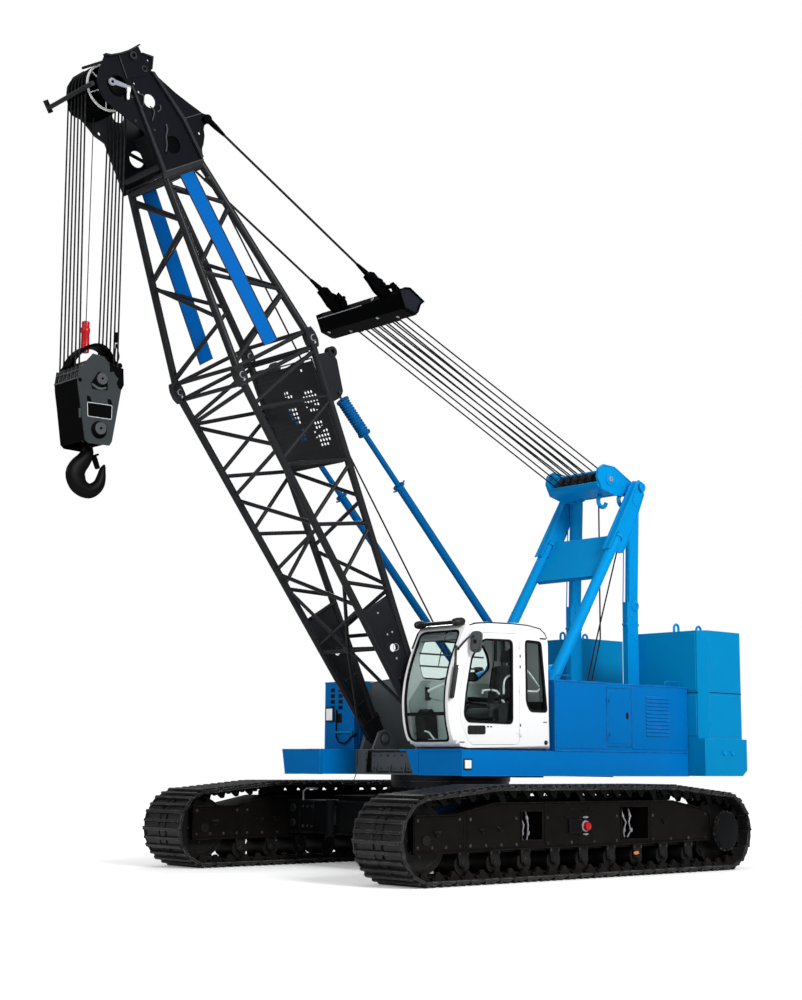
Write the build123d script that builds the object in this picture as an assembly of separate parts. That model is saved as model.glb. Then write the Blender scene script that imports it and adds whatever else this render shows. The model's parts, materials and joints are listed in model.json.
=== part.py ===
from build123d import *
import os
from math import atan2, cos, degrees, sin

# Crawler crane, millimetres.
# The ground is z = 0, the slewing axis is x = y = 0, the crane faces -Y and its cab is on +X.

# ---------------------------------------------------------------- driving dimensions
clearance = 0.3                 # gap between pieces that seat on each other

# crawlers
track_gauge = 4606              # centre to centre
shoe_width = 894
wheel_base = 5800               # idler axle to sprocket axle
track_end_radius = 550
track_top = 1211
top_run_half = 1700             # half length of the level top run
shoe_thickness = 70
shoe_count = 60
shoe_gap = 22
belt_thickness = 45
frame_plate_half = 300          # half width of a crawler side frame
frame_bottom = 405
frame_top = 985
hub_radius = 270
roller_radius = 125
roller_count = 9
axle_radius = 60

# slewing gear and carbody
ring_radius = 850
ring_play = 0.8                 # running gap of the slewing bearing
deck_bottom = 1315
carbody_top = 1130
carbody_half = 1150
crossbeam_y = 1150
crossbeam_half = 240

# revolving frame, decks and houses
upper_half = 1594
deck_top = 1658
upper_rear = 3472
centre_half = 720
house_top = 2652
house_wall = 40
house_inner = 920
left_house_front = 500
right_house_front = -1060
door_front = 1600
door_rear = 2150
door_gap = 6
hinge_radius = 12
right_deck_front = -1855
left_deck_front = -1310

# counterweight
weight_front = 3488
weight_rear = 4532
weight_half = 1906
weight_inner = 570
weight_levels = (1315, 1875, 2572, 3518)
weight_chamfer = 120

# cab
cab_inner = 690
cab_wall = 45
cab_glass = 8
cab_floor = 1680

# boom
boom_angle = 58.7
boom_foot = (-884, 1821)        # y, z of the foot pin
foot_pin_radius = 55
foot_half = 608
joint_half = 754
tip_half = 453
joint_at = 5750
tip_at = 8400
foot_depth = (-186, 78)         # front and back faces at the foot
joint_depth = (-726, 729)
tip_depth = (-313, 431)
chord_radius = 52
lacing_radius = 28
plated_to = 2100
plate_thickness = 12
head_plate = 26
head_reach = (1265, -403)       # hoist sheave pin, beyond the tip frame and across
sheave_pitch = 270              # pitch radius of the hoist sheaves
sheave_half = 34                # half width of one sheave
head_pin_radius = 70
eye_pin_radius = 40
tie_radius = 45
eye_reach = (500, 680)          # pendant eye, beyond the tip frame and across

# gantry and derricking gear
gantry_x = 720
gantry_foot = (820, 1800)
gantry_pin = (3450, 5850)
gantry_tube = 85
link_x = 600
block_axle = (2950, 5950)
top_pin_radius = 50
foot_ear_pin = 45
axle_pin_radius = 40            # pins of the derricking sheaves
bridle_eye_pin = 35
derrick_sheave = 128
derrick_count = 6
derrick_pitch = 160
bridle_axle = (-1450, 7780)
bridle_half = 900
bridle_pin = (-2060, 8220)
pendant_x = 515
pendant_radius = 26
fall_radius = 12

# boom backstops
backstop_x = 622
backstop_foot = (940, 2700)
backstop_head = (850, 815)      # back from the joint and across the boom
stop_pin_radius = 25
stop_eye_half = 17              # half thickness of the eyes
backstop_tube = 58
backstop_rod = 40

# hook block and hook
hook_axle_z = 6106
hook_trunnion_z = 5492
hook_pin_radius = 45
trunnion_radius = 60
shank_radius = 50
bowl_z = 4945                   # centre of the hook's bowl
bowl_radius = 284
bowl_opening = 150
fall_count = 6
fall_pitch = 92

os.makedirs("parts", exist_ok=True)


# ---------------------------------------------------------------- helpers
def save(name, *shapes):
    solids = [solid for shape in shapes for solid in shape.solids()]
    export_step(Compound(solids), f"parts/{name}.step")


def box(x0, x1, y0, y1, z0, z1):
    middle = ((x0 + x1) / 2, (y0 + y1) / 2, (z0 + z1) / 2)
    return Pos(*middle) * Box(x1 - x0, y1 - y0, z1 - z0)


def tube(start, end, radius):
    start, end = Vector(start), Vector(end)
    return Solid.make_cylinder(radius, (end - start).length, Plane(origin=start, z_dir=end - start))


def cross_rod(x0, x1, y, z, radius):
    return tube((x0, y, z), (x1, y, z), radius)


def side_plate(points, x0, x1):
    """A flat plate in the YZ plane, from x0 to x1."""
    outline = Polyline(*[(x0, y, z) for y, z in points], close=True)
    return extrude(make_face(outline), amount=x1 - x0, dir=(1, 0, 0))


def both_sides(shape):
    return [shape, mirror(shape, about=Plane.YZ)]


def largest(shape):
    return max(shape.solids(), key=lambda solid: solid.volume)


def fused(shapes):
    return Part() + [solid for shape in shapes for solid in shape.solids()]


def between(a, b, t):
    return a + (b - a) * t


# ---------------------------------------------------------------- crawlers
def hull_outline(inset):
    """Loop round the idler, the sprocket and the ends of the top run, inset from the shoe tips."""
    end_r = track_end_radius - inset
    bend_r = 2 * end_r / 3
    half = wheel_base / 2
    bend_z = track_top - inset - bend_r
    circles = [
        Edge.make_circle(end_r, Plane((y, track_end_radius))) for y in (-half, half)
    ] + [
        Edge.make_circle(bend_r, Plane((y, bend_z))) for y in (-top_run_half, top_run_half)
    ]
    return make_hull(circles)


def track_loop():
    outer = hull_outline(0)
    inner = hull_outline(shoe_thickness + belt_thickness)
    wire = outer.face().outer_wire()
    notches = []
    for number in range(shoe_count):
        at = wire.position_at(number / shoe_count)
        along = wire.tangent_at(number / shoe_count)
        angle = degrees(atan2(along.Y, along.X))
        notches.append(Pos(at.X, at.Y) * Rot(0, 0, angle) * Rectangle(shoe_gap, 2 * shoe_thickness))
    band = outer - inner - notches
    flat = extrude(band, amount=shoe_width)
    return Location(Plane(origin=(-shoe_width / 2, 0, 0), x_dir=(0, 1, 0), z_dir=(1, 0, 0))) * flat


def side_frame():
    half = wheel_base / 2
    outline = [
        (-half - 200, 845), (-2430, 850), (-1720, frame_top), (1780, frame_top), (half - 270, 837),
        (half - 90, 740), (half - 90, 350), (half - 330, 424), (200, frame_bottom), (-1280, frame_bottom),
        (-half - 200, 383),
    ]
    body = side_plate(outline, -frame_plate_half, frame_plate_half)
    pocket = side_plate(
        [(-half - 400, 1000), (-half + 500, 1000), (-half + 500, 200), (-half - 400, 200)],
        -frame_plate_half + 45, frame_plate_half - 45)
    windows = [
        box(-400, 400, -1238, -850, 508, 940 - 60),
        box(-400, 400, 710, 1275, 475, 974 - 60),
    ]
    rear_pocket = side_plate(
        [(half - 520, 1000), (half, 1000), (half, 200), (half - 520, 200)], -120, 120)
    idler_hole = cross_rod(-400, 400, -half, track_end_radius, axle_radius + clearance)
    hub_hole = cross_rod(-400, 400, half, track_end_radius, hub_radius + clearance)
    return largest(body - pocket - rear_pocket - windows - idler_hole - hub_hole)


def crawler(side):
    x = side * track_gauge / 2
    half = wheel_base / 2
    inner = track_end_radius - shoe_thickness - belt_thickness
    idler = fused([
        cross_rod(-190, 190, -half, track_end_radius, inner - 3),
        cross_rod(-frame_plate_half - 20, frame_plate_half + 20, -half, track_end_radius, axle_radius),
    ])
    hub = sorted((side * 100, side * (shoe_width / 2 - 40)))
    sprocket = fused([
        cross_rod(-110, 110, half, track_end_radius, inner - 3),
        cross_rod(*hub, half, track_end_radius, hub_radius),
    ])
    run = wheel_base - 2 * inner - 4 * roller_radius
    floor_z = shoe_thickness + belt_thickness + clearance
    rollers = []
    for number in range(roller_count):
        y = -run / 2 + run * number / (roller_count - 1)
        rollers.append(cross_rod(-220, 220, y, floor_z + roller_radius, roller_radius))
    ceiling_z = track_top - shoe_thickness - belt_thickness - clearance
    carrier_r = (ceiling_z - frame_top) / 2
    for y in (-1500, 0, 1500):
        rollers.append(cross_rod(-220, 220, y, ceiling_z - carrier_r, carrier_r))
    place = Pos(x, 0, 0)
    return {
        "track": place * track_loop(),
        "track_frame": place * side_frame(),
        "idler": place * idler,
        "sprocket": place * sprocket,
        "rollers": [place * roller for roller in rollers],
    }


left = crawler(1)
right = crawler(-1)
for name, half in (("left", left), ("right", right)):
    save(f"track_{name}", half["track"])
    save(f"track_frame_{name}", half["track_frame"])
save("track_rollers", *left["rollers"], *right["rollers"])
save("idlers", left["idler"], right["idler"])
save("sprockets", left["sprocket"], right["sprocket"])


# ---------------------------------------------------------------- carbody and slewing ring
frame_inner = track_gauge / 2 - frame_plate_half
carbody = fused([
    box(-carbody_half, carbody_half, -carbody_half, carbody_half, 480, 1000),
    box(-frame_inner, frame_inner, -crossbeam_y - crossbeam_half, -crossbeam_y + crossbeam_half, 470, 930),
    box(-frame_inner, frame_inner, crossbeam_y - crossbeam_half, crossbeam_y + crossbeam_half, 470, 930),
    Pos(0, 0, (1000 + carbody_top) / 2) * Cylinder(ring_radius + 60, carbody_top - 1000),
])
save("carbody", carbody)
ring_split = (carbody_top + deck_bottom) / 2


def ring(low, high, radius):
    hoop = Cylinder(radius, high - low) - Cylinder(ring_radius - 160, 2 * (high - low))
    return Pos(0, 0, (low + high) / 2) * hoop


save("slew_ring_lower", ring(carbody_top + clearance, ring_split - ring_play / 2, ring_radius))
save("slew_ring_upper", ring(ring_split + ring_play / 2, deck_bottom - clearance, ring_radius + 15))


# ---------------------------------------------------------------- revolving frame
web = 20
frame_front = -1130
bracket_x = 668
web_x = 640
frame_rear = weight_front - clearance
bottom_plate = box(-centre_half, centre_half, frame_front - 60, frame_rear, deck_bottom, deck_bottom + 25)
top_plate = box(-centre_half, centre_half, frame_front, frame_rear, deck_top - 20, deck_top)
girders = []
for side in (-1, 1):
    x0, x1 = sorted((side * web_x, side * (web_x - web)))
    girders.append(box(x0, x1, frame_front, frame_rear, deck_bottom, deck_top))
for y in (frame_front + 80, 100, 1300, frame_rear - web):
    girders.append(box(-web_x, web_x, y, y + web, deck_bottom, deck_top))
save("revolving_frame", fused([bottom_plate, top_plate, *girders]))

bracket_outline = [
    (frame_front, deck_top + clearance), (-1010, 2050), (-960, 2620), (-200, 2760), (250, 2300),
    (560, deck_top + clearance),
]
foot_y, foot_z = boom_foot
lug_outline = [
    (foot_y - 230, deck_top + clearance), (foot_y - 110, foot_z + 90), (foot_y, foot_z + 130),
    (foot_y + 110, foot_z + 90), (foot_y + 230, deck_top + clearance),
]
pin_hole = cross_rod(-upper_half, upper_half, foot_y, foot_z, foot_pin_radius + clearance)
outer_bracket = side_plate(bracket_outline, bracket_x - web, bracket_x) - pin_hole
inner_bracket = side_plate(lug_outline, 445, 475) - pin_hole
foot_pin = cross_rod(430, bracket_x + 12, foot_y, foot_z, foot_pin_radius)
save("boom_foot_brackets", *both_sides(outer_bracket), *both_sides(inner_bracket), *both_sides(foot_pin))

# ---------------------------------------------------------------- decks beside the centre frame
deck_sheet = 8
deck_inner = centre_half + clearance


def channel_deck(side, front, rear):
    """A folded sill: a top sheet, an outer skin and an inner flange."""
    x0, x1 = sorted((side * deck_inner, side * upper_half))
    skin0, skin1 = sorted((side * (upper_half - 12), side * upper_half))
    flange0, flange1 = sorted((side * deck_inner, side * (deck_inner + 12)))
    pieces = [
        box(x0, x1, front, rear, deck_top - deck_sheet, deck_top),
        box(skin0, skin1, front, rear, deck_bottom, deck_top),
        box(flange0, flange1, front, rear, deck_bottom, deck_top),
        box(x0, x1, front, front + 12, deck_bottom, deck_top),
        box(x0, x1, rear - 12, rear, deck_bottom, deck_top),
    ]
    return fused(pieces)


mounts = [
    Pos(x, y, (deck_top + cab_floor - clearance) / 2) * Cylinder(55, cab_floor - clearance - deck_top)
    for x in (cab_inner + 130, upper_half - 100) for y in (-1000, 250)
]
save("deck_left", fused([channel_deck(1, left_deck_front, upper_rear), *mounts]))
right_deck = channel_deck(-1, right_deck_front + 60, upper_rear)
save("deck_right", right_deck)


# ---------------------------------------------------------------- machine houses
def house(side, front, doorway):
    x0, x1 = sorted((side * house_inner, side * upper_half))
    floor = deck_top + clearance
    shell = box(x0, x1, front, upper_rear, floor, house_top)
    room = box(x0 + house_wall, x1 - house_wall, front + house_wall, upper_rear - house_wall,
               floor - 10, house_top - house_wall)
    door_x = sorted((side * (upper_half - 2 * house_wall), side * (upper_half + 10)))
    opening = box(*door_x, doorway[0], doorway[1], floor + 70, house_top - 70)
    return shell - room - opening


doorway = (door_front, door_rear)


def hinges(side, y, heights, towards):
    """Fixed knuckles and leaves on the outer skin, and the door's, which lie towards +Y or -Y."""
    x = side * (upper_half + hinge_radius)
    skin = sorted((side * (upper_half - 2), side * (upper_half + 5)))
    fixed, moving = [], []
    fixed_leaf = sorted((y, y - towards * 50))
    moving_leaf = sorted((y, y + towards * 60))
    for z in heights:
        for low, high in ((z - 60, z - 20 - clearance), (z + 20 + clearance, z + 60)):
            fixed.append(tube((x, y, low), (x, y, high), hinge_radius))
            fixed.append(box(*skin, *fixed_leaf, low, high))
        moving.append(tube((x, y, z - 20), (x, y, z + 20), hinge_radius))
        moving.append(box(*skin, *moving_leaf, z - 20, z + 20))
    return fixed, moving


house_hinge_z = (1900, 2400)
house_hinge_y = door_front + door_gap / 2


def house_door(side):
    x0, x1 = sorted((side * (upper_half - house_wall), side * upper_half))
    floor = deck_top + clearance
    panel = box(x0, x1, door_front + door_gap, door_rear - door_gap, floor + 70 + door_gap,
                house_top - 70 - door_gap)
    return fused([panel, *hinges(side, house_hinge_y, house_hinge_z, 1)[1]])


for name, side, front in (("left", 1, left_house_front), ("right", -1, right_house_front)):
    fixed = hinges(side, house_hinge_y, house_hinge_z, 1)[0]
    save(f"house_{name}", fused([house(side, front, doorway), *fixed]))
save("house_door_left", house_door(1))
save("house_door_right", house_door(-1))
save("engine_block", box(-1480, -1030, 1000, 2300, deck_top + 90, 2450),
     box(-1430, -1080, 1100, 1220, deck_top + clearance, deck_top + 90 - clearance),
     box(-1430, -1080, 2080, 2200, deck_top + clearance, deck_top + 90 - clearance))

# ---------------------------------------------------------------- winches
drum_y = (300, 1150, 2350)
drum_r = (260, 260, 210)
drums = []
for y, r in zip(drum_y, drum_r):
    drum = fused([
        cross_rod(-430, 430, y, deck_top + 420, r),
        cross_rod(-430, -400, y, deck_top + 420, r + 110),
        cross_rod(400, 430, y, deck_top + 420, r + 110),
        cross_rod(-480, 480, y, deck_top + 420, 60),
    ])
    drums.append(drum)
save("winch_drums", *drums)
pedestals = []
for y, r in zip(drum_y, drum_r):
    outline = [
        (y - 260, deck_top + clearance), (y - 110, deck_top + 540), (y + 110, deck_top + 540),
        (y + 260, deck_top + clearance),
    ]
    plate = side_plate(outline, 440, 470) - cross_rod(400, 500, y, deck_top + 420, 60 + clearance)
    pedestals += both_sides(plate)
save("winch_stands", *pedestals)

# ---------------------------------------------------------------- counterweight
z0, z1, z2, z3 = weight_levels
tray = side_plate(
    [(weight_front, z0), (weight_rear - 120, z0), (weight_rear, z0 + 90), (weight_rear, z1 - clearance),
     (weight_front, z1 - clearance)], -weight_half, weight_half)
save("counterweight_base", tray)


def weight_block(side, low, high):
    x0, x1 = sorted((side * weight_inner, side * weight_half))
    block = box(x0, x1, weight_front, weight_rear, low, high)
    corner_x = side * weight_half
    edges = [e for e in block.edges().filter_by(Axis.Z) if abs(e.center().X - corner_x) < 1]
    return chamfer(ShapeList(edges), weight_chamfer)


for name, side in (("left", 1), ("right", -1)):
    save(f"counterweight_{name}", weight_block(side, z1, z2 - clearance), weight_block(side, z2, z3))

# ---------------------------------------------------------------- cab
cab_profile = [
    (420, cab_floor), (-1170, cab_floor), (-1391, cab_floor + 60), (-1480, 1900), (-1545, 2185), (-1576, 2502),
    (-1500, 2720), (-1394, 2900), (-1214, 3312), (-1130, 3345), (-839, 3371), (-173, 3404), (250, 3390),
    (330, 3330), (370, 3166),
]


def shrink(points, amount):
    face = make_face(Polyline(*[(y, z) for y, z in points], close=True))
    return offset(face, amount=-amount)


def cab_solid(x0, x1, inset):
    flat = extrude(shrink(cab_profile, inset), amount=x1 - x0)
    return Location(Plane(origin=(x0, 0, 0), x_dir=(0, 1, 0), z_dir=(1, 0, 0))) * flat


door_profile = [
    (-215, 1760), (-1150, 1720), (-1360, 2190), (-1365, 2511), (-925, 3245), (-215, 3285),
]
door_window = [
    (-343, 2012), (-1212, 2025), (-1280, 2128), (-1225, 2600), (-915, 3149), (-373, 3163),
]
rear_window = [(-96, 3179), (223, 3171), (340, 2186), (-17, 2185), (-80, 2308)]
windscreen = [(-1700, 2150), (-1700, 3230), (-1150, 3230), (-1400, 2150)]
lower_screen = [(-1700, 1790), (-1700, 2095), (-1380, 2095), (-1380, 1790)]

outer = cab_solid(cab_inner, upper_half, 0)
room = cab_solid(cab_inner + cab_wall, upper_half - cab_wall, cab_wall)
shell = outer - room
shell -= side_plate(door_profile, upper_half - cab_wall - 5, upper_half + 5)
shell -= side_plate(rear_window, upper_half - cab_wall - 5, upper_half + 5)
shell -= side_plate([(-1250, 2100), (-1330, 2500), (-1050, 3100), (250, 3120), (300, 2100)],
                    cab_inner - 5, cab_inner + cab_wall + 5)
shell -= side_plate(windscreen, cab_inner + 70, upper_half - 70)
shell -= side_plate(lower_screen, cab_inner + 70, upper_half - 70)
shell -= box(cab_inner + 90, upper_half - 90, 250, 500, 2350, 3080)
cab_hinge_y = door_profile[0][0] - door_gap / 2
cab_hinge_z = (1900, 2500, 3100)
cab_fixed, cab_moving = hinges(1, cab_hinge_y, cab_hinge_z, -1)
save("cab_shell", fused([largest(shell), *cab_fixed]))


def shrunk_plate(points, amount, x0, x1):
    flat = extrude(shrink(points, amount), amount=x1 - x0)
    return Location(Plane(origin=(x0, 0, 0), x_dir=(0, 1, 0), z_dir=(1, 0, 0))) * flat


door = shrunk_plate(door_profile, door_gap, upper_half - cab_wall, upper_half)
door -= side_plate(door_window, upper_half - cab_wall - 5, upper_half + 5)
save("cab_door", fused([door, *cab_moving]))
save("cab_door_glass", shrunk_plate(door_window, clearance, upper_half - 30, upper_half - 30 + cab_glass))
band = cab_solid(cab_inner, upper_half, 15) - cab_solid(cab_inner, upper_half, 15 + cab_glass)
front_glass = [
    band & shrunk_plate(shape, clearance, cab_inner + 70 + clearance, upper_half - 70 - clearance)
    for shape in (windscreen, lower_screen)
]
side_glass = shrunk_plate(rear_window, clearance, upper_half - 30, upper_half - 30 + cab_glass)
inner_glass = shrunk_plate([(-1250, 2100), (-1330, 2500), (-1050, 3100), (250, 3120), (300, 2100)], clearance,
                           cab_inner + 20, cab_inner + 20 + cab_glass)
save("cab_glass", *front_glass, side_glass, inner_glass)
seat = fused([
    box(920, 1400, -620, -80, 2080, 2220),
    side_plate([(-60, 2150), (-180, 2150), (-60, 2900), (60, 2900)], 930, 1390),
    box(1000, 1320, -520, -160, cab_floor + cab_wall + clearance, 2080),
])
consoles = [
    box(cab_inner + cab_wall + 30, 900, -700, 50, cab_floor + cab_wall + clearance, 2330),
    box(1420, upper_half - cab_wall - 12, -560, -60, cab_floor + cab_wall + clearance, 2300),
]
save("cab_interior", seat, *consoles)


# ---------------------------------------------------------------- boom
# The boom is drawn lying flat, foot pin at the origin and head towards -Y, then raised.
raised = Pos(0, foot_y, foot_z) * Rot(-boom_angle, 0, 0)
stations = {
    "foot": (0, foot_half, foot_depth), "joint": (joint_at, joint_half, joint_depth),
    "tip": (tip_at, tip_half, tip_depth),
}


def chord_axis(along, side, face):
    """Centre of a chord: side -1 or 1, face 0 for the front and 1 for the back."""
    low, high = ("foot", "joint") if along <= joint_at else ("joint", "tip")
    s0, half0, depth0 = stations[low]
    s1, half1, depth1 = stations[high]
    t = (along - s0) / (s1 - s0)
    half = between(half0, half1, t) - chord_radius
    inward = chord_radius if face == 0 else -chord_radius
    across = between(depth0[face], depth1[face], t) + inward
    return Vector(side * half, -along, across)


corners = [(side, face) for side in (-1, 1) for face in (0, 1)]
block_length = 150
connectors = []
connector_room = []
for side, face in corners:
    at = chord_axis(joint_at, side, face)
    r = chord_radius + 10
    body = box(at.X - r, at.X + r, at.Y - block_length / 2, at.Y + block_length / 2, at.Z - r, at.Z + r)
    pin = cross_rod(at.X - r - 25, at.X + r + 25, at.Y, at.Z, 34)
    connectors.append(fused([body, pin]))
    connector_room.append(box(at.X - r - 30, at.X + r + 30, at.Y - block_length / 2 - clearance,
                              at.Y + block_length / 2 + clearance, at.Z - r - 5, at.Z + r + 5))


def chord_set(low, high, butt_end):
    """Four chords from one level to another, cut square at the foot lugs and the connectors."""
    pieces = []
    for (side, face), room in zip(corners, connector_room):
        start, end = chord_axis(low, side, face), chord_axis(high, side, face)
        chord = tube(start, end, chord_radius).cut(*room.solids(), *butt_end.solids())
        pieces.append(largest(chord))
    return pieces


def chord_room(low, high):
    return [
        tube(chord_axis(low, side, face), chord_axis(high, side, face), chord_radius + clearance)
        for side, face in corners
    ]


def lace(points, room):
    """Tubes from point to point, each coped to the chords."""
    members = []
    for start, end in zip(points, points[1:]):
        member = tube(start, end, lacing_radius)
        members.append(largest(member.cut(*room)))
    return members


butt_start = 330
tip_start = joint_at + 0.01
node_gap = 34


def zigzag(side_faces, levels, room):
    """Lacing that runs from chord to chord at the given levels."""
    members = []
    for number in range(len(levels) - 1):
        start_chord, end_chord = side_faces[number % 2], side_faces[(number + 1) % 2]
        start = chord_axis(levels[number] + node_gap, *start_chord)
        end = chord_axis(levels[number + 1] - node_gap, *end_chord)
        members += lace([start, end], room)
    return members


def struts(side_faces, levels, room):
    members = []
    for level in levels:
        members += lace([chord_axis(level, *side_faces[0]), chord_axis(level, *side_faces[1])], room)
    return members


butt_room = chord_room(butt_start - 60, joint_at)
tip_room = chord_room(tip_start, tip_at + 300)


def levels(start, end, bays):
    """Node levels from start to end, with bays in the given proportions."""
    marks = [start]
    for bay in bays:
        marks.append(marks[-1] + bay * (end - start) / sum(bays))
    return marks


butt_levels = levels(plated_to + 60, joint_at - 130, (50, 45, 45, 46, 46, 44, 38, 32))
tip_levels = levels(joint_at + 130, tip_at - 60, (60, 70, 60, 56))
cross_levels_butt = levels(plated_to - 460, joint_at - 150, (58, 68, 60, 60, 60, 55, 35))
cross_levels_tip = levels(joint_at + 150, tip_at - 100, (60, 70, 60, 50))

side_lacing = []
for side in (-1, 1):
    back, front = (side, 1), (side, 0)
    side_lacing += zigzag((back, front), butt_levels, butt_room)
    side_lacing += zigzag((front, back), tip_levels, tip_room)
    side_lacing += struts((front, back), (joint_at - 110, joint_at + 112), butt_room + tip_room)
face_lacing = []
for face in (0, 1):
    far, near = (-1, face), (1, face)
    face_lacing += zigzag((far, near), cross_levels_butt, butt_room)
    face_lacing += zigzag((far, near), cross_levels_tip, tip_room)
    face_lacing += struts((far, near), (joint_at - 112, joint_at + 115, plated_to - 540), butt_room + tip_room)


def on_boom(shapes):
    return [raised * shape for shape in shapes]


foot_room = box(-900, 900, -butt_start, 500, -500, 500)
save("boom_chords", *on_boom(chord_set(butt_start - 50, joint_at, foot_room)),
     *on_boom(chord_set(tip_start, tip_at, foot_room)))
save("boom_side_lacing", *on_boom(side_lacing))
save("boom_face_lacing", *on_boom(face_lacing))
save("boom_connectors", *on_boom(connectors))


def side_panel(levels, side):
    """A flat panel between the front and back chords of one side."""
    low, high = levels
    places = ((low, 0), (high, 0), (high, 1), (low, 1))
    loop = [chord_axis(level, side, face) for level, face in places]
    face = make_face(Polyline(*loop, close=True))
    return Pos(-plate_thickness / 2, 0, 0) * extrude(face, amount=plate_thickness, dir=(1, 0, 0))


panels = []
for side in (-1, 1):
    slot = cross_rod(-900, 900, -1446, -40, 55)
    panels.append(largest((side_panel((butt_start, plated_to), side) - slot).cut(*butt_room)))

lug_outline = [(-60, -110), (-110, -40), (-110, 50), (-60, 100), (butt_start - clearance, 118),
               (butt_start - clearance, -215), (100, -190)]
lugs = []
for side in (-1, 1):
    x0, x1 = sorted((side * (foot_half - 90), side * (foot_half - 5)))
    lug = side_plate([(-along, across) for along, across in lug_outline], x0, x1)
    lugs.append(lug - cross_rod(-900, 900, 0, 0, foot_pin_radius + clearance))
save("boom_foot_plates", *on_boom(panels), *on_boom(lugs))

# walkway sheet on the back face of the butt section
walk_low, walk_high = joint_at - 1790, joint_at - 190
walk_corners = ((walk_low, -1), (walk_high, -1), (walk_high, 1), (walk_low, 1))
loop = [chord_axis(level, side, 1) for level, side in walk_corners]
inset = chord_radius + clearance
shift = [Vector(inset, 0, 0), Vector(inset, 0, 0), Vector(-inset, 0, 0), Vector(-inset, 0, 0)]
loop = [corner + move - Vector(0, 0, lacing_radius + clearance) for corner, move in zip(loop, shift)]
sheet = extrude(make_face(Polyline(*loop, close=True)), amount=10, dir=(0, 0, -1))
save("boom_walkway", raised * sheet)

# long blank boards on the sides of the tip section
boards = []
for side in (-1, 1):
    ends = (joint_at + 200, tip_at - 40)
    centres = [(chord_axis(end, side, 0) + chord_axis(end, side, 1)) / 2 for end in ends]
    out = side * (lacing_radius + clearance)
    loop = [
        centres[0] + Vector(out, 0, -120), centres[1] + Vector(out, 0, -120),
        centres[1] + Vector(out, 0, 120), centres[0] + Vector(out, 0, 120),
    ]
    boards.append(extrude(make_face(Polyline(*loop, close=True)), amount=side * 10, dir=(1, 0, 0)))
save("boom_boards", *on_boom(boards))

# head
head_back = [(1440, 260), (1310, 160), (950, 390), (640, 760), (460, 790), (220, 500), (5, 470)]
near_outline = [                # beyond the tip frame, across
    (5, -345), (620, -318), (770, -430), (1000, -620), (1190, -720), (1330, -715), (1450, -650),
    (1670, -420), (1660, 120), *head_back,
]
far_outline = [
    (5, -345), (300, -315), (724, -285), (865, -393), (1050, -450), (1300, -565), (1440, -540),
    (1560, -460), (1650, -310), (1680, -130), (1640, 60), *head_back,
]
near_holes = [(353, 3, 95), (963, -57, 92)]         # along, across, radius
far_holes = [(393, 96, 115), (1000, 100, 95)]
tie_places = [(160, -260), (160, 380), (1530, -130)]
pin_s, pin_n = tip_at + head_reach[0], head_reach[1]
eye_s, eye_n = tip_at + eye_reach[0], eye_reach[1]
head = []
for side, outline, holes in ((-1, far_outline, far_holes), (1, near_outline, near_holes)):
    x0, x1 = sorted((side * (tip_half + clearance), side * (tip_half + head_plate)))
    plate = side_plate([(-tip_at - along, across) for along, across in outline], x0, x1)
    plate -= [cross_rod(-600, 600, -tip_at - along, across, r) for along, across, r in holes]
    plate -= cross_rod(-600, 600, -pin_s, pin_n, head_pin_radius + clearance)
    plate -= cross_rod(-600, 600, -eye_s, eye_n, eye_pin_radius + clearance)
    head.append(plate)
ties = [
    cross_rod(-tip_half, tip_half, -tip_at - along, across, tie_radius)
    for along, across in tie_places
]
save("boom_head", *on_boom(head))
eye_pins = []
for side in (-1, 1):
    x0, x1 = sorted((side * (tip_half - 30), side * (pendant_x - pendant_radius - clearance)))
    eye_pins.append(cross_rod(x0, x1, -eye_s, eye_n, eye_pin_radius))
save("boom_head_ties", *on_boom(ties), *on_boom(eye_pins))
fall_x = [(number - (fall_count - 1) / 2) * fall_pitch for number in range(fall_count)]
sheave_body = sheave_pitch - fall_radius - clearance
pin_end = tip_half + head_plate + 30
head_sheaves = [cross_rod(-pin_end, pin_end, -pin_s, pin_n, head_pin_radius)]
for x in fall_x:
    head_sheaves.append(cross_rod(x - sheave_half, x + sheave_half, -pin_s, pin_n, sheave_body))
save("boom_head_sheaves", raised * fused(head_sheaves))

# ears for the backstops
stop_s, stop_n = joint_at - backstop_head[0], backstop_head[1]
ear_seat = lacing_radius + 4


def over_chord(along, up):
    """A point of the flat boom's side view at a height over the back chord's axis."""
    return (-along, chord_axis(along, 1, 1).Z + up)


ears = []
for side in (-1, 1):
    outline = [
        over_chord(stop_s - 60, ear_seat), (-stop_s + 60, stop_n - 20), (-stop_s, stop_n + 70),
        (-stop_s - 420, stop_n + 190), (-stop_s - 560, stop_n + 150), over_chord(stop_s + 620, ear_seat),
    ]
    seat_outline = [
        over_chord(stop_s - 60, 10), over_chord(stop_s + 240, 10), over_chord(stop_s + 240, ear_seat + 10),
        over_chord(stop_s - 60, ear_seat + 10),
    ]
    seat0, seat1 = sorted((side * (backstop_x - 38), side * (backstop_x + 60)))
    pair = [
        side_plate(outline, side * backstop_x + low, side * backstop_x + low + 18) for low in (-38, 20)
    ]
    ear = fused([*pair, side_plate(seat_outline, seat0, seat1)])
    ear -= cross_rod(-900, 900, -stop_s, stop_n, stop_pin_radius + clearance)
    ears.append(largest(largest(ear).cut(*butt_room)))
    for end, eye_face in ((-50, -stop_eye_half - clearance), (stop_eye_half + clearance, 50)):
        x0, x1 = side * backstop_x + end, side * backstop_x + eye_face
        ears.append(cross_rod(x0, x1, -stop_s, stop_n, stop_pin_radius))
save("boom_backstop_ears", *on_boom(ears))

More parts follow.
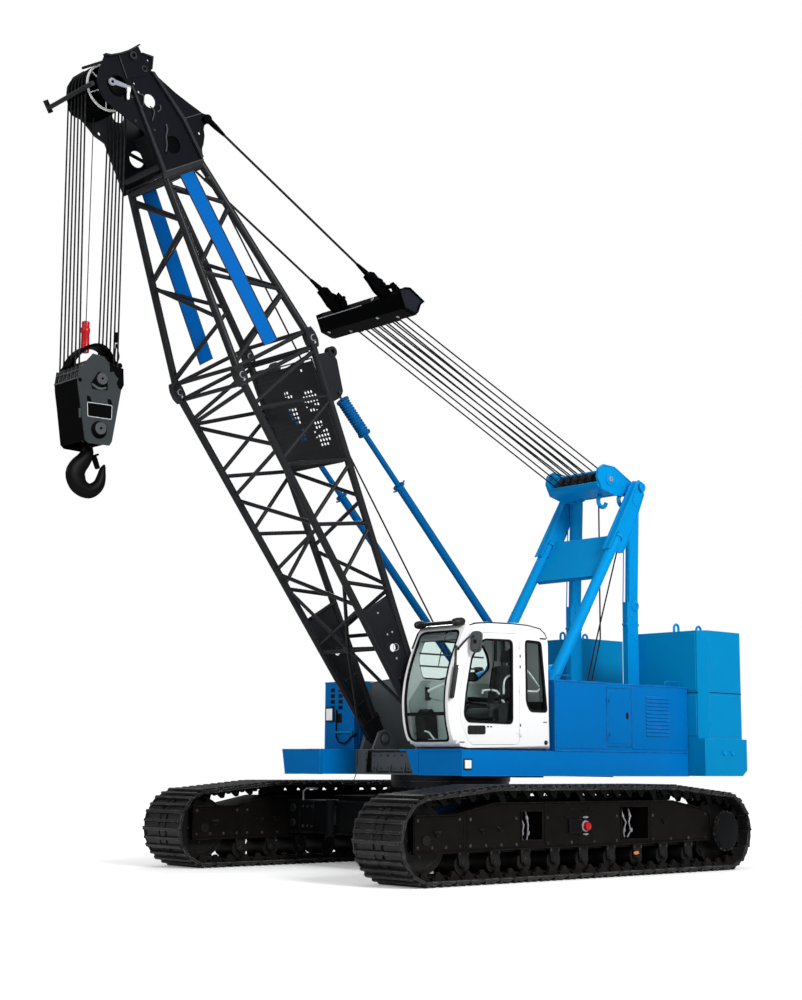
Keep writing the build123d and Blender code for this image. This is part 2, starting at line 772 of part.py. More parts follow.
# ---------------------------------------------------------------- gantry
gf_y, gf_z = gantry_foot
gp_y, gp_z = gantry_pin
leg_run = Vector(0, gp_y - gf_y, gp_z - gf_z).normalized()
leg_normal = Vector(0, leg_run.Z, -leg_run.Y)
stop_y, stop_z = backstop_foot
cheek_half = 35
cheek_outline = [
    (2640, 4800), (3330, 5900), (3400, 5960), (3500, 5950), (3560, 5860), (3540, 5760), (3290, 5230),
    (3000, 4760),
]
stop_lug = [(stop_y - 70, stop_z - 40), (stop_y - 50, stop_z + 65), (1480, 2950), (1300, 2420)]
legs = []
stop_pins = []
for side in (-1, 1):
    x = side * gantry_x
    foot = Vector(x, gf_y, gf_z)
    shaft = tube(foot + leg_run * 230, foot + leg_run * 3800, gantry_tube)
    neck = tube(foot, foot + leg_run * 300, 58)
    cheek = side_plate(cheek_outline, x - cheek_half, x + cheek_half)
    stop_lugs = [
        side_plate(stop_lug, side * backstop_x + low, side * backstop_x + low + 20) for low in (-42, 22)
    ]
    seat0, seat1 = sorted((side * (backstop_x - 42), side * gantry_x))
    lug_seat = box(seat0, seat1, 1340, 1440, 2560, 2860)
    leg = fused([shaft, neck, cheek, cross_rod(x - 60, x + 60, gf_y, gf_z, 100), *stop_lugs, lug_seat])
    leg -= cross_rod(x - 100, x + 100, gp_y, gp_z, top_pin_radius + clearance)
    leg -= cross_rod(x - 100, x + 100, gf_y, gf_z, foot_ear_pin + clearance)
    leg -= cross_rod(x - 150, x + 150, stop_y, stop_z, stop_pin_radius + clearance)
    legs.append(leg)
    x0, x1 = side * backstop_x - 50, side * backstop_x + 50
    stop_pins.append(cross_rod(x0, x1, stop_y, stop_z, stop_pin_radius))
save("gantry_legs", *legs, *stop_pins)

# feet of the legs and of the rear links, on the revolving frame
foot_ears = []
ear_outline = [
    (gf_y - 190, deck_top + clearance), (gf_y - 70, gf_z + 80), (gf_y + 70, gf_z + 80),
    (gf_y + 190, deck_top + clearance),
]
link_y, link_foot_z = 3340, 1860
link_ear = [
    (link_y - 110, deck_top + clearance), (link_y - 70, link_foot_z + 90), (link_y + 70, link_foot_z + 90),
    (link_y + 110, deck_top + clearance),
]
for side in (-1, 1):
    for middle, outline, (y, z), width in (
        (gantry_x, ear_outline, gantry_foot, 60), (link_x, link_ear, (link_y, link_foot_z), 40),
    ):
        for x0 in (side * middle - width - 25, side * middle + width + 5):
            ear = side_plate(outline, x0, x0 + 20)
            foot_ears.append(ear - cross_rod(-1000, 1000, y, z, foot_ear_pin + clearance))
        x0, x1 = side * middle - width - 40, side * middle + width + 40
        foot_ears.append(cross_rod(x0, x1, y, z, foot_ear_pin))
save("gantry_feet", *foot_ears)

links = []
for side in (-1, 1):
    x0, x1 = side * link_x - 40, side * link_x + 40
    link = side_plate([
        (link_y - 100, link_foot_z - 90), (link_y - 100, 2900), (gp_y - 120, gp_z - 100),
        (gp_y - 80, gp_z + 90), (gp_y + 80, gp_z + 90), (gp_y + 110, gp_z - 100), (link_y + 100, 2900),
        (link_y + 100, link_foot_z - 90),
    ], x0, x1)
    link -= cross_rod(x0 - 10, x1 + 10, gp_y, gp_z, top_pin_radius + clearance)
    link -= cross_rod(x0 - 10, x1 + 10, link_y, link_foot_z, foot_ear_pin + clearance)
    links.append(link)
save("gantry_links", *links)
save("gantry_top_pin", cross_rod(-gantry_x - 80, gantry_x + 80, gp_y, gp_z, top_pin_radius))

plate_low, plate_high = 3080, 3860
inner_x = gantry_x - gantry_tube - clearance
corner = [Vector(0, gf_y, gf_z) + leg_run * reach for reach in (plate_low, plate_high)]
loop = [
    corner[0] + Vector(-inner_x, 0, 0), corner[0] + Vector(inner_x, 0, 0),
    corner[1] + Vector(inner_x, 0, 0), corner[1] + Vector(-inner_x, 0, 0),
]
cross_plate = extrude(make_face(Polyline(*loop, close=True)), amount=20, dir=tuple(leg_normal))
save("gantry_cross_plate", cross_plate)

# derricking sheave block on the gantry
ga_y, ga_z = block_axle
cheek = [
    (2660, 5960), (2690, 6100), (2800, 6170), (3060, 6160), (3330, 6030), (3540, 5930), (3560, 5800),
    (3400, 5730), (3060, 5715), (2760, 5785),
]
block_pieces = []
for side in (-1, 1):
    x0, x1 = sorted((side * (link_x - 45), side * (link_x - 45 - 24)))
    plate = side_plate(cheek, x0, x1)
    plate -= cross_rod(-700, 700, gp_y, gp_z, top_pin_radius + clearance)
    plate -= cross_rod(-700, 700, ga_y, ga_z, axle_pin_radius + clearance)
    block_pieces.append(plate)
inner_half = link_x - 45 - 24 - clearance
apron = side_plate([(2690, 5855), (2770, 5805), (3060, 5745), (3060, 5720), (2760, 5785), (2675, 5840)],
                   -inner_half, inner_half)
hanger = cross_rod(-inner_half, inner_half, 3330, 5800, 38)
save("derrick_block", *block_pieces, apron, hanger)

derrick_x = [(number - (derrick_count - 1) / 2) * derrick_pitch for number in range(derrick_count)]
by, bz = bridle_axle


def sheave_row(y, z, pin_half):
    """The derricking sheaves on their pin."""
    row = [cross_rod(x - sheave_half, x + sheave_half, y, z, derrick_sheave) for x in derrick_x]
    return fused([cross_rod(-pin_half, pin_half, y, z, axle_pin_radius), *row])


save("derrick_sheaves", sheave_row(ga_y, ga_z, inner_half + 40))

# ---------------------------------------------------------------- bridle, its ropes and the pendants
fall_run = Vector(0, by - ga_y, bz - ga_z)
fall_dir = fall_run.normalized()
up = Vector(0, fall_dir.Z, -fall_dir.Y)
rope_seat = derrick_sheave + fall_radius + clearance
falls = []
for x in derrick_x:
    for lift in (-rope_seat, rope_seat):
        falls.append(tube(Vector(x, ga_y, ga_z) + up * lift, Vector(x, by, bz) + up * lift, fall_radius))
save("derrick_falls", *falls)

py, pz = bridle_pin


def along_falls(forward, upward):
    """Point at a distance along the ropes and above them, from the bridle axle."""
    at = Vector(0, by, bz) + fall_dir * forward + up * upward
    return (at.Y, at.Z)


pin_vector = Vector(0, py - by, pz - bz)
pin_forward, pin_upward = pin_vector.dot(fall_dir), pin_vector.dot(up)
beam_outline = [
    along_falls(160, -140), along_falls(330, -150), along_falls(400, 20), along_falls(330, 150),
    along_falls(165, 150),
]
beam = side_plate(beam_outline, -bridle_half, bridle_half)
end_cheek = [
    along_falls(-90, -110), along_falls(-130, 0), along_falls(-90, 110), along_falls(175, 150),
    along_falls(175, -140),
]
cheeks = []
for x in (-690, -500, 500, 690):
    cheeks.append(side_plate(end_cheek, x - 15, x + 15))
eyes = []
for side in (-1, 1):
    for offset_x in (-48, 28):
        x0 = side * pendant_x + offset_x
        eye = side_plate([
            along_falls(330, -60), along_falls(pin_forward, pin_upward - 70),
            along_falls(pin_forward + 70, pin_upward), along_falls(pin_forward, pin_upward + 70),
            along_falls(320, 110)], x0, x0 + 20)
        eyes.append(eye)
bridle = fused([beam, *cheeks, *eyes])
bridle -= cross_rod(-1000, 1000, by, bz, axle_pin_radius + clearance)
bridle -= cross_rod(-1000, 1000, py, pz, bridle_eye_pin + clearance)
bridle_pins = [
    cross_rod(side * pendant_x - 60, side * pendant_x + 60, py, pz, bridle_eye_pin) for side in (-1, 1)
]
save("bridle", bridle, *bridle_pins)
save("bridle_sheaves", sheave_row(by, bz, bridle_half - 160))


def boom_point(along, across):
    """Where a point of the flat boom comes to on the raised one."""
    return (raised * Pos(0, -along, across)).position


eye_at = boom_point(eye_s, eye_n)
pendants = []
for side in (-1, 1):
    low = Vector(side * pendant_x, py, pz)
    high = Vector(side * pendant_x, eye_at.Y, eye_at.Z)
    near, far = side * pendant_x - pendant_radius, side * pendant_x + pendant_radius
    rope = tube(low, high, pendant_radius)
    lower_end = cross_rod(near, far, py, pz, 70)
    upper_end = cross_rod(near, far, eye_at.Y, eye_at.Z, 80)
    pendant = fused([rope, lower_end, upper_end])
    pendants.append(pendant - cross_rod(-900, 900, py, pz, bridle_eye_pin + clearance))
save("pendants", *pendants)

# ---------------------------------------------------------------- backstops
head_at = boom_point(stop_s, stop_n)
stop_run = Vector(0, head_at.Y - stop_y, head_at.Z - stop_z)
stop_dir = stop_run.normalized()
outer_length = 3650
tubes = []
rods = []
for side in (-1, 1):
    foot = Vector(side * backstop_x, stop_y, stop_z)
    head_point = Vector(side * backstop_x, head_at.Y, head_at.Z)
    barrel = fused([
        tube(foot + stop_dir * 140, foot + stop_dir * outer_length, backstop_tube),
        tube(foot, foot + stop_dir * 200, stop_eye_half),
        cross_rod(foot.X - stop_eye_half, foot.X + stop_eye_half, stop_y, stop_z, 60),
    ])
    barrel = barrel.cut(tube(foot + stop_dir * 350, foot + stop_dir * (outer_length + 10), backstop_rod + 6))
    barrel = largest(barrel)
    foot_hole = cross_rod(foot.X - 60, foot.X + 60, stop_y, stop_z, stop_pin_radius + clearance)
    tubes.append(largest(barrel.cut(foot_hole)))
    rods.append(fused([
        tube(foot + stop_dir * (outer_length - 2100), head_point - stop_dir * 110, backstop_rod),
        tube(head_point - stop_dir * 200, head_point, stop_eye_half),
        cross_rod(foot.X - stop_eye_half, foot.X + stop_eye_half, head_at.Y, head_at.Z, 55),
        tube(head_point - stop_dir * 680, head_point - stop_dir * 130, 75),
    ]))
save("backstop_tubes", *tubes)
save("backstop_rods", *rods)

# ---------------------------------------------------------------- hoist falls and hook block
head_pin = boom_point(pin_s, pin_n)
hook_y = head_pin.Y
ropes = []
for x in fall_x:
    for dy in (-sheave_pitch, sheave_pitch):
        ropes.append(tube((x, hook_y + dy, hook_axle_z), (x, hook_y + dy, head_pin.Z), fall_radius))
save("hoist_falls", *ropes)

cheek_x = 290
cheek_thick = 22
cheek_outer = cheek_x + cheek_thick
cheek = [
    (-130, 6392), (80, 6429), (367, 6083), (246, 5400), (110, 5326), (-70, 5326), (-206, 5400),
    (-291, 6012),
]
cheeks = []
for side in (-1, 1):
    x0, x1 = sorted((side * cheek_x, side * cheek_outer))
    plate = side_plate([(hook_y + y, z) for y, z in cheek], x0, x1)
    plate -= cross_rod(-400, 400, hook_y, hook_axle_z, hook_pin_radius + clearance)
    plate -= cross_rod(-400, 400, hook_y, hook_trunnion_z, trunnion_radius + clearance)
    cheeks.append(plate)
spacer = cross_rod(-cheek_x + clearance, cheek_x - clearance, hook_y, 5800, 25)
save("hook_block_cheeks", *cheeks, spacer)
block_sheaves = [cross_rod(-cheek_outer - 15, cheek_outer + 15, hook_y, hook_axle_z, hook_pin_radius)]
for x in fall_x:
    block_sheaves.append(cross_rod(x - sheave_half, x + sheave_half, hook_y, hook_axle_z, sheave_body))
save("hook_block_sheaves", fused(block_sheaves))
block_top = hook_trunnion_z + 80
trunnion = fused([
    box(-150, 150, hook_y - 95, hook_y + 95, hook_trunnion_z - 95, block_top),
    cross_rod(-cheek_outer - 12, cheek_outer + 12, hook_y, hook_trunnion_z, trunnion_radius),
])
trunnion -= Pos(0, hook_y, hook_trunnion_z) * Cylinder(shank_radius + clearance, 400)
save("hook_trunnion", trunnion)

hook_half = 58
bowl = cross_rod(-hook_half, hook_half, hook_y, bowl_z, bowl_radius)
bowl -= cross_rod(-70, 70, hook_y + 14, bowl_z + 36, bowl_opening)
throat_outline = [(20, bowl_z + 40), (420, bowl_z + 130), (420, 5400), (-20, 5400)]
throat = side_plate([(hook_y + y, z) for y, z in throat_outline], -80, 80)
neck_outline = [(-200, 5030), (-60, 5260), (60, 5260), (30, 5080)]
neck = side_plate([(hook_y + y, z) for y, z in neck_outline], -hook_half, hook_half)
shank_top = block_top + 70
shank = tube((0, hook_y, 5200), (0, hook_y, shank_top), shank_radius)
nut = tube((0, hook_y, block_top + clearance), (0, hook_y, shank_top), 85)
hook = fused([largest(bowl - throat), neck, shank, nut])
save("hook", hook)
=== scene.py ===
import json
import math

import bmesh
import bpy
from mathutils import Matrix, Vector

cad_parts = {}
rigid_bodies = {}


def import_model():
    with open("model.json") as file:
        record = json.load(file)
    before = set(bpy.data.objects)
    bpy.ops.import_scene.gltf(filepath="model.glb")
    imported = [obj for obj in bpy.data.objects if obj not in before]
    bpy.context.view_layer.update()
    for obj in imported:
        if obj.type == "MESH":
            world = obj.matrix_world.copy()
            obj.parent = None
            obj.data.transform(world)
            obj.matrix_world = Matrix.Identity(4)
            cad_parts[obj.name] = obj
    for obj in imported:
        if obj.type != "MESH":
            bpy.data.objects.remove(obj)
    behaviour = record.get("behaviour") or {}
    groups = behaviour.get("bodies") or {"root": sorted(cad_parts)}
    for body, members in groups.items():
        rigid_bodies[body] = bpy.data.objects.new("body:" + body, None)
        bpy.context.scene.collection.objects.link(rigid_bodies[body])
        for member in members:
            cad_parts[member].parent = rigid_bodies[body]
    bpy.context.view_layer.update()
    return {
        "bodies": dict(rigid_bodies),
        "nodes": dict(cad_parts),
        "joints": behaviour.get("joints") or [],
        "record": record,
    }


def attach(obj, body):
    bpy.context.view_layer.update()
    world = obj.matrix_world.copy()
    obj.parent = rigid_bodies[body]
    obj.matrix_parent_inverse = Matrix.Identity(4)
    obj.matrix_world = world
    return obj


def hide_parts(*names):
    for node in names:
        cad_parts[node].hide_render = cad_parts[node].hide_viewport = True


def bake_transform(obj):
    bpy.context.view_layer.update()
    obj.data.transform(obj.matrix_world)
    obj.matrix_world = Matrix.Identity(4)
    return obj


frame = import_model()
nodes = frame["nodes"]

# ------------------------------------------------------------------ places taken from the frame
JOINTS = {joint["name"]: joint for joint in frame["joints"]}
BOOM_FOOT = Vector(JOINTS["boom_luff"]["pos_m"])
HEAD_PIN = Vector(JOINTS["fall_plumb"]["pos_m"])
GANTRY_AXLE = Vector(JOINTS["derrick_fall_swing"]["pos_m"])
FALL_RUN = -Vector(JOINTS["bridle_pull"]["axis"])        # from the gantry to the bridle
STOP_RUN = Vector(JOINTS["backstop_stroke"]["axis"])     # from the gantry to the boom
BOOM_ANGLE = math.radians(58.7)
BOOM = Matrix.Translation(BOOM_FOOT) @ Matrix.Rotation(-BOOM_ANGLE, 4, "X")
TRACK_X = 2.303
SIDES = (-1, 1)
HOOK_Y = HEAD_PIN.y
HOOK_AXLE_Z = 6.106


def on_boom(x, along, across):
    """A point of the boom: sideways, along it from the foot pin, and across it towards its back face."""
    return BOOM @ Vector((x, -along, across))


# ------------------------------------------------------------------ small helpers
def in_scene(name, data):
    """A new object with this mesh, lamp or camera, put in the scene."""
    made = bpy.data.objects.new(name, data)
    bpy.context.scene.collection.objects.link(made)
    return made


def smoothed(data, angle):
    """Shade a mesh smoothly, except over edges sharper than this many degrees."""
    for face in data.polygons:
        face.use_smooth = True
    data.set_sharp_from_angle(angle=math.radians(angle))


def side_span(side, near, far):
    """Lower and upper x of a span that is given by its distances from the middle, on one side."""
    return sorted((side * near, side * far))


# ------------------------------------------------------------------ shader groups
class Network:
    """A tree of shader nodes being put together."""

    def node(self, kind, **settings):
        made = self.tree.nodes.new(kind)
        for key, value in settings.items():
            setattr(made, key, value)
        return made

    def link(self, start, end):
        self.tree.links.new(start, end)

    def feed(self, socket, value):
        """Give a socket a fixed value, or link it to another node's output."""
        if isinstance(value, bpy.types.NodeSocket):
            self.link(value, socket)
        else:
            socket.default_value = value


class Group(Network):
    """A shader node group with named inputs and outputs."""

    def __init__(self, name, inputs, outputs):
        self.tree = bpy.data.node_groups.new(name, "ShaderNodeTree")
        for label, kind, value in inputs:
            socket = self.tree.interface.new_socket(name=label, in_out="INPUT", socket_type=kind)
            if value is not None:
                socket.default_value = value
        for label, kind in outputs:
            self.tree.interface.new_socket(name=label, in_out="OUTPUT", socket_type=kind)
        self.source = self.tree.nodes.new("NodeGroupInput")
        self.result = self.tree.nodes.new("NodeGroupOutput")

    def given(self, label):
        return self.source.outputs[label]

    def math(self, operation, first, second=None, clamp=False):
        made = self.node("ShaderNodeMath", operation=operation, use_clamp=clamp)
        for socket, value in zip(made.inputs, (first, second)):
            if value is not None:
                self.feed(socket, value)
        return made.outputs[0]

    def noise(self, vector, scale, detail=3.0, roughness=0.55):
        made = self.node("ShaderNodeTexNoise")
        made.inputs["Detail"].default_value = detail
        made.inputs["Roughness"].default_value = roughness
        self.link(vector, made.inputs["Vector"])
        self.feed(made.inputs["Scale"], scale)
        return made.outputs["Fac"]

    def give(self, label, socket):
        self.link(socket, self.result.inputs[label])


def tone_group():
    """Broad, soft changes of a painted or cast colour."""
    group = Group("colour_tone", [
        ("Vector", "NodeSocketVector", None), ("Colour", "NodeSocketColor", (0.5, 0.5, 0.5, 1)),
        ("Scale", "NodeSocketFloat", 0.8), ("Amount", "NodeSocketFloat", 0.12),
    ], [("Colour", "NodeSocketColor")])
    broad = group.noise(group.given("Vector"), group.given("Scale"))
    fine = group.noise(group.given("Vector"), group.math("MULTIPLY", group.given("Scale"), 14.0))
    both = group.math("ADD", group.math("MULTIPLY", broad, 0.7), group.math("MULTIPLY", fine, 0.3))
    swing = group.math("MULTIPLY", group.math("SUBTRACT", both, 0.5), group.given("Amount"))
    value = group.math("ADD", group.math("MULTIPLY", swing, 2.0), 1.0)
    tint = group.node("ShaderNodeHueSaturation")
    group.link(value, tint.inputs["Value"])
    group.link(group.given("Colour"), tint.inputs["Color"])
    group.give("Colour", tint.outputs["Color"])
    return group.tree


def dust_group():
    """A mask of settled dust: thick low down and on faces that look up, thin above."""
    group = Group("dust_mask", [
        ("Vector", "NodeSocketVector", None), ("Fade height", "NodeSocketFloat", 1.2),
        ("Amount", "NodeSocketFloat", 0.5), ("Scale", "NodeSocketFloat", 5.0),
    ], [("Mask", "NodeSocketFloat")])
    parts = group.node("ShaderNodeSeparateXYZ")
    group.link(group.given("Vector"), parts.inputs[0])
    share = group.math("DIVIDE", parts.outputs["Z"], group.given("Fade height"))
    low = group.math("SUBTRACT", 1.0, share, clamp=True)
    face = group.node("ShaderNodeNewGeometry")
    aim = group.node("ShaderNodeSeparateXYZ")
    group.link(face.outputs["Normal"], aim.inputs[0])
    upward = group.math("MULTIPLY", group.math("MAXIMUM", aim.outputs["Z"], 0.0), 0.35)
    spots = group.noise(group.given("Vector"), group.given("Scale"), 6.0, 0.65)
    patchy = group.math("MULTIPLY", group.math("SUBTRACT", spots, 0.32), 2.4, clamp=True)
    total = group.math("ADD", low, upward)
    mask = group.math("MULTIPLY", group.math("MULTIPLY", total, patchy), group.given("Amount"), clamp=True)
    group.give("Mask", mask)
    return group.tree


def wear_and_highlight_group():
    """A mask of the edges, broken up so that it never looks drawn: rubbed wear, and a painted highlight where
    the edge colour is lighter than the paint.
    """
    group = Group("edge_wear_and_highlight", [
        ("Vector", "NodeSocketVector", None), ("Radius", "NodeSocketFloat", 0.012),
        ("Amount", "NodeSocketFloat", 1.0), ("Scale", "NodeSocketFloat", 9.0),
    ], [("Mask", "NodeSocketFloat")])
    rounded = group.node("ShaderNodeBevel", samples=4)
    group.link(group.given("Radius"), rounded.inputs["Radius"])
    face = group.node("ShaderNodeNewGeometry")
    turn = group.node("ShaderNodeVectorMath", operation="DOT_PRODUCT")
    group.link(rounded.outputs["Normal"], turn.inputs[0])
    group.link(face.outputs["Normal"], turn.inputs[1])
    edge = group.math("MULTIPLY", group.math("SUBTRACT", 1.0, turn.outputs["Value"]), 7.0, clamp=True)
    spots = group.noise(group.given("Vector"), group.given("Scale"), 5.0, 0.7)
    broken = group.math("MULTIPLY", group.math("SUBTRACT", spots, 0.42), 5.0, clamp=True)
    mask = group.math("MULTIPLY", group.math("MULTIPLY", edge, broken), group.given("Amount"), clamp=True)
    group.give("Mask", mask)
    return group.tree


def relief_group():
    """Small relief of a sprayed, rolled or cast face."""
    group = Group("fine_relief", [
        ("Vector", "NodeSocketVector", None), ("Scale", "NodeSocketFloat", 60.0),
        ("Roughness", "NodeSocketFloat", 0.35), ("Spread", "NodeSocketFloat", 0.1),
    ], [("Height", "NodeSocketFloat"), ("Roughness", "NodeSocketFloat")])
    grain = group.noise(group.given("Vector"), group.given("Scale"), 4.0)
    slow = group.noise(group.given("Vector"), 2.3, 3.0)
    swing = group.math("MULTIPLY", group.math("SUBTRACT", slow, 0.5), group.given("Spread"))
    rough = group.math("ADD", group.math("MULTIPLY", swing, 2.0), group.given("Roughness"), clamp=True)
    group.give("Height", grain)
    group.give("Roughness", rough)
    return group.tree


def lay_group():
    """The twisted strands of a wire rope, from the rope's own UV map."""
    group = Group("rope_lay", [
        ("Vector", "NodeSocketVector", None), ("Strands", "NodeSocketFloat", 6.0),
        ("Pitch", "NodeSocketFloat", 7.0),
    ], [("Height", "NodeSocketFloat"), ("Mask", "NodeSocketFloat")])
    parts = group.node("ShaderNodeSeparateXYZ")
    group.link(group.given("Vector"), parts.inputs[0])
    around = group.math("MULTIPLY", parts.outputs["Y"], group.given("Strands"))
    along = group.math("MULTIPLY", parts.outputs["X"], group.given("Pitch"))
    phase = group.math("MULTIPLY", group.math("ADD", around, along), math.tau)
    wave = group.math("ADD", group.math("MULTIPLY", group.math("SINE", phase), 0.5), 0.5)
    group.give("Height", wave)
    group.give("Mask", group.math("SUBTRACT", 1.0, wave))
    return group.tree


TONE, DUST, WEAR_AND_HIGHLIGHT, RELIEF, LAY = tone_group(), dust_group(), wear_and_highlight_group(), relief_group(), lay_group()
EARTH = (0.17, 0.145, 0.12, 1.0)
BARE_STEEL = (0.33, 0.33, 0.34, 1.0)


# ------------------------------------------------------------------ materials
class Finish(Network):
    """A material being built round one Principled shader."""

    def __init__(self, name):
        self.material = bpy.data.materials.new(name)
        self.material.use_nodes = True
        self.tree = self.material.node_tree
        self.shader = self.tree.nodes["Principled BSDF"]
        self.place = self.tree.nodes.new("ShaderNodeTexCoord")

    def give(self, label, value):
        self.feed(self.shader.inputs[label], value)

    def group(self, tree, coordinates="Object", **values):
        made = self.node("ShaderNodeGroup", node_tree=tree)
        self.link(self.place.outputs[coordinates], made.inputs["Vector"])
        for key, value in values.items():
            self.feed(made.inputs[key.replace("_", " ").capitalize()], value)
        return made

    def blend(self, mask, below, above):
        """Colour that goes from below to above as the mask rises."""
        made = self.node("ShaderNodeMix", data_type="RGBA")
        self.link(mask, made.inputs["Factor"])
        for socket, value in ((made.inputs[6], below), (made.inputs[7], above)):
            self.feed(socket, value)
        return made.outputs[2]

    def bump(self, height, strength, distance):
        made = self.node("ShaderNodeBump")
        made.inputs["Strength"].default_value = strength
        made.inputs["Distance"].default_value = distance
        self.link(height, made.inputs["Height"])
        self.link(made.outputs["Normal"], self.shader.inputs["Normal"])


def coated(name, colour, roughness=0.38, coat=0.0, amount=0.10, dust=0.0, fade=1.8, wear_and_highlight=0.0, metallic=0.0,
           relief=60.0, depth=0.0006, spread=0.10, edge_colour=BARE_STEEL, specular=0.2):
    """Paint, casting or moulded plastic: a toned colour with dust, edges that are worn and carry a painted
    highlight, and a fine relief.
    """
    finish = Finish(name)
    toned = finish.group(TONE, colour=(*colour, 1.0), scale=0.9, amount=amount).outputs["Colour"]
    if wear_and_highlight:
        mask = finish.group(WEAR_AND_HIGHLIGHT, radius=0.010, amount=wear_and_highlight, scale=9.0).outputs["Mask"]
        toned = finish.blend(mask, toned, edge_colour)
    if dust:
        mask = finish.group(DUST, fade_height=fade, amount=dust, scale=4.0).outputs["Mask"]
        toned = finish.blend(mask, toned, EARTH)
    finish.give("Base Color", toned)
    fine = finish.group(RELIEF, scale=relief, roughness=roughness, spread=spread)
    finish.give("Roughness", fine.outputs["Roughness"])
    finish.bump(fine.outputs["Height"], 0.35, depth)
    finish.give("Metallic", metallic)
    finish.give("Coat Weight", coat)
    finish.give("Coat Roughness", 0.08)
    finish.give("Specular IOR Level", specular)
    return finish.material


def wire_rope(name, colour):
    finish = Finish(name)
    lay = finish.group(LAY, coordinates="UV", strands=6.0, pitch=7.0)
    shade = finish.blend(lay.outputs["Mask"], (*colour, 1.0), tuple(0.4 * part for part in colour) + (1.0,))
    mask = finish.group(DUST, fade_height=0.5, amount=0.3, scale=8.0).outputs["Mask"]
    finish.give("Base Color", finish.blend(mask, shade, EARTH))
    finish.give("Metallic", 0.3)
    finish.give("Specular IOR Level", 0.15)
    fine = finish.group(RELIEF, scale=90.0, roughness=0.46, spread=0.12)
    finish.give("Roughness", fine.outputs["Roughness"])
    finish.bump(lay.outputs["Height"], 0.6, 0.002)
    return finish.material


def glazing(name, tint, roughness=0.03):
    """Tinted safety glass, mostly clear, with a soft change of tint."""
    finish = Finish(name)
    toned = finish.group(TONE, colour=(*tint, 1.0), scale=0.7, amount=0.06).outputs["Colour"]
    finish.give("Base Color", toned)
    fine = finish.group(RELIEF, scale=3.0, roughness=roughness, spread=0.02)
    finish.give("Roughness", fine.outputs["Roughness"])
    finish.give("Transmission Weight", 1.0)
    finish.give("IOR", 1.08)
    finish.give("Specular IOR Level", 0.6)
    return finish.material


def lens(name, colour, glow):
    finish = Finish(name)
    ribs = finish.node("ShaderNodeTexWave", wave_type="BANDS", bands_direction="Z")
    ribs.inputs["Scale"].default_value = 28.0
    finish.link(finish.place.outputs["Object"], ribs.inputs["Vector"])
    shade = finish.blend(ribs.outputs["Fac"], (*colour, 1.0), tuple(0.82 * part for part in colour) + (1.0,))
    finish.give("Base Color", shade)
    finish.bump(ribs.outputs["Fac"], 0.4, 0.002)
    finish.give("Roughness", 0.12)
    finish.give("Coat Weight", 1.0)
    finish.give("Emission Color", shade)
    finish.give("Emission Strength", glow)
    return finish.material


def seat_cloth(name, colour):
    finish = Finish(name)
    weave = finish.node("ShaderNodeTexBrick", offset=0.5)
    weave.inputs["Scale"].default_value = 160.0
    weave.inputs["Color1"].default_value = (*colour, 1.0)
    weave.inputs["Color2"].default_value = tuple(0.7 * part for part in colour) + (1.0,)
    weave.inputs["Mortar"].default_value = tuple(0.3 * part for part in colour) + (1.0,)
    finish.link(finish.place.outputs["Object"], weave.inputs["Vector"])
    finish.give("Base Color", weave.outputs["Color"])
    finish.bump(weave.outputs["Fac"], 0.5, 0.001)
    finish.give("Roughness", 0.9)
    finish.give("Sheen Weight", 0.3)
    return finish.material


# Edge colours: the light blue along the blue paints' edges is a painted highlight; the grey along the black
# paints' edges stands for wear and for glints, painted highlight as well.
BLUE_EDGE_HIGHLIGHT = (0.18, 0.36, 0.66, 1.0)
BLACK_EDGE = (0.12, 0.125, 0.135, 1.0)
# One blue paint in two copies: darker on the houses, whose sides the high key light strikes harder, and
# lighter on the decks, which it leaves in shade; the difference is painted light.
HOUSE_BLUE_DARKENED = coated("blue_paint_darkened_on_houses", (0.0, 0.135, 0.42), dust=0.05, fade=1.5, wear_and_highlight=0.3, edge_colour=BLUE_EDGE_HIGHLIGHT,
                    specular=0.03)
DECK_BLUE_LIGHTENED = coated("blue_paint_lightened_on_decks", (0.0, 0.160, 0.50), dust=0.05, fade=1.5, wear_and_highlight=0.3, edge_colour=BLUE_EDGE_HIGHLIGHT,
                   specular=0.03)
GANTRY_BLUE = coated("gantry_blue_paint", (0.0, 0.255, 0.61), amount=0.12, dust=0.02, fade=1.5, wear_and_highlight=0.3,
                     edge_colour=BLUE_EDGE_HIGHLIGHT, specular=0.03)
WEIGHT_BLUE = coated("weight_blue_paint", (0.0, 0.210, 0.46), dust=0.05, fade=1.5, wear_and_highlight=0.3, edge_colour=BLUE_EDGE_HIGHLIGHT,
                     specular=0.03)
BOARD_BLUE = coated("board_blue_paint", (0.0, 0.095, 0.36), amount=0.06, wear_and_highlight=0.2, specular=0.03)
STOP_BLUE = coated("backstop_blue_paint", (0.0, 0.085, 0.26), wear_and_highlight=0.3, edge_colour=BLUE_EDGE_HIGHLIGHT, specular=0.03)
CAB_WHITE = coated("cab_white_paint", (0.84, 0.845, 0.85), roughness=0.24, coat=0.5, amount=0.03, dust=0.12,
                   fade=1.9, specular=0.4)
BOOM_BLACK = coated("boom_black_paint", (0.0085, 0.0095, 0.012), roughness=0.40, amount=0.25, dust=0.03,
                    fade=1.2, wear_and_highlight=0.6, depth=0.001, edge_colour=BLACK_EDGE, specular=0.16)
HEAD_BLACK = coated("boom_head_paint", (0.0018, 0.0026, 0.0048), roughness=0.46, amount=0.25, wear_and_highlight=0.3,
                    edge_colour=(0.05, 0.055, 0.065, 1), specular=0.05)
BRIDLE_GREY = coated("bridle_end_paint", (0.009, 0.0105, 0.017), roughness=0.46, amount=0.20, wear_and_highlight=0.2,
                     edge_colour=BLACK_EDGE, specular=0.08)
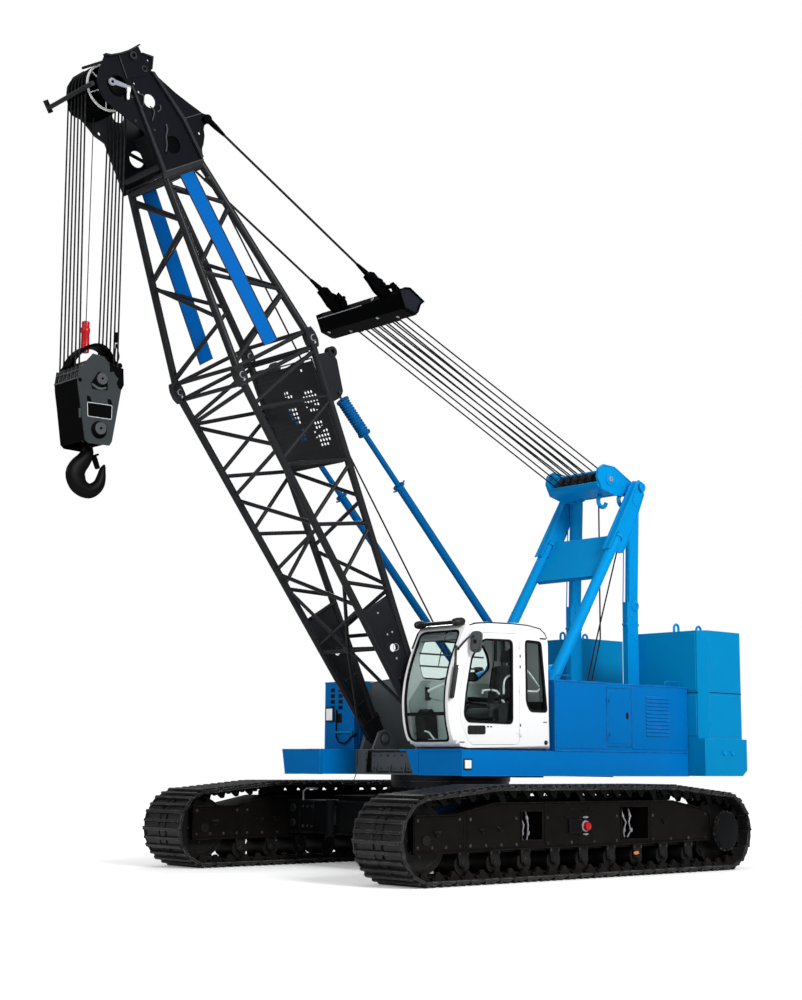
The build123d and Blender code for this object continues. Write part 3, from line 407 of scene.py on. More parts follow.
# The centre frame's grey, painted lighter on the boom foot brackets to make up for the shade the cab casts on
# them: painted light.
BRACKET_GREY_LIGHTENED = coated("frame_grey_paint_lightened_on_brackets", (0.150, 0.165, 0.175), roughness=0.42, amount=0.12, dust=0.05,
                      wear_and_highlight=0.4, specular=0.15)
# Near black, darker than the boom's black paint; on the bridle cover it is partly painted shade, cancelling
# the light the floor throws onto its underside.
DEEP_BLACK = coated("deep_black_paint_and_shade", (0.0006, 0.0007, 0.0010), roughness=0.5, amount=0.2, specular=0.02)
CHEEK_GREY = coated("hook_block_cheek_paint", (0.027, 0.033, 0.0355), roughness=0.46, amount=0.25, wear_and_highlight=0.6,
                    edge_colour=BLACK_EDGE, specular=0.08)
GUARD_GREY = coated("rope_guard_steel", (0.060, 0.066, 0.070), roughness=0.46, amount=0.20, wear_and_highlight=0.4,
                    specular=0.15)
PIN_GREY = coated("block_pin_steel", (0.052, 0.058, 0.062), roughness=0.44, amount=0.20, wear_and_highlight=0.4,
                  specular=0.15)
# Light grey for seam beads, and for painted highlights on the boom head's edges and hoses.
BEAD_AND_HIGHLIGHT_GREY = coated("weld_bead_and_highlight_grey", (0.045, 0.05, 0.055), roughness=0.5)
LEVER_GREY = coated("lever_grey_paint", (0.22, 0.235, 0.29), roughness=0.42, wear_and_highlight=0.2)
PALE_STEEL = coated("pale_steel", (0.42, 0.44, 0.48), metallic=0.2)
BLOCK_BLACK = coated("hook_block_paint", (0.024, 0.028, 0.030), roughness=0.42, amount=0.25, wear_and_highlight=0.7,
                     edge_colour=BLACK_EDGE, specular=0.18)
HOOK_BLACK = coated("forged_hook_paint", (0.0012, 0.0012, 0.0015), roughness=0.42, amount=0.2, wear_and_highlight=0.2,
                    relief=30.0, depth=0.002, edge_colour=(0.02, 0.02, 0.022, 1), specular=0.07)
FRAME_BROWN = coated("crawler_frame_paint", (0.0026, 0.0020, 0.0018), roughness=0.50, amount=0.3, dust=0.05,
                     fade=1.1, wear_and_highlight=0.5, depth=0.001, edge_colour=(0.055, 0.048, 0.044, 1), specular=0.05)
CARBODY_BLACK = coated("carbody_paint", (0.0022, 0.0026, 0.0032), roughness=0.45, amount=0.25, dust=0.02,
                       fade=1.2, wear_and_highlight=0.5, edge_colour=BLACK_EDGE, specular=0.05)
DECK_GREY = coated("centre_frame_grey_paint", (0.070, 0.080, 0.088), roughness=0.42, amount=0.12, dust=0.08,
                   wear_and_highlight=0.5, specular=0.15)
# The shoes' light edges stand for the glints on their ribs as well as for wear: painted highlight.
SHOE_STEEL = coated("track_shoe_steel", (0.008, 0.008, 0.0082), roughness=0.42, amount=0.4, dust=0.06,
                    fade=0.9, wear_and_highlight=1.0, relief=40.0, depth=0.0015, spread=0.14, edge_colour=(0.16, 0.165, 0.17, 1),
                    specular=0.22)
LINK_STEEL = coated("track_link_steel", (0.0032, 0.003, 0.0032), roughness=0.50, amount=0.4, dust=0.10,
                    fade=0.9, wear_and_highlight=0.6, relief=40.0, depth=0.0015, spread=0.14, edge_colour=(0.05, 0.045, 0.04, 1),
                    specular=0.06)
CAST_IRON = coated("cast_iron", (0.0045, 0.0045, 0.005), roughness=0.48, amount=0.3, dust=0.10, fade=0.9,
                   wear_and_highlight=0.5, relief=45.0, depth=0.0015, spread=0.12, edge_colour=BLACK_EDGE, specular=0.10)
MACHINED = coated("machined_steel", (0.30, 0.30, 0.31), roughness=0.34, dust=0.10, fade=1.4, metallic=1.0,
                  relief=90.0, depth=0.0004, spread=0.12)
GREY_CASTING = coated("grey_casting", (0.26, 0.27, 0.29), roughness=0.42, amount=0.12, wear_and_highlight=0.3, metallic=0.1,
                      depth=0.001)
DARK_STEEL = coated("dark_machined_steel", (0.022, 0.023, 0.026), roughness=0.36, amount=0.18, dust=0.05,
                    fade=1.2, wear_and_highlight=0.5, metallic=0.5)
RUBBER = coated("black_rubber", (0.004, 0.004, 0.005), roughness=0.62, amount=0.2, dust=0.04, relief=80.0,
                specular=0.1)
BLACK_PLASTIC = coated("black_moulded_plastic", (0.008, 0.008, 0.009), roughness=0.45, amount=0.15, dust=0.02,
                       relief=120.0, depth=0.0005, specular=0.25)
PALE_PLASTIC = coated("pale_lining_plastic", (0.42, 0.47, 0.465), roughness=0.55, amount=0.08, relief=120.0,
                      depth=0.0005)
DARK_PLASTIC = coated("mirror_shell_plastic", (0.045, 0.05, 0.052), roughness=0.45, amount=0.15, dust=0.02,
                      relief=120.0, depth=0.0005)
GREY_PLASTIC = coated("grey_trim_plastic", (0.13, 0.15, 0.155), roughness=0.55, relief=120.0, depth=0.0005)
RED_PAINT = coated("red_paint", (0.40, 0.004, 0.008), roughness=0.36, coat=0.1, amount=0.12, wear_and_highlight=0.4,
                   edge_colour=(0.08, 0.01, 0.01, 1))
ORANGE_PAINT = coated("orange_tag_paint", (0.62, 0.21, 0.06), roughness=0.5, dust=0.2, fade=0.6)
PLATE_WHITE = coated("plate_white", (0.78, 0.78, 0.77), roughness=0.4, coat=0.1, amount=0.04)
MIRROR_GLASS = coated("mirror_face", (0.80, 0.82, 0.84), roughness=0.04, amount=0.02, metallic=1.0,
                      relief=20.0, depth=0.0, spread=0.01)
ROPE = wire_rope("wire_rope_steel", (0.013, 0.0135, 0.015))
DARK_GLASS = coated("dark_lamp_glass", (0.012, 0.014, 0.016), roughness=0.08, coat=0.6, amount=0.02,
                    depth=0.0)
CAB_GLASS = glazing("cab_glass", (0.80, 0.88, 0.86))
LAMP_LENS = lens("work_lamp_lens", (0.86, 0.86, 0.84), 0.25)
SEAT_CLOTH = seat_cloth("seat_cloth", (0.022, 0.026, 0.032))

NODE_FINISH = {
    CARBODY_BLACK: ("carbody",),
    MACHINED: ("gantry_top_pin",),
    DARK_STEEL: ("slew_ring_lower", "slew_ring_upper", "winch_drums", "derrick_sheaves", "bridle_sheaves",
                 "boom_head_sheaves", "hook_block_sheaves"),
    FRAME_BROWN: ("track_frame_left", "track_frame_right"),
    CAST_IRON: ("track_rollers", "idlers", "sprockets", "engine_block"),
    LINK_STEEL: ("track_left", "track_right"),
    DECK_GREY: ("revolving_frame", "winch_stands"),
    BRACKET_GREY_LIGHTENED: ("boom_foot_brackets",),
    DECK_BLUE_LIGHTENED: ("deck_left", "deck_right"),
    HOUSE_BLUE_DARKENED: ("house_left", "house_right", "house_door_left", "house_door_right",
                 "gantry_feet"),
    GANTRY_BLUE: ("gantry_legs", "gantry_links", "gantry_cross_plate", "derrick_block"),
    STOP_BLUE: ("backstop_tubes", "backstop_rods"),
    WEIGHT_BLUE: ("counterweight_base", "counterweight_left", "counterweight_right"),
    CAB_WHITE: ("cab_shell", "cab_door"),
    CAB_GLASS: ("cab_glass", "cab_door_glass"),
    BLACK_PLASTIC: ("cab_interior",),
    ROPE: ("derrick_falls", "hoist_falls", "pendants"),
    BOOM_BLACK: ("boom_chords", "boom_side_lacing", "boom_face_lacing", "boom_connectors", "boom_foot_plates",
                 "boom_walkway", "boom_head", "boom_head_ties", "boom_backstop_ears", "bridle"),
    BOARD_BLUE: ("boom_boards",),
    BLOCK_BLACK: ("hook_block_cheeks", "hook_trunnion"),
    HOOK_BLACK: ("hook",),
}
for material, names in NODE_FINISH.items():
    for name in names:
        slots = nodes[name].data.materials
        slots.clear()
        slots.append(material)


# ------------------------------------------------------------------ solids
SHARPEST_MITRE = 0.5
AXIS_ORDER = {"x": lambda a, b, c: (c, a, b), "y": lambda a, b, c: (a, c, b), "z": lambda a, b, c: (a, b, c)}


def rings_along(points, radius, sides, mitred=False):
    """Rings of corners round a line, carried along it without twisting."""
    heading = (points[1] - points[0]).normalized()
    normal = heading.orthogonal().normalized()
    turns = [math.tau * step / sides for step in range(sides)]
    for number, point in enumerate(points):
        before = (point - points[number - 1]).normalized() if number else heading
        after = (points[number + 1] - point).normalized() if number + 1 < len(points) else before
        middle = (before + after).normalized()
        normal = (normal - middle * normal.dot(middle)).normalized()
        side = middle.cross(normal)
        stretch = 1 / max(SHARPEST_MITRE, middle.dot(before)) if mitred and number else 1
        yield [point + (normal * math.cos(turn) + side * math.sin(turn) * stretch) * radius for turn in turns]


class Solid:
    """Collects closed shapes, then makes them one piece that rides on a body."""

    def __init__(self, place=None):
        self.mesh = bmesh.new()
        self.place = place or Matrix()

    def shell(self, points, faces):
        made = [self.mesh.verts.new(self.place @ Vector(point)) for point in points]
        for face in faces:
            self.mesh.faces.new([made[number] for number in face])
        return self

    def box(self, x0, x1, y0, y1, z0, z1):
        points = [(x, y, z) for x in (x0, x1) for y in (y0, y1) for z in (z0, z1)]
        return self.shell(points,
                          [(0, 1, 3, 2), (4, 6, 7, 5), (0, 4, 5, 1), (2, 3, 7, 6), (0, 2, 6, 4),
                           (1, 5, 7, 3)])

    def prism(self, outline, low, high, axis="x"):
        """A flat plate: outline in the other two axes, in order, from low to high along axis."""
        turn = AXIS_ORDER[axis]
        count = len(outline)
        points = [turn(a, b, level) for level in (low, high) for a, b in outline]
        sides = [(n, (n + 1) % count, (n + 1) % count + count, n + count) for n in range(count)]
        return self.shell(points, [tuple(range(count)), tuple(range(2 * count - 1, count - 1, -1)), *sides])

    def lathe(self, profile, centre, axis, sides=24, ring=False):
        """Turned shape: profile gives distance along the axis and radius; a ring closes on itself."""
        axis = Vector(axis).normalized()
        start = axis.orthogonal().normalized()
        side = axis.cross(start)
        rows = []
        for along, radius in profile:
            if radius < 1e-6:
                rows.append([self.mesh.verts.new(self.place @ (Vector(centre) + axis * along))])
                continue
            row = []
            for number in range(sides):
                turn = math.tau * number / sides
                way = start * math.cos(turn) + side * math.sin(turn)
                row.append(self.mesh.verts.new(self.place @ (Vector(centre) + axis * along + way * radius)))
            rows.append(row)
        pairs = list(zip(rows, rows[1:])) + ([(rows[-1], rows[0])] if ring else [])
        for low, high in pairs:
            for number in range(sides):
                after = (number + 1) % sides
                corners = [low[number % len(low)], low[after % len(low)], high[after % len(high)],
                           high[number % len(high)]]
                unique = list(dict.fromkeys(corners))
                if len(unique) > 2:
                    self.mesh.faces.new(unique)
        if not ring:
            for row in (rows[0], rows[-1]):
                if len(row) > 1:
                    self.mesh.faces.new(row)
        return self

    def rod(self, start, end, radius, sides=16, edge=0.0):
        """A round bar with an optional small chamfer at its ends."""
        start, end = Vector(start), Vector(end)
        length = (end - start).length
        edge = edge or min(0.12 * radius, 0.004)
        profile = [(0, radius - edge), (edge, radius), (length - edge, radius), (length, radius - edge)]
        return self.lathe(profile, start, end - start, sides)

    def pipe(self, points, radius, sides=10):
        """A bent bar through the points, mitred at each."""
        rings = rings_along([Vector(point) for point in points], radius, sides, mitred=True)
        rows = [[self.mesh.verts.new(self.place @ corner) for corner in ring] for ring in rings]
        for low, high in zip(rows, rows[1:]):
            for step in range(sides):
                after = (step + 1) % sides
                self.mesh.faces.new((low[step], low[after], high[after], high[step]))
        self.mesh.faces.new(rows[0])
        self.mesh.faces.new(rows[-1])
        return self

    def piece(self, name, body, material, slot, bevel=0.0, replaces=(), smooth=35.0):
        bmesh.ops.recalc_face_normals(self.mesh, faces=self.mesh.faces)
        data = bpy.data.meshes.new(name)
        self.mesh.to_mesh(data)
        self.mesh.free()
        smoothed(data, smooth)
        made = in_scene(name, data)
        data.materials.append(material)
        if bevel:
            rounding = made.modifiers.new("edges", "BEVEL")
            rounding.width = bevel
            rounding.segments = 2
            rounding.limit_method = "ANGLE"
            rounding.angle_limit = math.radians(38)
            rounding.use_clamp_overlap = True
            rounding.harden_normals = False
        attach(made, body)
        if replaces:
            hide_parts(*replaces)
        return made


# ------------------------------------------------------------------ geometry node trees for repeats
def new_tree(name, inputs):
    """A geometry tree with a Geometry input, the given inputs and a Geometry output."""
    tree = bpy.data.node_groups.new(name, "GeometryNodeTree")
    tree.interface.new_socket(name="Geometry", in_out="INPUT", socket_type="NodeSocketGeometry")
    for label, kind, value in inputs:
        socket = tree.interface.new_socket(name=label, in_out="INPUT", socket_type=kind)
        if value is not None:
            socket.default_value = value
    tree.interface.new_socket(name="Finish", in_out="INPUT", socket_type="NodeSocketMaterial")
    tree.interface.new_socket(name="Geometry", in_out="OUTPUT", socket_type="NodeSocketGeometry")
    return tree, tree.nodes.new("NodeGroupInput"), tree.nodes.new("NodeGroupOutput")


def read_vector(tree, label):
    made = tree.nodes.new("GeometryNodeInputNamedAttribute")
    made.data_type = "FLOAT_VECTOR"
    made.inputs["Name"].default_value = label
    return made.outputs["Attribute"]


def tree_math(tree, operation, first, second):
    made = tree.nodes.new("ShaderNodeMath")
    made.operation = operation
    for socket, value in zip(made.inputs, (first, second)):
        if isinstance(value, (int, float)):
            socket.default_value = value
        else:
            tree.links.new(value, socket)
    return made.outputs[0]


def place_and_finish(tree, given, result, instance, rotation):
    """Instances on the points, made real, with the finish."""
    spread = tree.nodes.new("GeometryNodeInstanceOnPoints")
    tree.links.new(given.outputs["Geometry"], spread.inputs["Points"])
    tree.links.new(instance, spread.inputs["Instance"])
    tree.links.new(rotation, spread.inputs["Rotation"])
    real = tree.nodes.new("GeometryNodeRealizeInstances")
    tree.links.new(spread.outputs[0], real.inputs[0])
    paint = tree.nodes.new("GeometryNodeSetMaterial")
    tree.links.new(real.outputs[0], paint.inputs["Geometry"])
    tree.links.new(given.outputs["Finish"], paint.inputs["Material"])
    tree.links.new(paint.outputs[0], result.inputs[0])


def facing(tree):
    """Rotation that turns +Z to the point's aim and +Y to its along."""
    turn = tree.nodes.new("FunctionNodeAxesToRotation")
    turn.primary_axis = "Z"
    turn.secondary_axis = "Y"
    tree.links.new(read_vector(tree, "aim"), turn.inputs[0])
    tree.links.new(read_vector(tree, "along"), turn.inputs[1])
    return turn.outputs[0]


def bolt_tree():
    """A hexagon head on a washer at each point."""
    tree, given, result = new_tree("bolt_heads", [
        ("Across corners", "NodeSocketFloat", 0.03), ("Head height", "NodeSocketFloat", 0.014),
    ])
    radius = tree_math(tree, "MULTIPLY", given.outputs["Across corners"], 0.5)
    joined = tree.nodes.new("GeometryNodeJoinGeometry")
    for corners, widen, flatten in ((6, 1.0, 1.0), (12, 1.4, 0.3)):
        cylinder = tree.nodes.new("GeometryNodeMeshCylinder")
        cylinder.inputs["Vertices"].default_value = corners
        tree.links.new(tree_math(tree, "MULTIPLY", radius, widen), cylinder.inputs["Radius"])
        height = tree_math(tree, "MULTIPLY", given.outputs["Head height"], flatten)
        tree.links.new(height, cylinder.inputs["Depth"])
        lift = tree.nodes.new("ShaderNodeCombineXYZ")
        tree.links.new(tree_math(tree, "MULTIPLY", height, 0.5), lift.inputs["Z"])
        raise_up = tree.nodes.new("GeometryNodeTransform")
        tree.links.new(cylinder.outputs["Mesh"], raise_up.inputs["Geometry"])
        tree.links.new(lift.outputs[0], raise_up.inputs["Translation"])
        tree.links.new(raise_up.outputs[0], joined.inputs[0])
    place_and_finish(tree, given, result, joined.outputs[0], facing(tree))
    return tree


def copies_tree():
    """One object repeated at each point, such as a track shoe or a louvre blade."""
    tree, given, result = new_tree("repeated_part", [("Part", "NodeSocketObject", None)])
    part = tree.nodes.new("GeometryNodeObjectInfo")
    tree.links.new(given.outputs["Part"], part.inputs["Object"])
    place_and_finish(tree, given, result, part.outputs["Geometry"], facing(tree))
    return tree


def punched_tree():
    """A plate made of square cells with a round hole each, on the points of a grid."""
    tree, given, result = new_tree("punched_plate", [
        ("Cell", "NodeSocketFloat", 0.03), ("Hole", "NodeSocketFloat", 0.019),
        ("Thickness", "NodeSocketFloat", 0.004),
    ])
    hole = tree.nodes.new("GeometryNodeCurvePrimitiveCircle")
    hole.inputs["Resolution"].default_value = 8
    tree.links.new(tree_math(tree, "MULTIPLY", given.outputs["Hole"], 0.5), hole.inputs["Radius"])
    edge = tree.nodes.new("GeometryNodeCurvePrimitiveQuadrilateral")
    tree.links.new(given.outputs["Cell"], edge.inputs["Width"])
    tree.links.new(given.outputs["Cell"], edge.inputs["Height"])
    both = tree.nodes.new("GeometryNodeJoinGeometry")
    tree.links.new(hole.outputs["Curve"], both.inputs[0])
    tree.links.new(edge.outputs["Curve"], both.inputs[0])
    fill = tree.nodes.new("GeometryNodeFillCurve")
    fill.mode = "NGONS"
    tree.links.new(both.outputs[0], fill.inputs["Curve"])
    thicken = tree.nodes.new("GeometryNodeExtrudeMesh")
    tree.links.new(fill.outputs["Mesh"], thicken.inputs["Mesh"])
    tree.links.new(given.outputs["Thickness"], thicken.inputs["Offset Scale"])
    thicken.inputs["Individual"].default_value = False
    under = tree.nodes.new("GeometryNodeFlipFaces")
    tree.links.new(fill.outputs["Mesh"], under.inputs["Mesh"])
    cell = tree.nodes.new("GeometryNodeJoinGeometry")
    tree.links.new(thicken.outputs["Mesh"], cell.inputs[0])
    tree.links.new(under.outputs["Mesh"], cell.inputs[0])
    place_and_finish(tree, given, result, cell.outputs[0], facing(tree))
    return tree


BOLTS, COPIES = bolt_tree(), copies_tree()


def repeat(name, tree, places, body, material, slot, replaces=(), smooth=30.0, **settings):
    """Runs a repeat tree on places, each (point, aim, along), and keeps the result as one plain piece."""
    data = bpy.data.meshes.new(name)
    data.from_pydata([tuple(place[0]) for place in places], [], [])
    for label, number in (("aim", 1), ("along", 2)):
        attribute = data.attributes.new(label, "FLOAT_VECTOR", "POINT")
        for point, place in zip(attribute.data, places):
            point.vector = place[number]
    made = in_scene(name, data)
    spread = made.modifiers.new("repeats", "NODES")
    spread.node_group = tree
    values = {key.replace("_", " ").capitalize(): value for key, value in settings.items()}
    values["Finish"] = material
    for item in tree.interface.items_tree:
        if item.item_type == "SOCKET" and item.in_out == "INPUT" and item.name in values:
            spread[item.identifier] = values[item.name]
    evaluated = made.evaluated_get(bpy.context.evaluated_depsgraph_get())
    mesh = bpy.data.meshes.new_from_object(evaluated)
    made.modifiers.clear()
    made.data = mesh
    mesh.name = name
    if not mesh.materials:
        mesh.materials.append(material)
    smoothed(mesh, smooth)
    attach(made, body)
    if replaces:
        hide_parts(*replaces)
    return made


def pattern(solid, name):
    """A part used only to be repeated; it is taken away again by done_with."""
    bmesh.ops.recalc_face_normals(solid.mesh, faces=solid.mesh.faces)
    data = bpy.data.meshes.new(name)
    solid.mesh.to_mesh(data)
    solid.mesh.free()
    made = in_scene(name, data)
    return made


def done_with(*parts):
    for part in parts:
        bpy.data.objects.remove(part)


def bolts(name, places, across, height, body, material, slot):
    """Bolt heads at places, each (point, aim)."""
    full = []
    for point, aim in places:
        aim = Vector(aim).normalized()
        full.append((point, aim, aim.orthogonal()))
    return repeat(name, BOLTS, full, body, material, slot, across_corners=across, head_height=height)


def circle_places(centre, axis, radius, count, phase=0.0):
    """Points round a circle, each with the axis as its aim."""
    axis = Vector(axis).normalized()
    start = Vector((0, 0, 1)) if abs(axis.z) < 0.9 else Vector((0, 1, 0))
    start = (start - axis * start.dot(axis)).normalized()
    side = axis.cross(start)
    found = []
    for number in range(count):
        turn = math.tau * (number + phase) / count
        found.append((Vector(centre) + (start * math.cos(turn) + side * math.sin(turn)) * radius, axis))
    return found


def row_places(start, end, count, aim):
    """Evenly spaced points from start to end."""
    start, end = Vector(start), Vector(end)
    return [(start.lerp(end, number / max(1, count - 1)), Vector(aim)) for number in range(count)]


# ------------------------------------------------------------------ crawlers
TRACK_END = (2.9, 0.55, 0.55)               # circle at the idler and the sprocket: y, z, radius
TRACK_BEND = (1.7, 0.844333, 0.366667)      # circle at the ends of the top run
SHOE_COUNT = 60
SHOE_HALF = 0.447
BELT_DEPTH = 0.07
BELT_INSIDE = 0.115


def track_path():
    """Points and outward directions of the loop round the four circles, from the ground at y = 0 forwards."""
    end_y, end_z, end_r = TRACK_END
    bend_y, bend_z, bend_r = TRACK_BEND
    run = Vector((end_y - bend_y, end_z - bend_z))
    slope = math.asin((end_r - bend_r) / run.length)
    fall = math.atan2(bend_z - end_z, end_y - bend_y)
    lean = math.pi / 2 - fall + slope           # polar angle of the tangent point, from +Y
    path = []
    for number in range(121):
        turn = -math.pi / 2 - (math.pi / 2 + lean) * number / 120
        way = Vector((math.cos(turn), math.sin(turn)))
        path.append((Vector((-end_y, end_z)) + way * end_r, way))
    for number in range(25):
        turn = math.pi - lean - (math.pi / 2 - lean) * number / 24
        way = Vector((math.cos(turn), math.sin(turn)))
        path.append((Vector((-bend_y, bend_z)) + way * bend_r, way))
    mirrored = [(Vector((-point.x, point.y)), Vector((-way.x, way.y))) for point, way in reversed(path)]
    return path + mirrored


def along_track(count, phase=0.0):
    """Evenly spaced (y, z) points of the loop with their outward directions."""
    path = track_path()
    path.append(path[0])
    marks = [0.0]
    for (before, _), (after, _) in zip(path, path[1:]):
        marks.append(marks[-1] + (after - before).length)
    found = []
    place = 0
    for number in range(count):
        wanted = marks[-1] * (number + phase) / count
        while marks[place + 1] < wanted:
            place += 1
        share = (wanted - marks[place]) / max(1e-9, marks[place + 1] - marks[place])
        point = path[place][0].lerp(path[place + 1][0], share)
        way = path[place][1].lerp(path[place + 1][1], share).normalized()
        found.append((point, way))
    return found, marks[-1] / count


def shoe_pattern(pitch):
    """A flat shoe with two low ribs joined at both ends, and two pockets over the links."""
    half = pitch / 2 - 0.009
    low, rib = -BELT_DEPTH + 0.022, 0.0
    solid = Solid()

    def section(groove):
        return [(-half, -BELT_DEPTH), (half, -BELT_DEPTH), (half, groove), (0.062, groove), (0.052, rib),
                (0.018, rib),
                (0.008, groove), (-half + 0.054, groove), (-half + 0.044, rib), (-half + 0.006, rib),
                (-half, rib - 0.008)]

    for x0, x1, groove in ((-SHOE_HALF + 0.02, -0.105, low), (-0.105, -0.05, low - 0.018), (-0.05, 0.05, low),
                           (0.05, 0.105, low - 0.018), (0.105, SHOE_HALF - 0.02, low)):
        solid.prism(section(groove), x0, x1)
    for x0, x1 in ((-SHOE_HALF, -SHOE_HALF + 0.02), (SHOE_HALF - 0.02, SHOE_HALF)):
        solid.prism([(-half, -BELT_DEPTH + 0.006), (half, -BELT_DEPTH + 0.006), (half, low),
                     (0.058, low + 0.016),
                     (0.01, low + 0.022), (-half + 0.05, low + 0.022), (-half, rib - 0.014)], x0, x1)
    return pattern(solid, "shoe_pattern")


def link_pattern(pitch):
    """The pair of links under a shoe, with its guide lugs and pin."""
    solid = Solid()
    outline = [(-0.62 * pitch, -BELT_INSIDE + 0.008), (-0.54 * pitch, -BELT_INSIDE),
               (0.30 * pitch, -BELT_INSIDE),
               (0.38 * pitch, -BELT_INSIDE + 0.012), (0.38 * pitch, -BELT_DEPTH),
               (-0.36 * pitch, -BELT_DEPTH),
               (-0.62 * pitch, -BELT_DEPTH - 0.012)]
    for side in SIDES:
        shift = 0.5 * (side + 1) * 0.004
        solid.prism(outline, *side_span(side, 0.135 + shift, 0.205 + shift))
        lug = [(-0.085, -BELT_DEPTH), (-0.05, -BELT_INSIDE - 0.052), (-0.015, -BELT_INSIDE - 0.058),
               (0.03, -BELT_INSIDE - 0.02), (0.09, -BELT_DEPTH)]
        solid.prism(lug, *side_span(side, 0.245, 0.29))
    solid.rod((-0.30, -0.45 * pitch, -BELT_DEPTH - 0.02), (0.30, -0.45 * pitch, -BELT_DEPTH - 0.02), 0.018, 8)
    return pattern(solid, "link_pattern")


def crawler_chain(side, name):
    spots, pitch = along_track(SHOE_COUNT)
    x = side * TRACK_X
    places = []
    for point, way in spots:
        along = Vector((0, -way.y, way.x))
        places.append(((x, point.x, point.y), Vector((0, way.x, way.y)), along))
    shoe, link = shoe_pattern(pitch), link_pattern(pitch)
    repeat(f"track_shoes_{name}", COPIES, places, "undercarriage", SHOE_STEEL, "track_steel",
           replaces=(f"track_{name}",), part=shoe)
    repeat(f"track_links_{name}", COPIES, places, "undercarriage", LINK_STEEL, "track_steel", part=link)
    done_with(shoe, link)


crawler_chain(1, "left")
crawler_chain(-1, "right")

FRAME_HALF = 0.30
FRAME_TOP = [(-3.1, 0.845), (-2.43, 0.85), (-1.72, 0.985), (1.78, 0.985), (2.63, 0.837)]
WINDOWS = ((-1.238, -0.85, 0.508, 0.88), (0.71, 1.275, 0.475, 0.914))
COVERS = (
    [(-3.085, 0.425), (-3.085, 0.822), (-2.285, 0.828), (-2.285, 0.432)],
    [(-2.20, 0.435), (-2.20, 0.868), (-1.71, 0.962), (-1.285, 0.964), (-1.285, 0.435)],
    [(-0.80, 0.435), (-0.80, 0.964), (0.66, 0.964), (0.66, 0.435)],
    [(1.32, 0.44), (1.32, 0.964), (1.77, 0.964), (2.58, 0.822), (2.58, 0.455)],
)
ROLLER_Y = [-2.2147 + 4.4294 * number / 8 for number in range(9)]


def strip(solid, points, thickness, x0, x1):
    """A thin bar that follows a line of (y, z) points."""
    for start, end in zip(points, points[1:]):
        run = Vector(end) - Vector(start)
        up = Vector((-run.y, run.x)).normalized() * (thickness / 2)
        corners = [Vector(start) - up, Vector(end) - up, Vector(end) + up, Vector(start) + up]
        solid.prism([tuple(corner) for corner in corners], x0, x1)
    return solid


def crawler_frame(side, name):
    covers, flanges, fittings, brackets = Solid(), Solid(), Solid(), Solid()
    for face in SIDES:
        middle = side * TRACK_X
        outer = middle + face * FRAME_HALF

        def level(near, far):
            return sorted((outer + face * near, outer + face * far))

        for outline in COVERS:
            covers.prism(outline, *level(-0.002, 0.007))
        for line in (FRAME_TOP, [(-3.1, 0.39), (-2.24, 0.40)],
                     [(-2.20, 0.402), (-1.28, 0.41), (0.2, 0.41), (2.56, 0.428)]):
            strip(flanges, line, 0.013, *level(-0.004, 0.032))
        for y0, y1, z0, z1 in WINDOWS:
            rim = [(y0, z0), (y1, z0), (y1, z1), (y0, z1), (y0, z0)]
            strip(flanges, rim, 0.016, *level(-0.004, 0.014))
        strip(flanges, [(2.64, 0.80), (2.66, 0.47)], 0.018, *level(-0.004, 0.020))
        strip(flanges, [(-2.255, 0.40), (-2.255, 0.85)], 0.020, *level(-0.004, 0.004))
        for y, z in ((-2.72, 0.625), (-1.93, 0.64), (-1.62, 0.66), (1.62, 0.70)):
            fittings.prism([(y - 0.055, z + 0.022), (y + 0.055, z + 0.022), (y + 0.02, z - 0.035),
                            (y - 0.02, z - 0.035)],
                           *level(0.005, 0.024))
            fittings.box(*level(0.005, 0.02), y - 0.07, y + 0.07, z + 0.022, z + 0.034)
        for y in ROLLER_Y:
            brackets.prism([(y - 0.10, 0.41), (y + 0.10, 0.41), (y + 0.065, 0.225), (y - 0.065, 0.225)],
                           *sorted((middle + face * 0.226, middle + face * 0.25)))
            brackets.lathe([(0, 0.052), (0.02, 0.05), (0.03, 0.034), (0.03, 0)],
                           (middle + face * 0.245, y, 0.24),
                           (face, 0, 0), 14)
        for y in (-1.5, 0.0, 1.5):
            brackets.box(*sorted((middle + face * 0.225, middle + face * 0.245)), y - 0.045, y + 0.045, 0.975,
                         1.03)
    middle = side * TRACK_X
    webs = Solid()
    webs.box(middle - 0.20, middle + 0.20, -2.42, 2.36, 0.369, 0.412)
    for y0, y1 in ((-1.72, -1.58), (-1.42, -0.08), (0.08, 1.42), (1.58, 2.05)):
        webs.box(middle - 0.02, middle + 0.02, y0, y1, 0.975, 1.062)
    webs.piece(f"crawler_webs_{name}", "undercarriage", CARBODY_BLACK, "track_frame_brown", bevel=0.003)
    covers.piece(f"crawler_covers_{name}", "undercarriage", FRAME_BROWN, "track_frame_brown", bevel=0.003)
    flanges.piece(f"crawler_flanges_{name}", "undercarriage", FRAME_BROWN, "track_frame_brown", bevel=0.002)
    fittings.piece(f"crawler_lifting_points_{name}", "undercarriage", CARBODY_BLACK, "track_frame_brown",
                   bevel=0.003)
    brackets.piece(f"roller_brackets_{name}", "undercarriage", CAST_IRON, "track_frame_brown", bevel=0.003)
    heads = []
    for face in SIDES:
        at = side * TRACK_X + face * (FRAME_HALF + 0.006)
        for outline in COVERS:
            low_y, high_y = outline[0][0] + 0.05, outline[-1][0] - 0.05
            heads += row_places((at, low_y, 0.465), (at, high_y, 0.465), 4, (face, 0, 0))
            heads += [((at, low_y, 0.79), Vector((face, 0, 0))), ((at, high_y, 0.79), Vector((face, 0, 0)))]
        for y in ROLLER_Y:
            for shift in (-0.07, 0.07):
                heads.append(((side * TRACK_X + face * 0.249, y + shift, 0.375), Vector((face, 0, 0))))
    bolts(f"crawler_bolts_{name}", heads, 0.028, 0.010, "undercarriage", DARK_STEEL, "track_frame_brown")


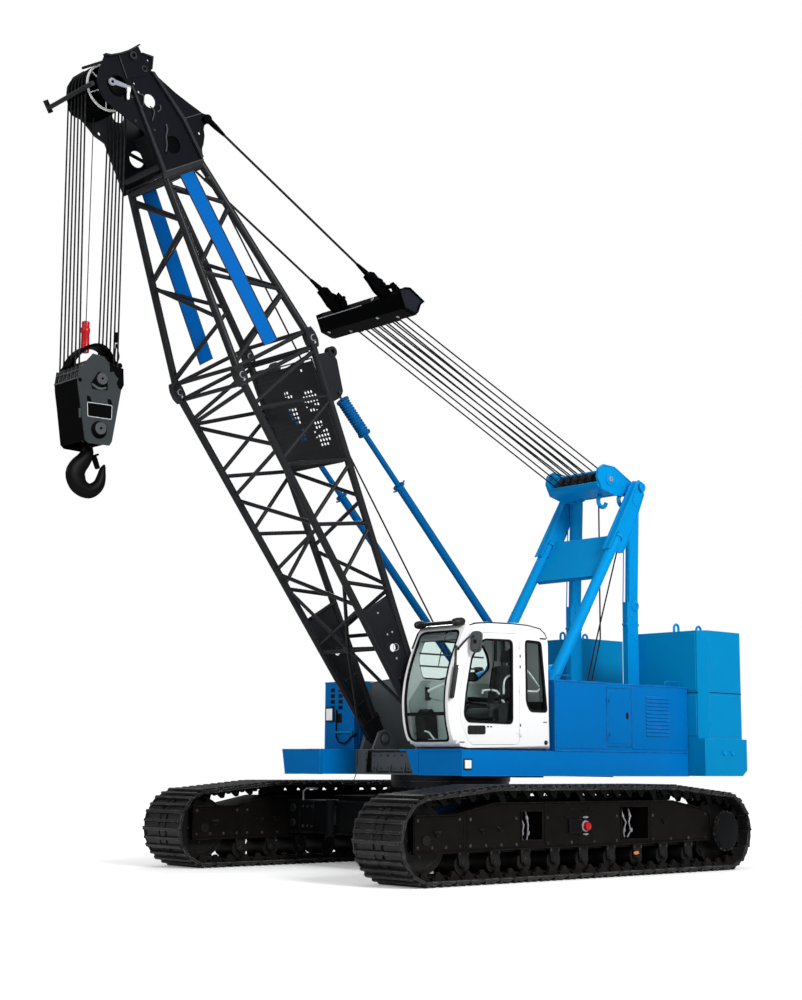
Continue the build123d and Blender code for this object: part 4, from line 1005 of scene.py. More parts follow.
def final_drive(side, name):
    """The stepped cover of the travel drive, with its ring of bolts, and the sprocket's teeth."""
    x = side * TRACK_X
    hub = Solid()
    hub.lathe([(0.355, 0.272), (0.372, 0.285), (0.386, 0.285), (0.392, 0.262), (0.412, 0.262), (0.424, 0.250),
               (0.428, 0.225), (0.430, 0)], (x, 2.9, 0.55), (side, 0, 0), 56)
    hub.piece(f"final_drive_cover_{name}", "undercarriage", CARBODY_BLACK, "track_frame_brown")
    teeth = Solid()
    outline = []
    for number in range(15):
        for share, radius in ((-0.30, 0.385), (-0.14, 0.432), (0.14, 0.432), (0.30, 0.385)):
            turn = math.tau * (number + share) / 15
            outline.append((2.9 + radius * math.cos(turn), 0.55 + radius * math.sin(turn)))
    for face in SIDES:
        teeth.prism(outline, *sorted((x + face * 0.116, x + face * 0.130)))
    teeth.piece(f"sprocket_teeth_{name}", "undercarriage", CAST_IRON, "track_steel", bevel=0.002)
    idler = Solid()
    for face in SIDES:
        idler.lathe([(0.186, 0.40), (0.196, 0.385), (0.196, 0.34), (0.188, 0.33), (0.188, 0.14),
                     (0.215, 0.12),
                     (0.225, 0.085), (0.225, 0)], (x, -2.9, 0.55), (face, 0, 0), 40)
    idler.piece(f"idler_rims_{name}", "undercarriage", CAST_IRON, "track_steel")
    heads = circle_places((x + side * 0.391, 2.9, 0.55), (side, 0, 0), 0.272, 20, 0.5)
    for face in SIDES:
        heads += circle_places((x + face * 0.189, -2.9, 0.55), (face, 0, 0), 0.20, 8)
    bolts(f"drive_bolts_{name}", heads, 0.022, 0.008, "undercarriage", DARK_STEEL, "track_frame_brown")


def frame_plumbing(side, name):
    """Hoses and tubes behind the windows of a side frame, and the red-capped grease point."""
    x = side * (TRACK_X + 0.20)
    pipes = Solid()
    for y0, lean in ((-1.17, 0.05), (-1.06, 0.02), (0.83, 0.06), (0.98, -0.03)):
        pipes.pipe([(x, y0, 0.88), (x + side * 0.02, y0 + 0.01, 0.78), (x + side * 0.03, y0 + lean, 0.70),
                    (x + side * 0.01, y0 + 0.03, 0.58), (x, y0 + lean, 0.50)], 0.011, 8)
        pipes.rod((x + side * 0.012, y0 + 0.002, 0.815), (x + side * 0.022, y0 + 0.012, 0.765), 0.019, 8)
        pipes.rod((x + side * 0.022, y0 + 0.035, 0.62), (x + side * 0.014, y0 + 0.035, 0.57), 0.018, 6)
    pipes.piece(f"frame_hoses_{name}", "undercarriage", GREY_CASTING, "track_frame_brown")
    outer = side * (TRACK_X + FRAME_HALF)
    panel = Solid()
    panel.box(*sorted((outer, outer + side * 0.035)), -0.36, -0.13, 0.58, 0.76)
    panel.box(*sorted((outer, outer + side * 0.02)), -0.15, 0.07, 0.55, 0.80)
    for y, z in ((-0.39, 0.79), (-0.30, 0.89), (0.08, 0.90), (-0.04, 0.86)):
        panel.box(*sorted((outer, outer + side * 0.022)), y - 0.035, y + 0.035, z - 0.011, z + 0.011)
    panel.piece(f"frame_control_box_{name}", "undercarriage", CARBODY_BLACK, "track_frame_brown", bevel=0.006)
    cap = Solid()
    cap.lathe([(0, 0.056), (0.05, 0.058), (0.072, 0.050), (0.080, 0.030), (0.082, 0)],
              (outer + side * 0.012, -0.04, 0.67), (side, 0, 0), 18)
    cap.piece(f"grease_point_cap_{name}", "undercarriage", RED_PAINT, "track_frame_brown")
    collar = Solid()
    collar.lathe([(0, 0.074), (0.016, 0.074), (0.020, 0.064), (0.020, 0.05), (0, 0.05)],
                 (outer + side * 0.018, -0.04, 0.67), (side, 0, 0), 20, ring=True)
    for z in (0.785, 0.565):
        collar.rod((outer, -0.04, z), (outer + side * 0.04, -0.04, z), 0.016, 8)
        collar.box(*sorted((outer + side * 0.012, outer + side * 0.030)), -0.085, 0.01, z - 0.008, z + 0.008)
    collar.piece(f"grease_point_fittings_{name}", "undercarriage", GREY_CASTING, "track_frame_brown",
                 bevel=0.001)
    tag = Solid()
    tag.prism([(1.00, 0.30), (1.09, 0.315), (1.115, 0.28), (1.06, 0.262), (1.01, 0.27)],
              *side_span(side, TRACK_X + 0.255, TRACK_X + 0.275))
    tag.piece(f"frame_tag_{name}", "undercarriage", ORANGE_PAINT, "track_frame_brown", bevel=0.003)


for crawler_side, crawler_name in ((1, "left"), (-1, "right")):
    crawler_frame(crawler_side, crawler_name)
    final_drive(crawler_side, crawler_name)
    frame_plumbing(crawler_side, crawler_name)


# ------------------------------------------------------------------ carbody
def carbody():
    plates = Solid()
    for y in (-1.15, 1.15):
        for z in (0.475, 0.925):
            plates.box(-1.99, 1.99, y - 0.27, y + 0.27, z - 0.012, z + 0.012)
        for x in (-1.72, -1.40, 1.40, 1.72):
            plates.box(x - 0.012, x + 0.012, y - 0.262, y + 0.262, 0.487, 0.913)
    plates.box(-1.19, 1.19, -1.19, 1.19, 0.992, 1.008)
    for turn in range(12):
        angle = math.tau * (turn + 0.5) / 12
        reach = Vector((math.cos(angle), math.sin(angle)))
        across = Vector((-reach.y, reach.x)) * 0.012
        inner, outer = reach * 0.905, reach * 1.10
        corners = [inner - across, outer - across, outer + across, inner + across]
        low = [(*corner, 1.005) for corner in corners]
        high = [(*corners[0], 1.12), (*corners[1], 1.03), (*corners[2], 1.03), (*corners[3], 1.12)]
        plates.shell(low + high,
                     [(0, 1, 2, 3), (7, 6, 5, 4), (0, 4, 5, 1), (1, 5, 6, 2), (2, 6, 7, 3), (3, 7, 4, 0)])
    plates.piece("carbody_flanges", "undercarriage", CARBODY_BLACK, "undercarriage_black", bevel=0.003)
    pins = Solid()
    for x in (-1.85, 1.85):
        for y in (-1.15, 1.15):
            for z in (0.60, 0.82):
                for face in SIDES:
                    pins.lathe([(0, 0.06), (0.02, 0.06), (0.03, 0.048), (0.03, 0)], (x, y + face * 0.262, z),
                               (0, face, 0), 18)
    pins.piece("carbody_pins", "undercarriage", CAST_IRON, "undercarriage_black")
    rails = Solid()
    for y in (-1.42, 1.42):
        rails.pipe([(-1.62, y, 0.93), (-1.62, y, 1.06), (-1.55, y, 1.10), (-1.30, y, 1.10)], 0.012, 8)
        rails.pipe([(0.55, y, 0.93), (0.55, y, 1.03), (0.62, y, 1.07), (0.95, y, 1.07), (1.02, y, 1.03),
                    (1.02, y, 0.93)], 0.012, 8)
    rails.piece("carbody_hand_bars", "undercarriage", GREY_CASTING, "undercarriage_black")
    jacks = Solid()
    for x in (-0.95, 0.95):
        for face in SIDES:
            y = face * 1.45
            jacks.rod((x, y, 0.50), (x, y, 0.95), 0.075, 20)
            jacks.rod((x, y, 0.44), (x, y, 0.52), 0.055, 18)
            jacks.box(x - 0.10, x + 0.10, *sorted((face * 1.36, y)), 0.60, 0.86)
    jacks.piece("carbody_jacks", "undercarriage", CARBODY_BLACK, "undercarriage_black", bevel=0.004)
    swivel = Solid()
    swivel.lathe([(0, 0.30), (0.02, 0.31), (0.09, 0.31), (0.10, 0.20), (0.20, 0.19), (0.21, 0)], (0, 0, 0.48),
                 (0, 0, -1), 28)
    for face in SIDES:
        for shift in (-0.10, 0.0, 0.10):
            swivel.pipe([(face * 0.19, shift, 0.36), (face * 0.55, shift, 0.34),
                         (face * 1.30, shift * 2, 0.40),
                         (face * 1.95, shift * 2, 0.62)], 0.016, 8)
    swivel.piece("travel_hoses", "undercarriage", RUBBER, "undercarriage_black")
    heads = circle_places((0, 0, 1.1303), (0, 0, 1), 0.882, 48)
    for y in (-1.15, 1.15):
        for face in SIDES:
            for z in (0.56, 0.84):
                for x0, x1 in ((-1.66, -1.46), (1.46, 1.66)):
                    skin = y + face * 0.2405
                    heads += row_places((x0, skin, z), (x1, skin, z), 3, (0, face, 0))
    bolts("carbody_bolts", heads, 0.030, 0.012, "undercarriage", DARK_STEEL, "undercarriage_black")


carbody()


# ------------------------------------------------------------------ revolving frame and its front
DECK_TOP = 1.658
UPPER_HALF = 1.594


def hexagon(y, z, radius):
    return [(y + radius * math.cos(math.tau * n / 6), z + radius * math.sin(math.tau * n / 6))
            for n in range(6)]


def arc_points(centre, radius, start, end, count):
    """Points on an arc, as pairs, from one angle in degrees to another."""
    found = []
    for number in range(count + 1):
        turn = math.radians(start + (end - start) * number / count)
        found.append((centre[0] + radius * math.cos(turn), centre[1] + radius * math.sin(turn)))
    return found


def frame_front():
    plates = Solid()
    for side in SIDES:
        curve = arc_points((side * 1.16, 1.52), 0.50, 180 if side > 0 else 0, 215 if side > 0 else -35, 5)
        outline = [(side * 0.44, 1.66), (side * 0.66, 1.66), *curve, (side * 0.70, 1.318),
                   (side * 0.50, 1.318)]
        plates.prism(outline, -1.205, -1.19, axis="y")
        plates.box(*side_span(side, 0.685, 0.705), -1.205, -1.12, 1.34, 1.655)
    plates.box(-0.42, 0.42, -1.150, -1.131, 1.36, 1.62)
    plates.box(-0.725, 0.725, -1.225, -1.185, 1.314, 1.334)
    plates.box(-0.72, 0.72, -1.20, -1.13, 1.652, 1.666)
    for x in (-0.30, 0.0, 0.30):
        plates.prism([(-1.19, 1.34), (-1.131, 1.34), (-1.131, 1.60)], x - 0.008, x + 0.008)
    plates.piece("frame_front_plates", "upper", DECK_GREY, "frame_grey", bevel=0.004)
    ends = Solid()
    for side in SIDES:
        for y, z in ((-0.70, 2.45), (-0.40, 2.15), (0.05, 1.95)):
            ends.lathe([(0, 0.07), (0.010, 0.07), (0.014, 0.058), (0.014, 0)], (side * 0.668, y, z),
                       (side, 0, 0), 20)
        strip(ends, [(-1.13, 1.66), (-1.01, 2.05), (-0.96, 2.62), (-0.20, 2.76), (0.25, 2.30), (0.56, 1.66)],
              0.014,
              *side_span(side, 0.640, 0.700))
        for x in (0.43, 0.655):
            ends.lathe([(0, 0.105), (0.012, 0.105), (0.016, 0.095), (0.016, 0.058), (0, 0.058)],
                       (side * (x + 0.013), BOOM_FOOT.y, BOOM_FOOT.z), (side, 0, 0), 32, ring=True)
    ends.piece("foot_bracket_trim", "upper", DECK_GREY, "frame_grey", bevel=0.002)
    pins = Solid()
    for side in SIDES:
        pins.lathe([(0, 0.054), (0.014, 0.054), (0.018, 0.048), (0.018, 0.02), (0.008, 0.014), (0.008, 0)],
                   (side * 0.680, BOOM_FOOT.y, BOOM_FOOT.z), (side, 0, 0), 28)
        pins.box(*side_span(side, 0.668, 0.684), BOOM_FOOT.y + 0.04, BOOM_FOOT.y + 0.16, BOOM_FOOT.z - 0.022,
                 BOOM_FOOT.z + 0.022)
    pins.piece("foot_pin_keepers", "upper", GREY_CASTING, "pin_steel", bevel=0.002)
    box = Solid()
    box.box(0.668, 0.716, -1.00, -0.86, 2.02, 2.30)
    box.box(0.668, 0.712, -0.80, -0.66, 1.90, 1.97)
    box.piece("foot_bracket_box", "upper", BLACK_PLASTIC, "interior_black", bevel=0.006)
    horn = Solid()
    horn.lathe([(0, 0.0), (0.0, 0.045), (0.02, 0.055), (0.045, 0.06), (0.052, 0.052), (0.03, 0.02),
                (0.028, 0)],
               (0.705, -0.93, 2.05), (0.5, -0.8, 0.25), 20)
    horn.piece("warning_horn", "upper", GREY_CASTING, "pin_steel")
    heads = row_places((-0.36, -1.1505, 1.40), (0.36, -1.1505, 1.40), 6, (0, -1, 0))
    heads += row_places((-0.36, -1.1505, 1.58), (0.36, -1.1505, 1.58), 6, (0, -1, 0))
    for side in SIDES:
        heads += row_places((side * 0.475, -1.2055, 1.36), (side * 0.475, -1.2055, 1.60), 4, (0, -1, 0))
        heads += circle_places((side * 0.669, BOOM_FOOT.y, BOOM_FOOT.z), (side, 0, 0), 0.13, 6)
    bolts("frame_front_bolts", heads, 0.024, 0.009, "upper", DARK_STEEL, "frame_grey")


def front_steps():
    """The cab-side shelf with its sloped end, and the catwalk in front of the far cabinet."""
    shelf = Solid()
    shelf.box(0.36, 0.74, -1.318, -1.13, 1.636, 1.662)
    shelf.prism([(0.50, 1.640), (0.74, 1.640), (0.74, 1.322), (0.64, 1.322)], -1.318, -1.304, axis="y")
    shelf.prism([(0.64, 1.322), (0.66, 1.322), (0.52, 1.640), (0.50, 1.640)], -1.304, -1.21, axis="y")
    shelf.box(0.735, UPPER_HALF + 0.004, -1.324, -1.306, 1.640, 1.668)
    shelf.box(0.735, UPPER_HALF + 0.004, -1.324, -1.306, 1.312, 1.330)
    shelf.piece("cab_side_shelf", "upper", DECK_BLUE_LIGHTENED, "house_blue", bevel=0.004)
    walk = Solid()
    walk.prism([(-1.594, 1.652), (-0.735, 1.652), (-0.735, 1.318), (-1.525, 1.318)], -1.852, -1.838, axis="y")
    walk.prism([(-1.594, 1.652), (-1.578, 1.652), (-1.509, 1.318), (-1.525, 1.318)], -1.838, -1.80, axis="y")
    walk.box(-1.594, -0.728, -1.856, -1.79, 1.652, 1.664)
    walk.box(-1.53, -0.728, -1.856, -1.79, 1.312, 1.322)
    walk.box(-1.17, -1.155, -1.84, -1.79, 1.325, 1.65)
    walk.box(-1.40, -0.80, -1.60, -1.14, 1.660, 1.668)
    walk.box(-0.742, -0.722, -1.856, -1.20, 1.318, 1.664)
    walk.piece("front_catwalk", "upper", HOUSE_BLUE_DARKENED, "house_blue", bevel=0.004)
    treads = []
    for column in range(13):
        for row in range(12):
            treads.append(((-1.36 + 0.042 * column, -1.57 + 0.034 * row, 1.668), (0, 0, 1),
                           (1, 0.8 * (-1) ** (row + column), 0)))
    bar = Solid()
    bar.box(-0.004, 0.004, -0.013, 0.013, 0.0, 0.003)
    tread = pattern(bar, "tread_pattern")
    repeat("catwalk_tread", COPIES, treads, "upper", HOUSE_BLUE_DARKENED, "house_blue", part=tread)
    done_with(tread)
    lamp = Solid()
    lamp.box(1.588, 1.604, -1.29, -1.13, 1.39, 1.54)
    lamp.box(-1.56, -1.37, -1.085, -1.058, 2.065, 2.285)
    lamp.piece("work_lamp_frames", "upper", BLACK_PLASTIC, "interior_black", bevel=0.006)
    glass = Solid()
    glass.box(1.602, 1.608, -1.27, -1.15, 1.41, 1.52)
    glass.box(-1.535, -1.395, -1.090, -1.083, 2.09, 2.26)
    glass.piece("work_lamp_lenses", "upper", LAMP_LENS, "cab_glazing", bevel=0.003)


frame_front()
front_steps()


# ------------------------------------------------------------------ machine houses
def house_details():
    trims = Solid()
    for side, front in ((1, 0.50), (-1, -1.06)):
        outer = side * UPPER_HALF

        def skin(near, far):
            return sorted((outer + side * near, outer + side * far))

        trims.box(*skin(-0.002, 0.007), front + 0.03, 1.585, 1.70, 2.625)
        trims.box(*skin(-0.002, 0.007), 2.165, 3.44, 1.70, 2.625)
        for y0, y1 in ((front, 1.60), (2.15, 3.472)):
            trims.box(*skin(-0.03, 0.010), y0, y1, 2.632, 2.654)
        trims.box(*skin(-0.01, 0.012), front - 0.006, 3.472, 1.655, 1.672)
        trims.box(*side_span(side, 0.915, 1.594), front - 0.008, front + 0.004, 2.62, 2.654)
        for y in (front + 0.4, 1.30, 2.90):
            trims.box(*side_span(side, 0.98, 1.54), y - 0.26, y + 0.26, 2.652, 2.664)
        trims.box(*side_span(side, 0.912, 0.922), front + 0.1, 1.30, 1.75, 2.55)
        trims.box(*side_span(side, 0.912, 0.922), 1.45, 3.35, 1.75, 2.55)
    trims.piece("house_panels", "upper", HOUSE_BLUE_DARKENED, "house_blue", bevel=0.004)
    for side, name in ((1, "left"), (-1, "right")):
        door = Solid()
        door.box(*side_span(side, UPPER_HALF - 0.004, UPPER_HALF + 0.005), 1.64, 2.115, 1.78, 2.54)
        door.piece(f"house_door_panel_{name}", f"house_door_{name}", HOUSE_BLUE_DARKENED, "house_blue", bevel=0.003)
        latch = Solid()
        face = side * (UPPER_HALF + 0.005)
        latch.prism(arc_points((2.058, 2.208), 0.028, 0, 180, 8) + arc_points((2.058, 2.158), 0.028, 180, 360,
                                                                              8),
                    *sorted((face - side * 0.004, face + side * 0.004)))
        latch.box(*sorted((face, face + side * 0.014)), 2.050, 2.066, 2.15, 2.22)
        latch.piece(f"house_door_latch_{name}", f"house_door_{name}", BLACK_PLASTIC, "interior_black",
                    bevel=0.001)
    louvres = []
    for side, y0, y1 in ((-1, 0.05, 0.65), (-1, 2.45, 3.05), (1, 2.45, 3.05)):
        for row in range(11):
            z = 1.92 + 0.055 * row
            louvres.append(((side * (UPPER_HALF + 0.006), (y0 + y1) / 2, z), (side, 0, 0), (0, 0, 1)))
    for side in SIDES:
        for row in range(9):
            louvres.append(((side * 1.25, 3.474, 1.95 + 0.06 * row), (0, 1, 0), (0, 0, 1)))
    blade = Solid()
    blade.prism([(-0.020, 0.0), (0.016, 0.0), (0.010, 0.010), (-0.018, 0.018)], -0.27, 0.27)
    blade = pattern(blade, "louvre_pattern")
    repeat("house_louvres", COPIES, louvres, "upper", HOUSE_BLUE_DARKENED, "house_blue", part=blade)
    done_with(blade)
    cells = Solid()
    for x in (-1.415, -1.235):
        for row in range(4):
            z = 2.275 + 0.085 * row
            cells.box(x - 0.045, x + 0.045, -1.066, -1.055, z - 0.028, z + 0.028)
    cells.box(-1.33, -1.20, -1.064, -1.055, 2.05, 2.19)
    cells.piece("cabinet_vents", "upper", RUBBER, "interior_black", bevel=0.003)
    rail = Solid()
    rail.box(-1.31, -0.94, -1.10, -1.058, 1.90, 1.93)
    for x in (-1.29, -0.97):
        rail.box(x - 0.02, x + 0.02, -1.075, -1.058, 1.86, 1.96)
    rail.piece("cabinet_rail", "upper", WEIGHT_BLUE, "house_blue", bevel=0.004)
    cable = Solid()
    cable.pipe([(-1.31, -1.075, 2.24), (-1.30, -1.085, 2.02), (-1.29, -1.09, 1.84), (-1.22, -1.095, 1.77),
                (-1.10, -1.095, 1.75), (-1.02, -1.09, 1.79), (-0.96, -1.08, 1.85), (-0.90, -1.07, 1.87)],
               0.012, 8)
    cable.rod((-0.93, -1.075, 1.86), (-0.86, -1.065, 1.88), 0.022, 10)
    cable.piece("cabinet_cable", "upper", RUBBER, "interior_black")
    heads = []
    for side, front in ((1, 0.50), (-1, -1.06)):
        aim = (side, 0, 0)
        x = side * (UPPER_HALF + 0.006)
        for y0, y1 in ((front + 0.07, 1.55), (2.20, 3.40)):
            for z in (2.60, 1.73):
                heads += row_places((x, y0, z), (x, y1, z), 6, aim)
        for y in (front + 0.4, 1.30, 2.90):
            for edge in (y - 0.22, y + 0.22):
                heads += row_places((side * 1.02, edge, 2.6645), (side * 1.50, edge, 2.6645), 4, (0, 0, 1))
    bolts("house_bolts", heads, 0.018, 0.006, "upper", HOUSE_BLUE_DARKENED, "house_blue")
    stack = Solid()
    stack.lathe([(0, 0.085), (0.03, 0.085), (0.04, 0.062), (0.30, 0.062), (0.31, 0.075), (0.34, 0.075),
                 (0.345, 0.055),
                 (0.10, 0.05), (0.10, 0)], (-1.25, 1.80, 2.65), (0, 0, 1), 24)
    stack.piece("exhaust_stack", "upper", CAST_IRON, "winch_black")
    grips = Solid()
    for side in SIDES:
        for y0, y1 in ((0.62, 0.95), (3.05, 3.38)):
            x = side * 1.50
            grips.pipe([(x, y0, 2.65), (x, y0, 2.70), (x, y0 + 0.03, 2.73), (x, y1 - 0.03, 2.73),
                        (x, y1, 2.70), (x, y1, 2.65)],
                       0.010, 8)
    grips.piece("roof_grips", "upper", HOUSE_BLUE_DARKENED, "house_blue")
    lips = Solid()
    lips.box(1.575, 1.606, -1.31, 3.472, 1.308, 1.320)
    lips.box(-1.606, -1.575, -1.795, 3.472, 1.308, 1.320)
    lips.box(1.592, 1.598, -1.31, 3.472, 1.648, 1.656)
    lips.box(-1.598, -1.592, -1.795, 3.472, 1.648, 1.656)
    lips.piece("deck_lips", "upper", DECK_BLUE_LIGHTENED, "house_blue", bevel=0.002)
    under = Solid()
    under.box(-1.55, 1.55, 1.75, 1.79, 1.297, 1.318)
    under.box(1.20, 1.56, -0.20, 0.30, 1.290, 1.316)
    under.piece("belly_plates", "upper", CARBODY_BLACK, "frame_grey", bevel=0.003)


house_details()


# ------------------------------------------------------------------ counterweight
def counterweight():
    plates = Solid()
    for side in SIDES:
        for z0, z1 in ((1.90, 2.552), (2.592, 3.500)):
            plates.box(*side_span(side, 0.60, 1.76), 3.480, 3.489, z0 + 0.02, z1 - 0.02)
            plates.box(*side_span(side, 1.902, 1.911), 3.64, 4.40, z0 + 0.02, z1 - 0.02)
            plates.box(*side_span(side, 0.60, 1.76), 4.531, 4.540, z0 + 0.02, z1 - 0.02)
    plates.box(-1.86, 1.86, 4.531, 4.540, 1.44, 1.85)
    plates.piece("counterweight_faces", "upper", WEIGHT_BLUE, "weight_blue", bevel=0.004)
    eyes = Solid()
    for x, y in ((1.20, 3.74), (1.20, 4.30), (-1.20, 3.74), (-1.20, 4.30)):
        loop = [(x, y - 0.055, 3.51)] + [(x, y + dy, z) for dy, z in arc_points((0, 3.60), 0.055, 180, 0, 8)]
        loop += [(x, y + 0.055, 3.51)]
        eyes.pipe(loop, 0.019, 10)
        eyes.box(x - 0.05, x + 0.05, y - 0.09, y + 0.09, 3.512, 3.530)
    for side in SIDES:
        for y in (3.95, 4.15):
            eyes.rod((side * 1.900, y, 1.66), (side * 1.935, y, 1.66), 0.032, 16)
    eyes.piece("counterweight_lifting_eyes", "upper", GANTRY_BLUE, "weight_blue", bevel=0.003)
    gaps = Solid()
    for side in SIDES:
        gaps.box(*side_span(side, 0.62, 1.80), 3.484, 3.492, 2.566, 2.578)
        gaps.box(*side_span(side, 1.900, 1.908), 3.62, 4.42, 2.566, 2.578)
    gaps.piece("counterweight_shims", "upper", RUBBER, "interior_black")
    ties = Solid()
    for x in (-0.35, 0.35):
        ties.box(x - 0.05, x + 0.05, 3.50, 4.50, 1.875, 1.93)
        ties.rod((x, 3.62, 1.93), (x, 3.62, 2.05), 0.03, 14)
        ties.rod((x, 4.35, 1.93), (x, 4.35, 2.05), 0.03, 14)
    ties.piece("counterweight_tie_bars", "upper", CARBODY_BLACK, "weight_blue", bevel=0.004)
    heads = []
    for x in (-1.5, -0.9, -0.3, 0.3, 0.9, 1.5):
        heads += row_places((x, 4.5405, 1.50), (x, 4.5405, 1.79), 2, (0, 1, 0))
    for x in (-0.35, 0.35):
        for y in (3.62, 4.35):
            heads.append(((x, y, 2.0505), (0, 0, 1)))
    bolts("counterweight_bolts", heads, 0.040, 0.018, "upper", DARK_STEEL, "weight_blue")


counterweight()


# ------------------------------------------------------------------ winches
def rope_wraps(x0, x1, radius, pitch):
    """Profile of rope laid side by side on a drum."""
    profile = [(x0, radius - 0.02)]
    count = int((x1 - x0) / pitch)
    for number in range(count):
        start = x0 + pitch * number
        for share, lift in ((0.08, 0.25), (0.3, 0.85), (0.5, 1.0), (0.7, 0.85), (0.92, 0.25)):
            profile.append((start + share * pitch, radius + lift * pitch / 2))
    profile.append((x0 + pitch * count, radius - 0.02))
    return profile


DRUM_PLACES, DRUM_RADII = (0.30, 1.15, 2.35), (0.26, 0.26, 0.21)
DRUM_RISE = 0.42         # drum axis above the deck


def winches():
    wraps, flanges, motors = Solid(), Solid(), Solid()
    z = DECK_TOP + DRUM_RISE
    for y, radius in zip(DRUM_PLACES, DRUM_RADII):
        wraps.lathe(rope_wraps(-0.385, 0.385, radius, 0.0275), (0, y, z), (1, 0, 0), 28)
        for face in SIDES:
            flanges.lathe([(0.0, 0.30 if radius > 0.25 else 0.26), (0.004, radius + 0.112),
                           (0.022, radius + 0.116),
                           (0.026, radius + 0.108), (0.026, 0.09), (0.0, 0.09)], (face * 0.41, y, z),
                          (face, 0, 0), 36, ring=True)
        motors.lathe([(0, 0.13), (0.05, 0.135), (0.06, 0.11), (0.22, 0.10), (0.24, 0.07), (0.24, 0)],
                     (0.472, y, z), (1, 0, 0), 24)
        motors.box(0.46, 0.66, y - 0.05, y + 0.05, z + 0.02, z + 0.14)
    wraps.piece("drum_rope", "upper", ROPE, "rope_steel", smooth=80)
    flanges.piece("drum_flanges", "upper", CAST_IRON, "winch_black")
    motors.piece("winch_motors", "upper", CARBODY_BLACK, "winch_black", bevel=0.003)
    hoses = Solid()
    for y in DRUM_PLACES:
        for shift in (-0.03, 0.03):
            hoses.pipe([(0.60, y + shift, z + 0.13), (0.62, y + shift, z + 0.26),
                        (0.66, y + shift + 0.08, z + 0.30),
                        (0.70, y + shift + 0.16, z + 0.22), (0.70, y + shift + 0.18, 1.68)], 0.014, 8)
    hoses.piece("winch_hoses", "upper", RUBBER, "winch_black")
    heads = []
    for y in DRUM_PLACES:
        for face in SIDES:
            heads += circle_places((face * 0.4705, y, z), (face, 0, 0), 0.16, 8, 0.5)
            heads += row_places((face * 0.4705, y - 0.20, 1.70), (face * 0.4705, y + 0.20, 1.70), 4,
                                (face, 0, 0))
    bolts("winch_bolts", heads, 0.026, 0.010, "upper", DARK_STEEL, "winch_black")


winches()


# ------------------------------------------------------------------ gantry
LEG_FOOT, LEG_PIN = Vector((0, 0.82, 1.80)), Vector((0, 3.45, 5.85))
LEG_RUN = (LEG_PIN - LEG_FOOT).normalized()
LEG_OUT = Vector((0, LEG_RUN.z, -LEG_RUN.y))        # towards the rear and down


def along_leg(x, reach, out=0.0):
    return Vector((x, 0, 0)) + LEG_FOOT + LEG_RUN * reach + LEG_OUT * out


def pin_cap(solid, x, y, z, face, radius, depth=0.022):
    """Domed pin end with a centre drilling."""
    solid.lathe([(0, radius), (depth * 0.6, radius), (depth, radius * 0.82), (depth, radius * 0.3),
                 (depth * 0.5, radius * 0.24),
                 (depth * 0.5, 0)], (x, y, z), (face, 0, 0), 28)


